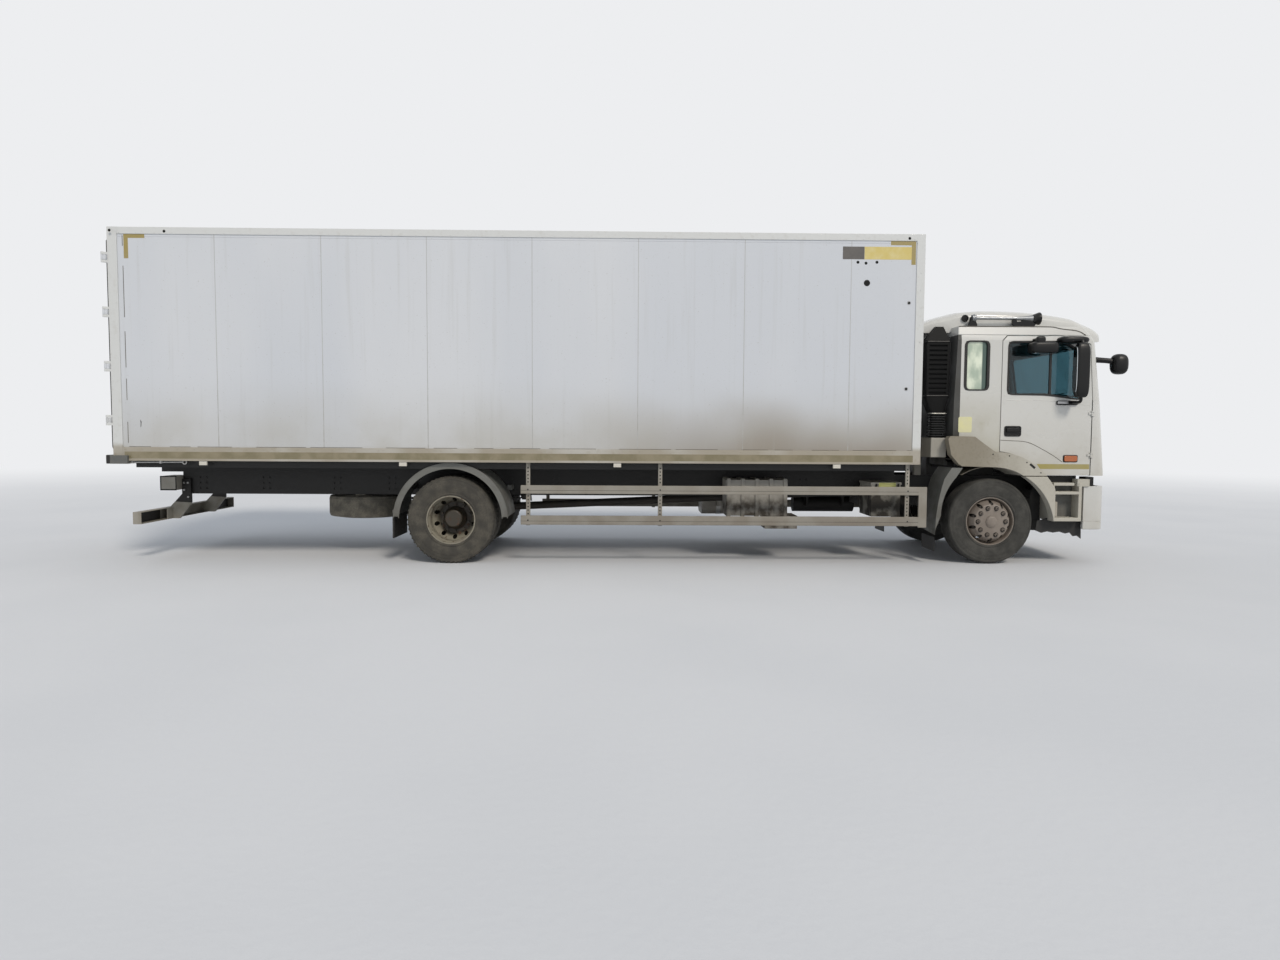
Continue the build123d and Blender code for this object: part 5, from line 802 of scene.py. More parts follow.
class TRUCK_OT_stage(bpy.types.Operator):
    """Make the pale floor, the soft light and the camera at the photograph's viewing angle"""
    bl_idname = "truck.stage"
    bl_label = "Stage"

    def execute(self, context):
        context.scene.view_settings.view_transform = "Standard"
        bm = bmesh.new()
        bmesh.ops.create_circle(bm, cap_ends=True, segments=96, radius=90.0)
        floor = new_object("studio_floor", bm)
        look = bpy.data.materials.new("painted_floor")
        look.use_nodes = True
        tree = look.node_tree
        tree.nodes.clear()
        paint = add_node(tree, "ShaderNodeBsdfPrincipled",
                         {"Base Color": add_node(tree, "ShaderNodeMix", {"Factor": clouds(tree, 2500, 0.0, 0.3),
                                                                         "A": "#DADCDF", "B": "#CFD2D6"},
                                                 data_type="RGBA"), "Roughness": 0.85,
                          "Normal": relief(tree, 60, 1.0)})
        far_off = add_node(tree, "ShaderNodeVectorMath", {0: add_node(tree, *OBJECT_PLACE)}, operation="LENGTH")
        far = add_node(tree, "ShaderNodeMapRange", {"Value": far_off, "From Min": 11.0, "From Max": 34.0},
                       interpolation_type="SMOOTHSTEP")
        horizon = add_node(tree, "ShaderNodeEmission", {"Color": "#EDEEF0"})
        add_node(tree, "ShaderNodeOutputMaterial",
                 {"Surface": add_node(tree, "ShaderNodeMixShader", {0: far, 1: paint, 2: horizon})})
        floor.data.materials.append(look)

        world = bpy.data.worlds.new("Studio air")
        context.scene.world = world
        world.use_nodes = True
        tree = world.node_tree
        tree.nodes.clear()
        path = {name: add_node(tree, "ShaderNodeLightPath", output=name)
                for name in ("Is Camera Ray", "Is Glossy Ray", "Is Transmission Ray")}
        seen = add_node(tree, "ShaderNodeMath", {0: path["Is Camera Ray"], 1: path["Is Glossy Ray"]},
                        operation="MAXIMUM")
        seen = add_node(tree, "ShaderNodeMath", {0: seen, 1: path["Is Transmission Ray"]}, operation="MAXIMUM")
        air = add_node(tree, "ShaderNodeBackground", {"Color": "#E4EAF2", "Strength": 0.62})
        backdrop = add_node(tree, "ShaderNodeBackground", {"Color": "#EDEEF0", "Strength": 1.0})
        add_node(tree, "ShaderNodeOutputWorld",
                 {"Surface": add_node(tree, "ShaderNodeMixShader", {0: seen, 1: air, 2: backdrop})})

        sun = bpy.data.lights.new("Key", "SUN")
        sun.energy = 1.75
        sun.angle = math.radians(14)
        sun.color = linear("#FFF6EA")
        key = bpy.data.objects.new("Key", sun)
        key.rotation_mode = "QUATERNION"
        key.rotation_quaternion = Vector((-0.45, 1.0, -0.95)).to_track_quat("-Z", "Y")
        context.scene.collection.objects.link(key)

        lens_data = bpy.data.cameras.new("Camera")
        lens_data.lens = 23.0
        lens_data.sensor_width = 36.0
        lens_data.sensor_fit = "HORIZONTAL"
        camera = bpy.data.objects.new("Camera", lens_data)
        pitch, yaw, roll = math.radians(3.35), 0.0154, 0.0057
        forward = Vector((math.sin(yaw) * math.cos(pitch), math.cos(yaw) * math.cos(pitch), -math.sin(pitch)))
        camera.location = (0.02, -10.938, 1.576)
        camera.rotation_mode = "QUATERNION"
        camera.rotation_quaternion = forward.to_track_quat("-Z", "Y") @ Quaternion((0, 0, 1), roll)
        context.scene.collection.objects.link(camera)
        context.scene.camera = camera
        return {"FINISHED"}


# Chassis and running gear


def coat(look, *names):
    """Give CAD nodes that stay as they are their material."""
    for name in names:
        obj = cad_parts[name]
        if obj.material_slots:
            for each in obj.material_slots:
                each.material = look
        else:
            obj.data.materials.append(look)


class TRUCK_OT_frame(bpy.types.Operator):
    """Finish the ladder frame with its bolts, the bearers with their edge channels, the engine, axles and springs"""
    bl_idname = "truck.ladder_frame"
    bl_label = "Frame and axles"

    def execute(self, context):
        black = chassis_lacquer()
        coat(black, "frame_rails", "cross_members", "body_bearers", "cross_bearers", "leaf_springs", "air_tanks")
        coat(primed_casting(), "front_axle", "rear_axle", "tie_rod", "steering_knuckle_left", "steering_knuckle_right")
        coat(engine_casting(), "engine")
        channel = [(1.199, 1.209), (1.199, 1.128), (1.15, 1.128), (1.15, 1.134), (1.193, 1.134), (1.193, 1.203),
                   (1.15, 1.203), (1.15, 1.209)]
        for side, sign in SIDES:
            spots = []
            for x in (-5.4, -4.6, -3.7, -3.0, -2.7, -1.5, -0.9, 0.2, 1.3, 2.3, 2.9, 3.6):
                spots += [(x + dx, sign * 0.427, z) for dx in (-0.04, 0.04) for z in (0.83, 0.9, 0.97)]
            heads(f"frame_bolts_{side}", spots, (0, sign, 0), 0.012, 0.012, "chassis", black, "chassis_black", 6, 1.0)
            bm = bmesh.new()
            add_loops(bm, [[(x, sign * y, z) for y, z in channel] for x in (-5.78, 3.42)])
            add_piece(f"edge_channel_{side}", bm, "chassis", black, "chassis_black")
        return {"FINISHED"}


# Wheels

BEAD = 0.287
TYRE_OUTER = 0.5165
DISC_FACE = 0.177
NUT_CIRCLE = 0.1675


def tyre_outline(half, grooves, groove_depth):
    """Closed outline of a tyre in (along, radius): side walls with their ribs, and a tread cut by grooves."""
    side_wall = [(0.115, BEAD), (0.127, 0.292), (0.133, 0.302), (0.1385, 0.306), (0.139, 0.316), (0.1335, 0.322),
                 (0.1405, 0.345), (0.146, 0.372), (half, 0.402), (half, 0.425), (half - 0.0015, 0.428),
                 (half - 0.0015, 0.437), (half - 0.001, 0.44), (0.1425, 0.462), (0.139, 0.478), (0.1415, 0.482),
                 (0.14, 0.494), (0.133, 0.503), (0.122, 0.5105), (0.108, 0.5145)]
    tread = []
    for middle in grooves:
        low, high = middle - 0.007, middle + 0.007
        tread += [(low, TYRE_OUTER), (low + 0.0015, TYRE_OUTER - groove_depth),
                  (high - 0.0015, TYRE_OUTER - groove_depth), (high, TYRE_OUTER)]
    outline = [(-a, r) for a, r in side_wall] + tread + [(a, r) for a, r in reversed(side_wall)]
    return outline + [(0.105, 0.3), (0.125, 0.38), (0.12, 0.47), (0.0, 0.492), (-0.12, 0.47), (-0.125, 0.38),
                      (-0.105, 0.3)]


def tread_blocks(name, centre, facing, sizes):
    """Blocks and the slots between them round one shoulder of a drive tyre."""
    bm = bmesh.new()
    add_prism(bm, [(-0.0115, TYRE_OUTER - 0.016), (0.0115, TYRE_OUTER - 0.016), (0.0105, 0.5195), (-0.0105, 0.5195)],
              facing * 0.068, facing * 0.118, 0.0)
    add_loops(bm, [[(x, facing * y, z) for x, z in ((-0.0115, low), (0.0115, low), (0.0105, high), (-0.0105, high))]
                   for y, low, high in ((0.118, 0.49, 0.5195), (0.138, 0.478, 0.508))])
    return ring_of(name, bm, sizes.lug_count, centre, tread_rubber())


def disc_wheel(name, centre, sign, look):
    """A pressed steel wheel: barrel with turned flanges, dished disc and ten hand holes."""
    bm = bmesh.new()
    barrel = [(-0.125, 0.297), (-0.12, 0.299), (-0.113, 0.297), (-0.112, 0.287), (0.112, 0.287), (0.113, 0.297),
              (0.12, 0.299), (0.125, 0.297), (0.126, 0.282), (0.118, 0.276), (0.093, 0.275), (0.06, 0.262),
              (-0.093, 0.262), (-0.118, 0.276), (-0.126, 0.282)]
    disc = [(0.165, 0.06), (DISC_FACE, 0.06), (DISC_FACE, 0.196), (0.1755, 0.204), (0.17, 0.211), (0.158, 0.219),
            (0.066, 0.2635), (0.052, 0.2635), (0.146, 0.213), (0.16, 0.203), (0.165, 0.192)]
    for outline in (barrel, disc):
        add_lathe(bm, [(sign * a, r) for a, r in outline], centre, segments=96)
    wheel = new_object(name, bm, 40)
    bm = bmesh.new()
    add_loops(bm, [[(0.226 + 0.028 * c, sign * y, 0.022 * s) for c, s in circle(20)] for y in (0.02, 0.26)])
    bmesh.ops.rotate(bm, matrix=Matrix.Rotation(math.radians(18), 3, "Y"), verts=bm.verts)
    holes = ring_of(f"{name}_holes", bm, 10, centre, look)
    cut = wheel.modifiers.new("Hand holes", "BOOLEAN")
    cut.object = holes
    cut.solver = "EXACT"
    applied(wheel)
    bpy.data.objects.remove(holes)
    wheel.data.set_sharp_from_angle(angle=math.radians(40))
    return wheel


def drum(name, centre, sign, near, far, outer, inner, body):
    """A brake drum inside a wheel."""
    bm = bmesh.new()
    add_lathe(bm, [(sign * near, inner), (sign * far, inner), (sign * (far + 0.006), outer - 0.04),
                   (sign * far, outer - 0.006), (sign * (far - 0.008), outer), (sign * near, outer)], centre,
              segments=64)
    add_piece(name, bm, body, primed_casting(), "chassis_black")


class TRUCK_OT_wheels(bpy.types.Operator):
    """Make the tyres with their treads, the front disc wheels, nuts, caps and drums, and finish the rear rims"""
    bl_idname = "truck.wheels"
    bl_label = "Wheels"

    def execute(self, context):
        sizes = context.scene.truck_sizes
        front_paint = wheel_lacquer("beige_wheel_lacquer", "#857C73", "#736A61", 0.68)
        rear_paint = wheel_lacquer("worn_wheel_lacquer_painted_shade", "#848072", "#8A8476", 0.55, 0.93)
        # dark for the greasy stud ends, and painted shadow for the rings round the nuts
        stud_grease_and_nut_shadow = dusted("greased_stud_and_painted_nut_shadow", "#17130F", "#2B251F", 0.2, 0.9, 0.5, 0.3, gloss=0.6, grain_mm=(40, 6))
        rubber, worn_rubber = tread_rubber(), tread_rubber("worn_tread_rubber", "#3A3833", "#565249")
        for side, sign in SIDES:
            coat(rear_paint, f"rear_rims_{side}")
            hub = (AXLE_X, sign * 1.0, WHEEL_Z)
            front = f"front_wheel_{side}"
            bm = bmesh.new()
            add_lathe(bm, tyre_outline(0.1475, (-0.066, -0.022, 0.022, 0.066), sizes.groove_depth), hub, segments=96)
            add_piece(f"front_tyre_{side}_tread", bm, front, rubber, "tyre_rubber", replaces=(f"front_tyre_{side}",),
                      sharp=28)
            bm = bmesh.new()
            blocks = []
            for twin, y in (("outer", 1.09), ("inner", 0.748)):
                centre = (REAR_AXLE_X, sign * y, WHEEL_Z)
                add_lathe(bm, tyre_outline(0.1475, (-0.05, 0.0, 0.05), sizes.groove_depth), centre, segments=96)
                blocks += [tread_blocks(f"blocks_{side}_{twin}_{facing}", centre, facing, sizes) for facing in (-1, 1)]
            add_piece(f"rear_tyres_{side}_tread", bm, f"rear_wheels_{side}", worn_rubber, "tyre_rubber",
                      replaces=(f"rear_tyres_{side}",), sharp=28)
            dress(joined(f"rear_tread_blocks_{side}", blocks), f"rear_wheels_{side}", worn_rubber, "tyre_rubber")

            dress(disc_wheel(f"front_disc_{side}", hub, sign, front_paint), front, front_paint, "front_rim_paint",
                  (f"front_rim_{side}",))
            bm = bmesh.new()
            add_loops(bm, [[(hub[0] + r * c, hub[1] + sign * y, hub[2] + r * s) for c, s in circle(48)]
                           for y, r in ((0.17, 0.072), (0.186, 0.0715), (0.1885, 0.068), (0.1875, 0.064),
                                        (0.1925, 0.058), (0.1955, 0.045), (0.1965, 0.004))])
            add_piece(f"front_cap_{side}", bm, front, front_paint, "front_rim_paint")
            spots = [(hub[0] + NUT_CIRCLE * c, hub[1] + sign * (DISC_FACE - 0.001), hub[2] + NUT_CIRCLE * s)
                     for c, s in circle(10)]
            # the rings round the nuts are painted shadow
            heads(f"painted_nut_shadows_{side}", spots, (0, sign, 0), 0.031, 0.003, front, stud_grease_and_nut_shadow, "front_rim_paint", 20, 0.97)
            heads(f"wheel_nuts_{side}", spots, (0, sign, 0), 0.0205, 0.026, front, front_paint, "front_rim_paint", 6,
                  0.86)
            heads(f"wheel_studs_{side}", spots, (0, sign, 0), 0.011, 0.036, front, stud_grease_and_nut_shadow, "front_rim_paint", 10, 0.85)
            drum(f"front_drum_{side}", hub, sign, 0.025, 0.14, 0.226, 0.052, front)
            drum(f"rear_drum_{side}", (REAR_AXLE_X, 0.0, WHEEL_Z), sign, 0.66, 0.875, 0.245, 0.16,
                 f"rear_wheels_{side}")
        coat(tread_rubber("dry_mud_on_rubber", "#5E5B52", "#857F72"), "spare_wheel")
        return {"FINISHED"}


# Tanks, silencer, battery box and intake


class TRUCK_OT_tanks(bpy.types.Operator):
    """Finish the fuel tank with its straps and cap, the silencer and the battery box with its plain label"""
    bl_idname = "truck.tanks"
    bl_label = "Tanks and boxes"

    def execute(self, context):
        refinish("fuel_tank", "chassis", brushed_aluminium(), "rail_aluminium", 0.012, 3)
        refinish("silencer", "chassis", heat_paint(), "tank_grey", 0.012, 3)
        # the battery box's lower part is painted nearly black as shade
        refinish("battery_box", "chassis", tank_paint_shaded_below(), "tank_grey", 0.01, 3)
        bm = bmesh.new()
        for x in (1.30, 1.99):
            inner = rectangle(0.5, 0.43, 1.12, 0.99, 0.095)
            outer = moved_out([tuple(p) for p in inner], 0.004)
            add_loops(bm, [[(x + dx, p[0], p[1]) for p in loop]
                           for loop, dx in ((inner, -0.03), (outer, -0.03), (outer, 0.03), (inner, 0.03))],
                      closed=True)
        add_piece("tank_straps", bm, "chassis", zinc_plate(), "zinc_steel")
        bm = bmesh.new()
        add_loops(bm, [[(2.09 + r * c, 0.96 + r * s, z) for c, s in circle(32)]
                       for z, r in ((0.99, 0.052), (1.045, 0.052), (1.052, 0.046), (1.053, 0.01))])
        add_piece("tank_cap", bm, "chassis", black_plastic(), "black_plastic")
        add_boxes("battery_label", [((3.09, -1.0212, 0.893), (3.3, -1.008, 0.977))], "chassis",
                  vinyl_sheet("plain_label_vinyl", "#BFC06A", "#CFCB97"), "tank_grey", edge=0.001)
        add_boxes("battery_latches", [((x - 0.012, -1.026, 0.86), (x + 0.012, -1.008, 0.965)) for x in (3.06, 3.33)],
                  "chassis", black_plastic(), "tank_grey", edge=0.003)
        return {"FINISHED"}


class TRUCK_OT_intake(bpy.types.Operator):
    """Finish the air intake behind the cab with its fine louvres, and the filter box below its bellows"""
    bl_idname = "truck.intake"
    bl_label = "Air intake"

    def execute(self, context):
        black = weathered_plastic()
        refinish("air_intake", "chassis", black, "black_plastic", 0.005, 2, keep=lambda p: p.z > 1.5295, label="head")
        refinish("air_intake", "chassis", tank_paint(), "tank_grey", 0.012, 3, keep=lambda p: p.z < 1.5305,
                 label="filter")
        bm = bmesh.new()
        add_prism(bm, rectangle(-0.775, 2.058, -0.55, 2.064), -1.052, -1.078)
        for vert in bm.verts:
            if vert.co.y < -1.07:
                vert.co.z -= 0.01
        row_of("intake_louvres", bm, 22, (0, 0, 0.0285), "chassis", black, "black_plastic")
        bm = bmesh.new()
        for z in (2.035, 2.685):
            path = rectangle(-0.802, -1.077, -0.523, -0.878, 0.012)
            add_tube(bm, [(AXLE_X + p[0], p[1], z) for p in path], 0.008, 8, closed=True)
        add_piece("intake_bands", bm, "chassis", black_plastic(), "black_plastic")
        bm = bmesh.new()
        corners = rectangle(-0.738, -1.07, -0.542, -0.975)
        add_loops(bm, [[(AXLE_X + p[0], p[1], z) for p in bent(moved_out(corners, out), 0.03, closed=True)]
                       for z, out in ((1.548, -0.01), (1.553, 0.0), (1.56, 0.0), (1.565, -0.01))])
        row_of("bellows_ribs", bm, 9, (0, 0, 0.0285), "chassis", rubber_gloss(), "black_plastic")
        bm = bmesh.new()
        add_tube(bm, [(AXLE_X + p[0], p[1], 1.822) for p in bent(corners, 0.03, closed=True)], 0.008, 8, closed=True)
        add_piece("bellows_clip", bm, "chassis", galvanised(), "zinc_steel")
        return {"FINISHED"}


class TRUCK_OT_guards(bpy.types.Operator):
    """Finish the side guards with their perforated uprights, and make the rear underrun guard"""
    bl_idname = "truck.guards"
    bl_label = "Guards"

    def execute(self, context):
        refinish("side_guards", "chassis", anodised(), "rail_aluminium", 0.006, 3)
        hollow = dusted("hole_shadow", "#100F0D", "#26231F", 0.3, 1.2, 0.3, 0.1, gloss=0.8)
        for side, sign in SIDES:
            spots = [(AXLE_X + x, sign * 1.222, 0.6 + 0.042 * i) for x in (-5.58, -4.01, -1.05) for i in range(14)
                     if not 0.83 < 0.6 + 0.042 * i < 0.95]
            spots += [(AXLE_X + x, sign * 1.25, z) for x in (-5.58, -4.01, -1.05) for z in (0.525, 0.89)]
            heads(f"guard_holes_{side}", spots, (0, sign, 0), 0.009, 0.0012, "chassis", hollow, "rail_aluminium", 10,
                  0.95)
            bm = bmesh.new()
            for z in (0.525, 0.89):
                add_prism(bm, rectangle(-5.666, z - 0.012, -0.92, z - 0.009), sign * 1.2505, sign * 1.249)
            add_piece(f"guard_lines_{side}", bm, "chassis", hollow, "rail_aluminium")

        paint = tank_paint()
        bm = bmesh.new()
        beam = [(-5.77, 0.445), (-5.87, 0.445), (-5.87, 0.59), (-5.77, 0.59), (-5.77, 0.582), (-5.862, 0.582),
                (-5.862, 0.453), (-5.77, 0.453)]
        add_prism(bm, beam, -1.143, 1.143, 0.0)
        for sign in (-1, 1):
            add_box(bm, (-5.87, sign * 1.142, 0.445), (-5.77, sign * 1.15, 0.59))
            add_box(bm, (-5.778, sign * 0.425, 0.445), (-5.77, sign * 0.593, 0.59))
            add_prism(bm, [(-5.862, 0.445), (-5.69, 0.445), (-5.54, 0.65), (-5.742, 0.662), (-5.81, 0.59),
                           (-5.862, 0.59)], sign * 0.425, sign * 0.465, 0.0)
        add_piece("underrun_beam", bm, "chassis", paint, "zinc_steel", replaces=("rear_underrun",), edge=0.004)
        bm = bmesh.new()
        for sign in (-1, 1):
            add_prism(bm, [(-5.742, 0.66), (-5.54, 0.648), (-5.54, 0.95), (-5.65, 0.95), (-5.65, 0.76)], sign * 0.425,
                      sign * 0.465, 0.0)
            # a black sheet inside the beam's channel, painted shade in the chassis lacquer
            add_box(bm, (-5.861, sign * 0.6, 0.454), (-5.856, sign * 1.14, 0.581))
        add_piece("underrun_arms_and_channel_shade", bm, "chassis", chassis_lacquer(), "zinc_steel", edge=0.004)
        spots = [(x, y, z) for y in (-0.465, 0.465) for x, z in ((-5.57, 0.72), (-5.57, 0.9), (-5.62, 0.9),
                                                                 (-5.62, 0.81))]
        for side, sign in SIDES:
            heads(f"underrun_bolts_{side}", [p for p in spots if p[1] * sign > 0], (0, sign, 0), 0.014, 0.012,
                  "chassis", zinc_plate(), "zinc_steel", 6, 0.9)
        return {"FINISHED"}


class TRUCK_OT_mudguards(bpy.types.Operator):
    """Finish the rear mudguards with their rolled edges, the rubber flaps and the skirts behind the front wheels"""
    bl_idname = "truck.mudguards"
    bl_label = "Mudguards"

    def execute(self, context):
        plastic = skirt_plastic()
        refinish("mudguards", "chassis", plastic, "dusty_plastic", 0.003, 2, keep=lambda p: p.x < 3.0 or p.z > 0.335,
                 label="arch")
        refinish("mudguards", "chassis", seal_rubber(), "dusty_plastic", 0.003, 2,
                 keep=lambda p: p.x > 3.0 and p.z < 0.335, label="flap")
        for side, sign in SIDES:
            bm = bmesh.new()
            for radius in (0.676, 0.614):
                turns = [math.radians(2 + 4 * k) for k in range(45)]
                add_tube(bm, [(REAR_AXLE_X + radius * math.cos(t), sign * 1.236, WHEEL_Z + radius * math.sin(t))
                              for t in turns], 0.006, 8)
            add_piece(f"mudguard_edges_{side}", bm, "chassis", plastic, "dusty_plastic")
            add_boxes(f"mud_flap_{side}", [((REAR_AXLE_X - 0.69, sign * 0.638, 0.298),
                                            (REAR_AXLE_X - 0.67, sign * 1.222, 0.6))], "chassis", seal_rubber(),
                      "dusty_plastic", edge=0.004)
            bm = bmesh.new()
            add_box(bm, (REAR_AXLE_X - 0.692, sign * 0.658, 0.32), (REAR_AXLE_X - 0.668, sign * 1.202, 0.326))
            row_of(f"flap_ribs_{side}", bm, 9, (0, 0, 0.028), "chassis", seal_rubber(), "dusty_plastic")
        return {"FINISHED"}


# Insulated box

SEAM_X = [-9.18, -7.957, -6.741, -5.52, -4.283, -3.041, -1.794]


def broken_line(start, end, gap_from=0.0):
    """Stretches of a line broken here and there, always the same ones."""
    stretches = []
    place = start
    turn = gap_from
    while place < end:
        turn += 1.7
        length = 0.22 + 0.2 * (1 + math.sin(3.1 * turn))
        stretches.append((place, min(place + length, end)))
        place += length + 0.05 + 0.12 * (1 + math.sin(5.3 * turn))
    return stretches


class TRUCK_OT_box_body(bpy.types.Operator):
    """Finish the panels, edge rails, rear frame and sill of the insulated box"""
    bl_idname = "truck.box_body"
    bl_label = "Box body"

    def execute(self, context):
        skin = gelcoat()
        for name in ("box_side_walls", "box_front_wall", "box_roof"):
            refinish(name, "chassis", skin, "box_skin", 0.003)
        coat(skin, "box_floor")
        paint = rail_paint()
        refinish("box_edge_rails", "chassis", paint, "rail_aluminium", 0.004, 3)
        posts = refinish("box_rear_frame", "chassis", paint, "sill_steel", 0.003)
        for vertex in posts.data.vertices:
            vertex.co.x = max(vertex.co.x, -6.053)
        sill = [((-6.054, -1.317, 1.1735), (-5.998, 1.317, 1.2768))]
        sill += [((-6.003, sign * 1.28, 1.1735), (-5.8, sign * 1.3365, 1.272)) for sign in (-1, 1)]
        add_boxes("rear_sill", sill, "chassis", sill_steel(), "sill_steel", edge=0.005, segments=3)
        buffers = [((-6.055, sign * 1.29, 1.176), (-6.004, sign * 1.3205, 1.274)) for sign in (-1, 1)]
        buffers += [((-6.055, sign * 0.9, 1.185), (-6.05, sign * 1.1, 1.265)) for sign in (-1, 1)]
        add_boxes("sill_buffers", buffers, "chassis", seal_rubber(), "sill_steel", edge=0.004)
        for side, sign in SIDES:
            bm = bmesh.new()
            y = sign * 1.268
            add_tube(bm, [(-5.8, y, 1.19), (-5.2, y, 1.194)], 0.008, 10)
            add_tube(bm, [(-5.175 + 0.022 * c, y, 1.194 + 0.022 * s) for c, s in circle(24)], 0.007, 8, closed=True)
            for x in (-5.78, -5.45):
                add_box(bm, (x - 0.012, y - 0.012, 1.178), (x + 0.012, y + 0.012, 1.214))
            add_piece(f"holdback_rod_{side}", bm, "chassis", zinc_plate(), "zinc_steel")
        return {"FINISHED"}


class TRUCK_OT_box_marks(bpy.types.Operator):
    """Add the panel joints, painted shadow lines along the joints, rivets, screws, reflective film, blank sheet and
    small holes of the box, the holes in painted shade
    """
    bl_idname = "truck.box_marks"
    bl_label = "Joints, rivets and film"

    def execute(self, context):
        sizes = context.scene.truck_sizes
        colours = context.scene.truck_colours
        film = reflective_film("prismatic_film", colours.tape, "#7A7054", 0.25)
        low_film = reflective_film("dusty_prismatic_film", "#7E7557", "#6C654E", 0.45)
        # dark broken lines of painted shadow along the joints at the rail top and at the front and rear corners
        joint_shade = dusted("painted_joint_shadow", "#4A4740", "#6F6A5E", 1.3, 3.0, 0.7, 0.3, gloss=0.7)
        # black for the screw heads and the plug, and painted shade for the small holes and the tear in the skin
        black = dusted("black_screw_and_painted_hole_shade", "#060606", "#151412", 1.0, 3.0, 0.3, 0.1, gloss=0.9)
        paint = rail_paint()
        width = sizes.tape_width
        for side, sign in SIDES:

            def patch(name, boxes, look, slot, y=WALL_Y, thick=0.001):
                near, far = sign * (y - 0.001), sign * (y + thick)
                add_boxes(f"{name}_{side}", [((AXLE_X + x_low, near, z_low), (AXLE_X + x_high, far, z_high))
                                             for x_low, z_low, x_high, z_high in boxes], "chassis", look, slot)

            patch("panel_joints", [(x - 0.004, 1.37, x + 0.004, 3.82) for x in SEAM_X], joint_sealant(), "box_skin")
            # painted shadow lines along the joints
            patch("painted_joint_shadow_lines", [(a - AXLE_X, 1.372, b - AXLE_X, 1.377) for a, b in broken_line(-5.8, 3.38)]
                  + [(-10.232, a, -10.225, b) for a, b in broken_line(1.42, 3.8, 2.0)]
                  + [(-1.028, a, -1.021, b) for a, b in broken_line(1.4, 3.8, 4.0)], joint_shade, "box_skin")
            patch("corner_film", [(-10.215, 3.775, -9.975, 3.775 + min(width, 0.044)),
                                  (-10.215, 3.543, -10.215 + width, 3.775),
                                  (-1.336, 3.772, -1.041, 3.772 + min(width, 0.047)),
                                  (-1.041 - width, 3.548, -1.041, 3.772)], film, "box_skin")
            patch("bottom_film", [(-10.27, 1.236, -1.02, 1.316)], low_film, "rail_aluminium", RAIL_Y, 0.0008)
            patch("rail_lip", [(-10.27, 1.2105, -0.93, 1.222)], paint, "rail_aluminium", RAIL_Y, 0.004)
            pitch = sizes.rivet_pitch
            spots = [(-5.84 + i * pitch, sign * (RAIL_Y + 0.001), z) for i in range(int(9.3 / pitch) + 1)
                     for z in (3.835, 1.345)]
            spots += [(3.445, sign * (RAIL_Y + 0.001), 1.45 + i * pitch) for i in range(int(2.4 / pitch))]
            heads(f"rail_rivets_{side}", spots, (0, sign, 0), sizes.rivet_radius, 0.003, "chassis", paint,
                  "rail_aluminium")
            screws = [(-5.925, sign * 1.3365, 3.85), (-5.323, sign * 1.3005, 3.852), (3.3, sign * 1.3005, 3.85)]
            heads(f"rail_screws_{side}", screws, (0, sign, 0), 0.017, 0.005, "chassis", black, "rail_aluminium", 10)
        sheet = vinyl_sheet("cast_vinyl", colours.sheet, "#D9CFA2")
        blank = [("blank_sheet", (2.777, 3.606, 3.33, 3.752), sheet),
                 ("sheet_border", (2.522, 3.606, 2.775, 3.752), vinyl_sheet("weathered_vinyl", "#545150", "#686560"))]
        for name, (x_low, z_low, x_high, z_high), look in blank:
            add_boxes(name, [((x_low, -WALL_Y - 0.0012, z_low), (x_high, -WALL_Y + 0.001, z_high))], "chassis", look,
                      "box_skin", edge=0.0004)
        # the small holes are flat discs of painted shade
        holes = [(2.701, -WALL_Y, 3.572), (2.796, -WALL_Y, 3.562), (2.924, -WALL_Y, 3.574)]
        heads("small_holes", holes, (0, -1, 0), 0.018, 0.0015, "chassis", black, "box_skin", 12)
        heads("plugged_hole", [(2.812, -WALL_Y, 3.333)], (0, -1, 0), 0.037, 0.006, "chassis", black, "box_skin", 24,
              0.8)
        screws = [(3.312, -WALL_Y, 3.106), (3.302, -WALL_Y, 2.102)]
        heads("screw_washers", screws, (0, -1, 0), 0.024, 0.003, "chassis", zinc_plate(), "box_skin", 20, 0.9)
        heads("panel_screws", screws, (0, -1, 0), 0.017, 0.01, "chassis", black, "box_skin", 10)
        add_plate("skin_tear", [(-5.664, 1.69), (-5.65, 1.664), (-5.655, 1.612), (-5.662, 1.6), (-5.659, 1.65)],
                  -WALL_Y + 0.001, -WALL_Y - 0.001, "chassis", black, "box_skin", 0.0)
        return {"FINISHED"}


class TRUCK_OT_cargo_doors(bpy.types.Operator):
    """Finish the rear doors with their seals and rivets, and their lock bars"""
    bl_idname = "truck.cargo_doors"
    bl_label = "Cargo doors"

    def execute(self, context):
        for side, sign in SIDES:
            body = f"cargo_door_{side}"
            refinish(body, body, gelcoat(), "box_skin", 0.004)
            coat(zinc_plate(), f"cargo_lock_bars_{side}")
            low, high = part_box(body)
            far = max(abs(low[1]), abs(high[1])) - 0.066
            bm = bmesh.new()
            corners = rectangle(0.022, 1.35, far, 3.76)
            add_tube(bm, [(-6.001, sign * p[0], p[1]) for p in bent(corners, 0.03, closed=True)], 0.007, 8,
                     closed=True)
            add_piece(f"door_seal_{side}", bm, body, seal_rubber(), "box_skin")
            spots = [(-6.006, sign * (far - 0.03 - 0.06 * i), z + dz) for z in (1.68, 2.303, 2.927, 3.55)
                     for i in range(4) for dz in (-0.02, 0.02)]
            heads(f"strap_bolts_{side}", spots, (-1, 0, 0), 0.01, 0.01, body, zinc_plate(), "box_skin", 8)
        return {"FINISHED"}


# Cab


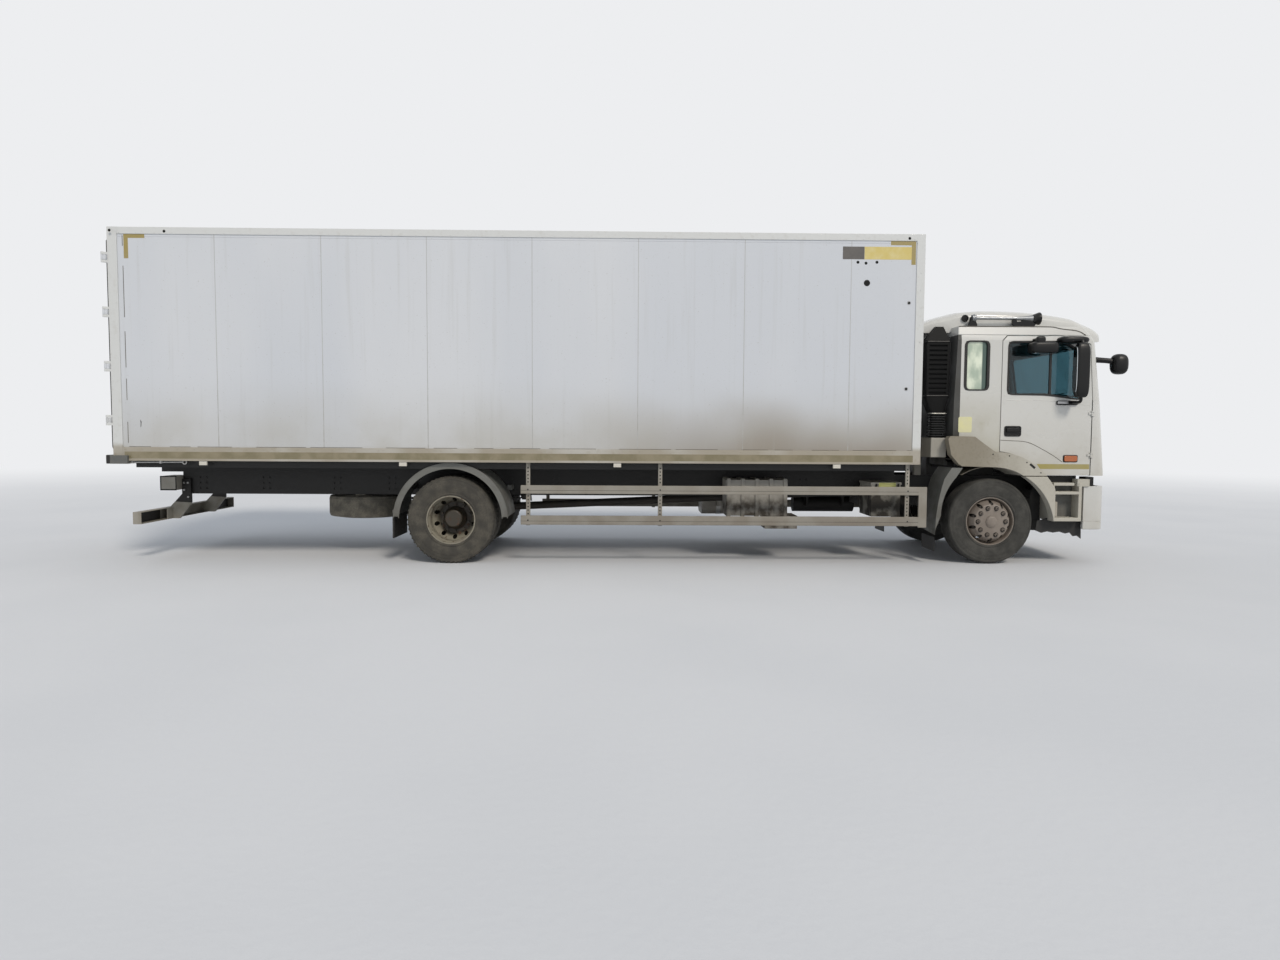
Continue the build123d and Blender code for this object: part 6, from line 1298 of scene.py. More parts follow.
def front_x(y, z):
    """The cab's front face at a place across and a height."""
    stations = ((1.08, 1.395, 1.15, 0.11), (1.95, 1.322, 1.15, 0.11), (2.7, 1.208, 1.15, 0.06),
                (2.87, 1.09, 1.11, 0.06))
    for low, high in zip(stations, stations[1:]):
        if z <= high[0]:
            break
    share = (z - low[0]) / (high[0] - low[0])
    reach, half, corner = (a + (b - a) * share for a, b in zip(low[1:], high[1:]))
    flat = half - corner
    if abs(y) <= flat:
        return AXLE_X + reach + FRONT_BOW * (1 - (y / flat) ** 2)
    return AXLE_X + reach - corner + math.sqrt(max(corner ** 2 - (abs(y) - flat) ** 2, 0.0))


def side_y(z):
    """The cab's side at a height, as a distance from the middle."""
    return SKIN_Y - 0.04 * max(z - 2.7, 0.0) / 0.17


def along(points, x):
    """The height of a line of (x, height) points at x."""
    for (x_low, z_low), (x_high, z_high) in zip(points, points[1:]):
        if x <= x_high:
            return z_low + (z_high - z_low) * max(x - x_low, 0.0) / (x_high - x_low)
    return points[-1][1]


FAIRING_TOP = [(-0.845, 2.925), (-0.6, 3.02), (-0.351, 3.084), (-0.1, 3.103), (0.16, 3.107), (0.42, 3.1),
               (0.671, 3.082), (0.85, 3.06), (1.0, 3.036), (1.13, 3.006), (1.24, 2.972), (1.32, 2.938), (1.38, 2.9),
               (1.415, 2.864), (1.433, 2.828), (1.44, 2.79)]
FAIRING_BASE = [(-0.845, 2.812), (-0.47, 2.812), (-0.43, 2.86), (1.02, 2.86), (1.1, 2.8), (1.19, 2.722), (1.26, 2.706),
                (1.38, 2.712), (1.42, 2.722), (1.44, 2.745)]
FAIRING_HALF = [(-0.845, 0.85), (-0.1, 0.93), (1.1, 0.938), (1.25, 0.934), (1.33, 0.922), (1.38, 0.905), (1.41, 0.88),
                (1.43, 0.845), (1.44, 0.79)]


class TRUCK_OT_cab_shell(bpy.types.Operator):
    """Finish the cab's panels, doors and fenders, and make the roof fairing"""
    bl_idname = "truck.cab_shell"
    bl_label = "Cab shell"

    def execute(self, context):
        edge = context.scene.truck_sizes.panel_edge
        enamel = cab_enamel()
        for name, width, look in (("cab_sides", edge, sprayed_enamel()), ("cab_roof", 0.012, enamel),
                                  ("cab_front_panel", edge, enamel)):
            refinish(name, "cab", look, "cab_paint", width, 3)
        # the rear wall is painted dark grey as shade
        refinish("cab_rear_wall", "cab", shaded_rear_enamel(), "cab_paint", edge, 3)
        for side, sign in SIDES:
            name = f"cab_door_{side}"
            refinish(name, name, enamel, "cab_paint", 0.005, 3)
        refinish("front_fenders", "cab", fender_plastic(), "dusty_plastic", 0.02, 4)
        coat(chassis_lacquer(), "cab_floor")

        stations = [-0.845 + 0.075 * k for k in range(27)] + [1.2, 1.24, 1.275, 1.305, 1.33, 1.352, 1.372, 1.39, 1.405,
                                                              1.417, 1.427, 1.434, 1.44]
        loops = []
        for x in stations:
            top, base, half = (along(line, x) for line in (FAIRING_TOP, FAIRING_BASE, FAIRING_HALF))
            corner = 7.0 - 2.4 * max(x, 0.0)
            loops.append([(AXLE_X + x - 0.05 * abs(c) ** 3 * max(x - 1.1, 0.0), half * push(c, corner),
                           base + (top - base) * push(s, corner)) for c, s in circle(96)[:49]])
        bm = bmesh.new()
        add_loops(bm, loops)
        add_piece("roof_deflector", bm, "cab", enamel, "cab_paint", replaces=("roof_fairing",), sharp=40)
        for side, sign in SIDES:
            bm = bmesh.new()
            add_lathe(bm, [(0.0, 0.026), (sign * 0.008, 0.03), (sign * 0.008, 0.04), (-sign * 0.006, 0.044),
                           (-sign * 0.02, 0.04), (-sign * 0.02, 0.026)], (4.13, sign * 0.925, 2.985), segments=32)
            add_loops(bm, [[(4.13 + 0.028 * c, sign * y, 2.985 + 0.028 * s) for c, s in circle(24)]
                           for y in (0.915, 0.927)])
            add_piece(f"fairing_grommet_{side}", bm, "cab", black_plastic(), "black_plastic")
        return {"FINISHED"}


QUARTER_WINDOW = rectangle(-0.359, 2.104, -0.088, 2.684)
DOOR_WINDOW = [(0.156, 2.055), (0.156, 2.68), (0.822, 2.68), (1.052, 2.56), (1.052, 1.995), (0.612, 2.055)]


class TRUCK_OT_cab_windows(bpy.types.Operator):
    """Glaze the cab and add the rubber seals round its windows and the division bars of the doors"""
    bl_idname = "truck.cab_windows"
    bl_label = "Cab windows"

    def execute(self, context):
        pane = glass("tinted_glass", "#7D9CA4")
        coat(pane, "door_glass_left", "door_glass_right")

        def quarter(p):
            return abs(p.y) > 1.05 and p.x < AXLE_X + 0.05

        dress(new_object("cab_panes", copied("cab_glass", lambda p: not quarter(p)), outward=False), "cab", pane,
              "window_glass", ("cab_glass",))
        # the quarter panes carry painted light from the far side
        dress(new_object("quarter_panes", copied("cab_glass", quarter), outward=False), "cab", glass_with_painted_light(),
              "window_glass", ("cab_glass",))
        rubber = seal_rubber()
        for side, sign in SIDES:
            for name, body, outline, inner, outer, depth in (
                    ("quarter", "cab", QUARTER_WINDOW, -0.018, 0.020, 1.132),
                    ("door", f"cab_door_{side}", DOOR_WINDOW, -0.014, 0.014, 1.112)):
                hole = [tuple(p) for p in bent(moved_out(outline, inner), 0.045, closed=True)]
                rim = [tuple(p) for p in bent(moved_out(outline, outer), 0.07, closed=True)]
                bm = bmesh.new()
                add_ring(bm, hole, rim, sign * depth, sign * (SKIN_Y + 0.007))
                add_piece(f"{name}_window_seal_{side}", bm, body, rubber, "black_plastic", edge=0.003)
            add_boxes(f"window_bar_{side}", [((AXLE_X + 0.662, sign * 1.108, 2.04),
                                              (AXLE_X + 0.69, sign * 1.132, 2.675))], f"cab_door_{side}", rubber,
                      "black_plastic", edge=0.004)
        corners = rectangle(-1.02, 1.985, 1.02, 2.66, 0.08)
        path = []
        for before, after in zip(corners, corners[1:] + corners[:1]):
            steps = max(int((after - before).length / 0.05), 1)
            path += [before.lerp(after, k / steps) for k in range(steps)]
        bm = bmesh.new()
        add_tube(bm, [(front_x(p.x, p.y) - 0.001, p.x, p.y) for p in path], 0.013, 8, closed=True)
        add_piece("windscreen_seal", bm, "cab", rubber, "black_plastic")
        return {"FINISHED"}


def swollen_box(bm, corner, opposite, power):
    """A box with fully rounded sides, like a moulded mirror housing."""
    centre = (Vector(corner) + Vector(opposite)) / 2
    half = [abs(length) / 2 for length in Vector(opposite) - Vector(corner)]
    loops = []
    for i in range(SWOLLEN_RINGS + 1):
        lean = math.pi * (0.012 + 0.976 * i / SWOLLEN_RINGS) - math.pi / 2
        wide, tall = push(math.cos(lean), power), push(math.sin(lean), power)
        loops.append([(centre.x + half[0] * wide * push(c, power), centre.y + half[1] * wide * push(s, power),
                       centre.z + half[2] * tall) for c, s in circle(SWOLLEN_POINTS)])
    add_loops(bm, loops)


class TRUCK_OT_mirrors(bpy.types.Operator):
    """Make the door mirrors, the kerb mirror, the front mirror and the recessed door handles"""
    bl_idname = "truck.mirrors"
    bl_label = "Mirrors and handles"

    def execute(self, context):
        black = black_plastic()
        silver = mirror_glass()
        for side, sign in SIDES:
            body, node = f"cab_door_{side}", f"door_mirror_{side}"
            bm = bmesh.new()

            def housing(x_low, x_high, y_low, y_high, z_low, z_high, power=5.0):
                swollen_box(bm, (AXLE_X + x_low, sign * y_low, z_low), (AXLE_X + x_high, sign * y_high, z_high), power)

            def arm(points, radius):
                add_tube(bm, bent([(AXLE_X + x, sign * y, z) for x, y, z in points], 0.05), radius, 10)

            housing(0.85, 1.006, 1.285, 1.418, 2.01, 2.65)
            housing(0.69, 1.05, 1.155, 1.34, 2.65, 2.738, 3.0)
            arm([(0.93, 1.15, 2.7), (0.94, 1.33, 2.7), (0.935, 1.345, 2.6)], 0.02)
            arm([(0.935, 1.345, 2.05), (0.945, 1.335, 1.958), (0.92, 1.15, 1.958)], 0.018)
            housing(0.745, 1.005, 1.148, 1.176, 1.928, 1.982, 6.0)
            add_piece(f"mirror_housing_{side}", bm, body, black, "black_plastic", replaces=(node,), sharp=50)
            bm = bmesh.new()
            add_loops(bm, [[(AXLE_X + x, sign * (1.352 + 0.048 * push(c)), 2.335 + 0.27 * push(s))
                            for c, s in circle(40)] for x in (0.8475, 0.86)])
            add_piece(f"mirror_glass_{side}", bm, body, silver, "black_plastic")
            add_boxes(f"mirror_foot_strip_{side}", [((AXLE_X + 0.752, sign * 1.17, 1.944),
                                                     (AXLE_X + 0.88, sign * 1.18, 1.974))], body, zinc_plate(),
                      "black_plastic", edge=0.003)
            bm = bmesh.new()
            frame_in = rectangle(0.146, 1.565, 0.315, 1.66, 0.02)
            frame_out = rectangle(0.128, 1.549, 0.333, 1.675, 0.03)
            add_ring(bm, frame_in, frame_out, sign * 1.146, sign * 1.158)
            add_prism(bm, frame_in, sign * 1.146, sign * 1.1515)
            add_piece(f"handle_recess_{side}", bm, body, black, "black_plastic", edge=0.003)
            bm = bmesh.new()
            add_prism(bm, rectangle(0.15, 1.604, 0.308, 1.65, 0.014), sign * 1.16, sign * 1.174)
            add_prism(bm, rectangle(0.15, 1.62, 0.175, 1.645), sign * 1.148, sign * 1.165)
            add_piece(f"handle_paddle_{side}", bm, body, black, "black_plastic", edge=0.005, segments=3)

        bm = bmesh.new()
        swollen_box(bm, (4.745, -1.405, 2.528), (5.06, -1.225, 2.658), 5.0)
        add_tube(bm, bent([(4.87, -1.31, 2.62), (4.87, -1.31, 2.702), (4.87, -1.145, 2.702)], 0.04), 0.016, 10)
        swollen_box(bm, (4.82, -1.345, 2.635), (4.925, -1.285, 2.728), 4.0)
        add_piece("kerb_mirror", bm, "cab_door_right", black, "black_plastic", replaces=("door_mirror_right",),
                  sharp=50)
        bm = bmesh.new()
        add_loops(bm, [[(4.897 + 0.105 * push(c), -1.315 + 0.045 * push(s), z) for c, s in circle(40)]
                       for z in (2.5285, 2.54)])
        add_piece("kerb_mirror_glass", bm, "cab_door_right", silver, "black_plastic")

        bm = bmesh.new()
        swollen_box(bm, (5.862, -1.165, 2.305), (6.05, -0.985, 2.552), 2.8)
        add_tube(bm, [(front_x(-1.0, 2.5) - 0.03, -0.99, 2.495), (5.72, -1.02, 2.482), (5.8, -1.05, 2.474),
                      (5.9, -1.07, 2.462)], [0.036, 0.034, 0.032, 0.034], 12)
        add_piece("front_mirror_head", bm, "cab", black, "black_plastic", replaces=("front_mirror",), sharp=50)
        bm = bmesh.new()
        add_loops(bm, [[(x, -1.075 + r * c, 2.42 + 1.2 * r * s) for c, s in circle(36)]
                       for x, r in ((5.89, 0.06), (5.874, 0.052), (5.872, 0.01))])
        add_piece("front_mirror_glass", bm, "cab", silver, "black_plastic")
        return {"FINISHED"}


class TRUCK_OT_horns(bpy.types.Operator):
    """Make the chrome air horns on their black brackets"""
    bl_idname = "truck.horns"
    bl_label = "Air horns"

    def execute(self, context):
        chrome = material("chromed_brass", lambda tree: {"Base Color": linear("#8E9194"), "Metallic": 0.9,
                                                         "Normal": relief(tree, 60, 0.15),
                                                         "Roughness": clouds(tree, 90, 0.3, 0.5)})
        black = black_plastic()
        trumpets, brackets = bmesh.new(), bmesh.new()
        for sign in (-1, 1):
            centre = (AXLE_X, sign * 1.01, 2.975)
            add_lathe(trumpets, [(-0.205, 0.006), (-0.205, 0.018), (0.24, 0.02), (0.36, 0.024), (0.44, 0.031),
                                 (0.505, 0.046), (0.503, 0.042), (0.43, 0.026), (0.3, 0.017), (0.1, 0.006)], centre,
                      (1, 0, 0), 40)
            add_lathe(trumpets, [(-0.247, 0.004), (-0.247, 0.03), (-0.243, 0.04), (-0.226, 0.042), (-0.222, 0.046),
                                 (-0.214, 0.046), (-0.21, 0.042), (-0.196, 0.038), (-0.19, 0.016), (-0.19, 0.004)],
                      centre, (1, 0, 0), 40)
            add_lathe(brackets, [(0.49, 0.044), (0.53, 0.06), (0.565, 0.0745), (0.578, 0.0745), (0.565, 0.062),
                                 (0.505, 0.04), (0.49, 0.01), (0.488, 0.01), (0.489, 0.044)], centre, (1, 0, 0), 40)
            for outline in ([(-0.300, 2.866), (-0.180, 2.866), (-0.185, 2.905), (-0.225, 2.985), (-0.262, 2.985),
                             (-0.270, 2.930)],
                            [(0.245, 2.905), (0.300, 2.866), (0.500, 2.866), (0.530, 2.905), (0.475, 2.945),
                             (0.420, 2.975), (0.370, 2.975), (0.360, 2.935), (0.300, 2.935), (0.290, 2.980),
                             (0.250, 2.980)]):
                add_prism(brackets, outline, sign * 0.992, sign * 1.03)
        add_piece("air_horn_trumpets", trumpets, "cab", chrome, "zinc_steel", replaces=("air_horns",), sharp=30)
        add_piece("air_horn_brackets", brackets, "cab", black, "black_plastic", edge=0.002, sharp=30)
        return {"FINISHED"}


class TRUCK_OT_cab_trim(bpy.types.Operator):
    """Add the indicators, creases, rain gutters, film, grille and wipers of the cab"""
    bl_idname = "truck.cab_trim"
    bl_label = "Cab trim"

    def execute(self, context):
        black = black_plastic()
        crease = dusted("shaded_crease", "#5E5B54", "#6F6A60", 1.1, 2.6, 0.5, 0.2, gloss=0.6)
        band = reflective_film("road_side_film", "#A89B4E", "#8B8254", 0.35)
        pale = vinyl_sheet("bleached_vinyl", "#D9D5A0", "#CFCCAF")
        orange = lens("amber_lens", "#B5622F", 0.1)
        gutter = [(-0.44, 2.862), (0.7, 2.866), (0.8, 2.838), (1.0, 2.822), (1.085, 2.765)]
        for side, sign in SIDES:
            door = f"cab_door_{side}"

            def strip(name, body, points, radius, look, lift=0.0):
                path = bent(points, 0.1)
                bm = bmesh.new()
                add_tube(bm, [(AXLE_X + p[0], sign * (side_y(p[1]) + lift), p[1]) for p in path], radius, 8)
                add_piece(f"{name}_{side}", bm, body, look, "cab_paint")

            def plate(name, body, outline, y_from, y_to, look, slot, width=0.0):
                add_plate(f"{name}_{side}", outline, sign * y_from, sign * y_to, body, look, slot, edge=width,
                          segments=3)

            strip("rain_gutter", "cab", gutter, 0.0055, crease, 0.002)
            strip("door_crease", door, [(0.088, 1.504), (0.422, 1.49), (0.718, 1.334), (0.845, 1.245)], 0.0035, crease)
            # a black strip of painted shade in the door's front gap, drawn with the black plastic
            plate("door_gap_painted_shade", door, rectangle(1.186, 1.09, 1.192, 1.99), 1.148, 1.1512, black, "black_plastic")
            strip("belt_crease", door, [(0.15, 1.985), (0.6, 1.985), (1.16, 1.925)], 0.003, cab_enamel())
            plate("side_film", door, [(0.578, 1.16), (1.176, 1.16), (1.176, 1.219), (0.536, 1.219)], 1.149, 1.151,
                  band, "cab_paint")
            plate("faded_sheet", "cab", rectangle(-0.428, 1.595, -0.266, 1.782, 0.02), 1.149, 1.151, pale, "cab_paint")
            plate("indicator_base", door, rectangle(0.852, 1.243, 1.03, 1.33, 0.02), 1.148, 1.156, black,
                  "black_plastic", 0.002)
            plate("indicator_lens", door, rectangle(0.862, 1.252, 1.02, 1.321, 0.02), 1.15, 1.17, orange, "lamp_lens",
                  0.006)
            c, s = math.cos(math.radians(-40)), math.sin(math.radians(-40))
            corners = [(0.452 + a * c - b * s, 1.196 + a * s + b * c)
                       for a, b in rectangle(-0.04, -0.015, 0.04, 0.015)]
            plate("fender_clip", "cab", corners, 1.214, 1.2205, black, "black_plastic", 0.002)
            turns = [math.radians(a) for a in (47, 62, 78, 92)]
            spots = [(AXLE_X + 0.815 * math.cos(t), sign * 1.218, WHEEL_Z + 0.815 * math.sin(t)) for t in turns]
            heads(f"fender_screws_{side}", spots, (0, sign, 0), 0.01, 0.004, "cab", black, "dusty_plastic", 10)
            bm = bmesh.new()
            y = sign * 0.62
            foot = Vector((front_x(y, 1.955) + 0.012, y, 1.955))
            tip = (y - sign * 0.5, 2.1)
            add_tube(bm, [foot, (front_x(y - sign * 0.2, 2.02) + 0.03, y - sign * 0.2, 2.02),
                          (front_x(*tip) + 0.024, *tip)], [0.012, 0.008, 0.006], 8)
            add_tube(bm, [(front_x(y - sign * s, 2.045 + 0.1 * s) + 0.012, y - sign * s, 2.045 + 0.1 * s)
                          for s in (0.16, 0.28, 0.4, 0.52, 0.64, 0.76)], 0.007, 6)
            add_lathe(bm, [(-0.02, 0.006), (-0.02, 0.022), (0.014, 0.02), (0.018, 0.014), (0.018, 0.006)], foot,
                      (1, 0, 0), 20)
            add_piece(f"wiper_{side}", bm, "cab", black, "black_plastic")

        bm = bmesh.new()
        columns = [-0.66 + 0.066 * k for k in range(21)]
        lean = (front_x(0, 1.9) - front_x(0, 1.3)) / 0.6
        add_loops(bm, [[(front_x(y, 1.32) + dx, y, 1.32 + dz)
                        for dx, dz in ((-0.006, -0.018), (0.012, -0.012), (0.014, 0.01), (-0.006, 0.018))]
                       for y in columns])
        row_of("grille_slats", bm, 8, (lean * 0.062, 0, 0.062), "cab", black, "black_plastic")
        bm = bmesh.new()
        add_loops(bm, [[(front_x(y, z) + dx, y, z) for dx, z in rectangle(-0.004, 1.275, 0.004, 1.79)]
                       for y in columns])
        add_piece("grille_panel", bm, "cab", crease, "black_plastic")
        bm = bmesh.new()
        for z_low, z_high in ((1.262, 1.276), (1.790, 1.804)):
            add_loops(bm, [[(front_x(y, z) + dx, y, z) for dx, z in rectangle(-0.004, z_low, 0.016, z_high)]
                           for y in columns])
        for y in (-0.672, 0.660):
            add_loops(bm, [[(front_x(y, z) + dx, y + dy, z) for dx, dy in rectangle(-0.004, 0, 0.016, 0.012)]
                           for z in (1.262, 1.804)])
        add_piece("grille_frame", bm, "cab", cab_enamel(), "cab_paint", edge=0.003)
        return {"FINISHED"}


SEAT_Y = 0.6


def pad(name, outline, corner, y_from, y_to, reach, voxel=0.012):
    """A seat pad: a block of a side outline with turned corners, blown up softly as cloth, no point moving further
    than reach, and smoothed."""
    bm = bmesh.new()
    add_prism(bm, bent(outline, corner, closed=True), y_from, y_to)
    piece = new_object(name, bm)
    even = piece.modifiers.new("Even faces", "REMESH")
    even.mode = "VOXEL"
    even.voxel_size = voxel
    applied(piece)
    start = [v.co.copy() for v in piece.data.vertices]
    cloth = piece.modifiers.new("Cover", "CLOTH")
    cloth.settings.quality = 4
    cloth.settings.use_pressure = True
    cloth.settings.uniform_pressure_force = 4.0
    cloth.settings.effector_weights.gravity = 0.0
    cloth.point_cache.frame_start = 1
    cloth.point_cache.frame_end = CLOTH_FRAMES
    for step in range(1, CLOTH_FRAMES + 1):
        bpy.context.scene.frame_set(step)
    applied(piece)
    bpy.context.scene.frame_set(1)
    for vert, before in zip(piece.data.vertices, start):
        moved = vert.co - before
        if moved.length > reach:
            vert.co = before + moved.normalized() * reach
    smooth = piece.modifiers.new("Smooth", "SUBSURF")
    smooth.levels = smooth.render_levels = 1
    applied(piece)
    for face in piece.data.polygons:
        face.use_smooth = True
    return piece


def shifted(name, source, step):
    """Another piece of the same mesh, moved over."""
    bm = bmesh.new()
    bm.from_mesh(source.data)
    bmesh.ops.translate(bm, vec=step, verts=bm.verts)
    return new_object(name, bm, 60, outward=False)


class TRUCK_OT_seats(bpy.types.Operator):
    """Upholster the seats and the bunk as blown-up pads with piping, on their pedestals"""
    bl_idname = "truck.seats"
    bl_label = "Seats and bunk"

    def execute(self, context):
        cloth, trim = seat_cloth(), piping_vinyl()
        cushion = [(-0.01, 1.575), (0.495, 1.575), (0.505, 1.64), (0.45, 1.655), (0.11, 1.64), (0.0, 1.66)]
        back = [(-0.075, 2.18), (-0.03, 2.19), (0.03, 1.92), (0.085, 1.68), (0.02, 1.64), (-0.025, 1.6)]
        headrest = [(-0.09, 2.235), (-0.03, 2.235), (-0.028, 2.38), (-0.08, 2.385)]
        forms = (("seat_cushion", cushion, 0.225), ("seat_back", back, 0.22), ("headrest", headrest, 0.11))
        first = {}
        for label, outline, half in forms:
            for side, sign in SIDES:
                name = f"{label}_{side}"
                if label in first:
                    piece = shifted(name, first[label], (0, 2 * SEAT_Y, 0))
                else:
                    piece = first[label] = pad(name, outline, 0.025, -SEAT_Y - half, -SEAT_Y + half, 0.022)
                dress(piece, "cab", cloth, "seat_fabric", ("seats",))
        bunk = pad("bunk_mattress", rectangle(-0.415, 1.56, -0.14, 1.655), 0.03, -1.065, 1.065, 0.018, 0.014)
        dress(bunk, "cab", cloth, "seat_fabric", ("seats",))
        for side, sign in SIDES:
            y = sign * SEAT_Y
            bm = bmesh.new()
            for edge in (-0.236, 0.236):
                for path in ([(-0.01, 1.64), (0.11, 1.652), (0.46, 1.668), (0.516, 1.642), (0.508, 1.585)],
                             [(0.05, 1.7), (-0.012, 2.15), (-0.05, 2.195), (-0.085, 2.15)]):
                    add_tube(bm, bent([(AXLE_X + x, y + edge, z) for x, z in path], 0.04), 0.005, 8)
            for half in (-0.05, 0.05):
                add_tube(bm, [(AXLE_X - 0.055, y + half, 2.16), (AXLE_X - 0.058, y + half, 2.26)], 0.006, 8)
            add_piece(f"seat_piping_{side}", bm, "cab", trim, "seat_fabric")
            bm = bmesh.new()
            add_prism(bm, bent([(0.02, 1.232), (0.22, 1.232), (0.205, 1.548), (0.035, 1.548)], 0.02, closed=True),
                      y - 0.165, y + 0.165)
            add_prism(bm, rectangle(-0.03, 1.548, 0.5, 1.572, 0.01), y - 0.235, y + 0.235)
            add_piece(f"seat_base_{side}", bm, "cab", black_plastic(), "black_plastic", edge=0.006)
        add_boxes("bunk_board", [((4.0, -1.085, 1.541), (4.292, 1.085, 1.562))], "cab", black_plastic(),
                  "black_plastic", edge=0.004)
        return {"FINISHED"}


class TRUCK_OT_dashboard(bpy.types.Operator):
    """Finish the dashboard, and make the steering wheel, the dials and the gear lever"""
    bl_idname = "truck.dashboard"
    bl_label = "Dashboard"

    def execute(self, context):
        skin = dash_skin()
        bm = copied("dashboard", lambda p: p.x > 5.345)
        bmesh.ops.holes_fill(bm, edges=[e for e in bm.edges if e.is_boundary], sides=0)
        add_piece("dashboard_moulding", bm, "cab", skin, "black_plastic", replaces=("dashboard",), edge=0.012,
                  segments=3)
        normal = Vector((-0.55, 0, 0.83)).normalized()
        centre = Vector((AXLE_X + 0.805, 0.56, 1.79)) + normal * 0.012
        across = Vector((0, 1, 0))
        up = normal.cross(across)
        bm = bmesh.new()
        add_tube(bm, [centre + 0.209 * (c * across + s * up) for c, s in circle(48)], 0.015, 12, closed=True)
        for c, s in circle(4):
            spoke = c * across + s * up
            add_tube(bm, [centre + 0.03 * spoke - 0.01 * normal, centre + 0.12 * spoke - 0.008 * normal,
                          centre + 0.203 * spoke], [0.016, 0.012, 0.01], 10)
        add_lathe(bm, [(-0.02, 0.004), (-0.02, 0.05), (0.004, 0.046), (0.01, 0.036), (0.012, 0.004)], centre, normal,
                  32)
        add_tube(bm, [centre - 0.02 * normal, centre - 0.34 * normal], 0.03, 16)
        add_piece("steering_wheel", bm, "cab", skin, "black_plastic")
        add_plate("instrument_hood", bent([(0.935, 1.7), (0.965, 1.86), (1.06, 1.945), (1.18, 1.945), (1.18, 1.7)],
                                          0.03, closed=True), 0.34, 0.78, "cab", skin, "black_plastic", edge=0.01,
                  segments=3)
        bm = bmesh.new()
        for y in (0.47, 0.65):
            add_lathe(bm, [(-0.004, 0.002), (-0.004, 0.062), (0.004, 0.062), (0.004, 0.055), (0.0, 0.054),
                           (0.0, 0.002)], (AXLE_X + 0.948, y, 1.79), (-1, 0, 0.19), 32)
        add_piece("dials", bm, "cab", zinc_plate(), "black_plastic")
        bm = bmesh.new()
        add_tube(bm, [(AXLE_X + 0.66, 0.1, 1.541), (AXLE_X + 0.63, 0.1, 1.66), (AXLE_X + 0.615, 0.1, 1.75)],
                 [0.018, 0.01, 0.009], 10)
        swollen_box(bm, (AXLE_X + 0.59, 0.072, 1.74), (AXLE_X + 0.64, 0.128, 1.81), 2.4)
        add_piece("gear_lever", bm, "cab", skin, "black_plastic")
        return {"FINISHED"}


def bumper_x(y):
    """The bumper's front face at a place across."""
    return AXLE_X + 1.38 + FRONT_BOW * (1 - (y / 1.06) ** 2)


class TRUCK_OT_bumper(bpy.types.Operator):
    """Finish the bumper and its lip, and add the bars across its air opening"""
    bl_idname = "truck.bumper"
    bl_label = "Bumper"

    def execute(self, context):
        paint = bumper_paint()
        for name in ("front_bumper", "bumper_lip"):
            refinish(name, "chassis", paint, "cab_paint", 0.01, 3)
        bm = bmesh.new()
        add_loops(bm, [[(bumper_x(y) - 0.035, y, 0.545), (bumper_x(y) - 0.012, y, 0.548),
                        (bumper_x(y) - 0.012, y, 0.56), (bumper_x(y) - 0.035, y, 0.563)]
                       for y in (-0.565 + 0.113 * k for k in range(11))])
        row_of("air_opening_bars", bm, 4, (0, 0, 0.026), "chassis", black_plastic(), "black_plastic")
        return {"FINISHED"}


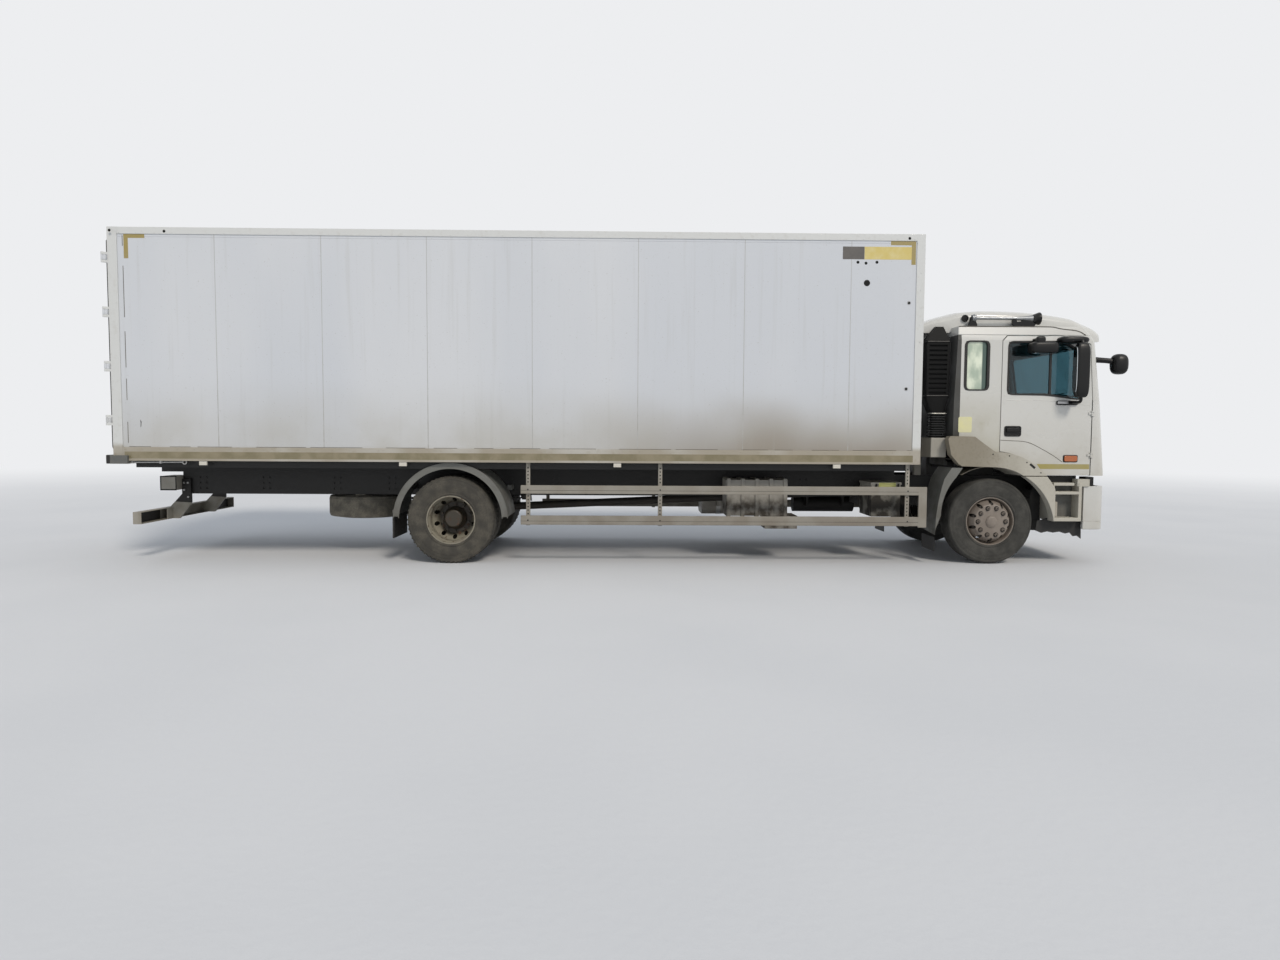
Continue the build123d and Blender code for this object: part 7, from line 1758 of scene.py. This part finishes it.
class TRUCK_OT_steps(bpy.types.Operator):
    """Make the entry steps between the front wheels and the bumper"""
    bl_idname = "truck.entry_steps"
    bl_label = "Entry steps"

    def execute(self, context):
        plastic, panel, black = fender_plastic(), skirt_plastic(), black_plastic()
        arch = []
        for k in range(25):
            turn = math.radians(1.4 + 55 * k / 24)
            radius = 0.66 + 0.07 * (1 - k / 24) ** 1.3
            arch.append((radius * math.cos(turn), WHEEL_Z + radius * math.sin(turn)))
        flare = arch + [(0.64, 1.07), (0.7, 0.993), (0.735, 0.935), (0.744, 0.9), (0.744, 0.537)]
        for side, sign in SIDES:
            add_plate(f"step_flare_{side}", flare, sign * 1.1, sign * 1.219, "chassis", plastic, "dusty_plastic",
                      replaces=("entry_steps",), edge=0.012, segments=3)

            def boxes(name, corners, look, slot, width):
                add_boxes(f"{name}_{side}", [[(AXLE_X + x, sign * y, z) for x, y, z in pair] for pair in corners],
                          "chassis", look, slot, edge=width)

            boxes("step_frame", [((0.735, 0.87, 0.53), (1.075, 1.2, 0.575)), ((0.735, 0.87, 0.855), (1.04, 1.2, 0.89)),
                                 ((1.035, 0.87, 0.53), (1.075, 1.198, 0.995)),
                                 ((0.73, 0.862, 0.96), (0.985, 1.19, 0.995)),
                                 ((0.73, 0.87, 0.53), (0.744, 1.196, 0.995)),
                                 ((1.02, 1.06, 0.95), (1.17, 1.19, 1.04))], plastic, "tank_grey", 0.006)
            boxes("step_well", [((0.74, 1.02, 0.532), (1.07, 1.04, 0.96)), ((0.74, 0.86, 0.532), (1.07, 0.88, 0.995))],
                  panel, "tank_grey", 0.004)
            boxes("step_grab", [((0.762, 1.12, 0.58), (0.8, 1.165, 0.765))], rail_paint(), "tank_grey", 0.008)
            boxes("bumper_stay", [((1.137, 1.0, 0.955), (1.238, 1.15, 1.066)),
                                  ((0.775, 0.425, 0.862), (0.835, 0.865, 0.918)),
                                  ((1.074, 1.08, 0.555), (1.15, 1.11, 0.958))], black, "chassis_black", 0.006)
            bm = bmesh.new()
            add_prism(bm, [(0.6, 0.52), (0.585, 0.405), (0.66, 0.375), (0.73, 0.392), (0.8, 0.378), (0.88, 0.39),
                           (0.953, 0.368), (1.01, 0.38), (1.05, 0.335), (1.1, 0.342), (1.15, 0.305), (1.142, 0.56),
                           (1.07, 0.56), (1.07, 0.532), (0.75, 0.532), (0.735, 0.56)], sign * 1.06, sign * 1.072)
            add_prism(bm, [(0.69, 0.99), (0.99, 0.99), (1.02, 0.95), (1.074, 0.95), (1.074, 1.076), (0.69, 1.076)],
                      sign * 1.04, sign * 1.052)
            add_piece(f"step_deflector_{side}", bm, "chassis", seal_rubber(), "dusty_plastic")
            add_plate(f"splash_apron_{side}", [(0.6, 0.56), (0.615, 0.385), (0.745, 0.38), (0.745, 0.955),
                                               (0.64, 0.955), (0.61, 0.8)], sign * 0.861, sign * 0.868, "chassis",
                      seal_rubber(), "dusty_plastic", edge=0.002)
            spots = [(AXLE_X + x, sign * y, z) for x in (0.79, 0.85, 0.91, 0.97) for y in (0.95, 1.02, 1.09, 1.16)
                     for z in (0.575, 0.89)]
            heads(f"step_studs_{side}", spots, (0, 0, 1), 0.012, 0.004, "chassis", plastic, "tank_grey", 10, 0.6)
        return {"FINISHED"}


class TRUCK_OT_lamps(bpy.types.Operator):
    """Finish the headlamps, side markers and tail lamps with lenses, reflectors and housings"""
    bl_idname = "truck.lamps"
    bl_label = "Lamps"

    def execute(self, context):
        clear = lens("clear_lens", "#DADDDD", 0.55)
        refinish("lamps", "chassis", clear, "lamp_lens", 0.006, 3, keep=lambda p: p.x > 5.0, label="headlamp")
        refinish("lamps", "chassis", lens("marker_lens", "#CFCBC0", 0.05), "lamp_lens", 0.004, 2,
                 keep=lambda p: p.x < 5.0 and p.z > 1.1, label="marker")
        refinish("lamps", "chassis", tank_paint(), "tank_grey", 0.006, 3, keep=lambda p: p.x < -5.0 and p.z < 1.1,
                 label="tail")
        bright = material("aluminised_reflector", lambda tree: {"Base Color": linear("#C8CBCC"), "Metallic": 1.0,
                                                                "Roughness": clouds(tree, 40, 0.1, 0.22)})
        red, amber = lens("red_lens", "#8E1B16", 0.1), lens("amber_lens", "#B5622F", 0.1)
        dark = black_plastic()
        for side, sign in SIDES:
            bm = bmesh.new()
            for y in (0.815, 0.965):
                x = bumper_x(y) - 0.04
                add_lathe(bm, [(-0.06, 0.016), (-0.052, 0.034), (-0.03, 0.054), (0.0, 0.068), (0.0, 0.072),
                               (-0.034, 0.06), (-0.058, 0.038), (-0.066, 0.016)], (x, sign * y, 0.715), (1, 0, 0), 32)
            add_piece(f"headlamp_bowls_{side}", bm, "chassis", bright, "lamp_lens")
            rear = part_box("lamps")[0][0]
            for name, look, near, far in (("stop", red, 0.292, 0.388), ("turn", amber, 0.396, 0.492),
                                          ("reverse", clear, 0.500, 0.588)):
                add_boxes(f"{name}_lens_{side}", [((rear - 0.006, sign * near, 0.83),
                                                   (rear + 0.01, sign * far, 0.977))], "chassis", look, "lamp_lens",
                          edge=0.006, segments=3)
            bm = bmesh.new()
            x = rear - AXLE_X
            add_ring(bm, rectangle(x + 0.012, 0.828, x + 0.19, 0.98), rectangle(x - 0.001, 0.812, x + 0.199, 0.994),
                     sign * 0.594, sign * 0.604)
            add_piece(f"lamp_box_rim_{side}", bm, "chassis", dark, "tank_grey", edge=0.002)
        return {"FINISHED"}


OPERATORS = (TRUCK_OT_stage, TRUCK_OT_frame, TRUCK_OT_wheels, TRUCK_OT_tanks, TRUCK_OT_intake, TRUCK_OT_guards,
             TRUCK_OT_mudguards, TRUCK_OT_box_body, TRUCK_OT_box_marks, TRUCK_OT_cargo_doors, TRUCK_OT_cab_shell,
             TRUCK_OT_cab_windows, TRUCK_OT_mirrors, TRUCK_OT_horns, TRUCK_OT_cab_trim, TRUCK_OT_seats,
             TRUCK_OT_dashboard, TRUCK_OT_bumper, TRUCK_OT_steps, TRUCK_OT_lamps)


class TRUCK_PT_panel(bpy.types.Panel):
    """Sizes, colours and building steps of the truck"""
    bl_label = "Refrigerated truck"
    bl_space_type = "VIEW_3D"
    bl_region_type = "UI"
    bl_category = "Truck"

    def draw(self, context):
        for group in (context.scene.truck_sizes, context.scene.truck_colours):
            for name in group.__annotations__:
                self.layout.prop(group, name)
        for operator in OPERATORS:
            self.layout.operator(operator.bl_idname)


CLASSES = (TruckColours, TruckSizes, *OPERATORS, TRUCK_PT_panel)


def register():
    for each in CLASSES:
        bpy.utils.register_class(each)
    bpy.types.Scene.truck_colours = PointerProperty(type=TruckColours)
    bpy.types.Scene.truck_sizes = PointerProperty(type=TruckSizes)


def unregister():
    del bpy.types.Scene.truck_sizes
    del bpy.types.Scene.truck_colours
    for each in reversed(CLASSES):
        bpy.utils.unregister_class(each)


def main():
    register()
    for operator in OPERATORS:
        group, name = operator.bl_idname.split(".")
        getattr(getattr(bpy.ops, group), name)()


if __name__ == "__main__":
    main()
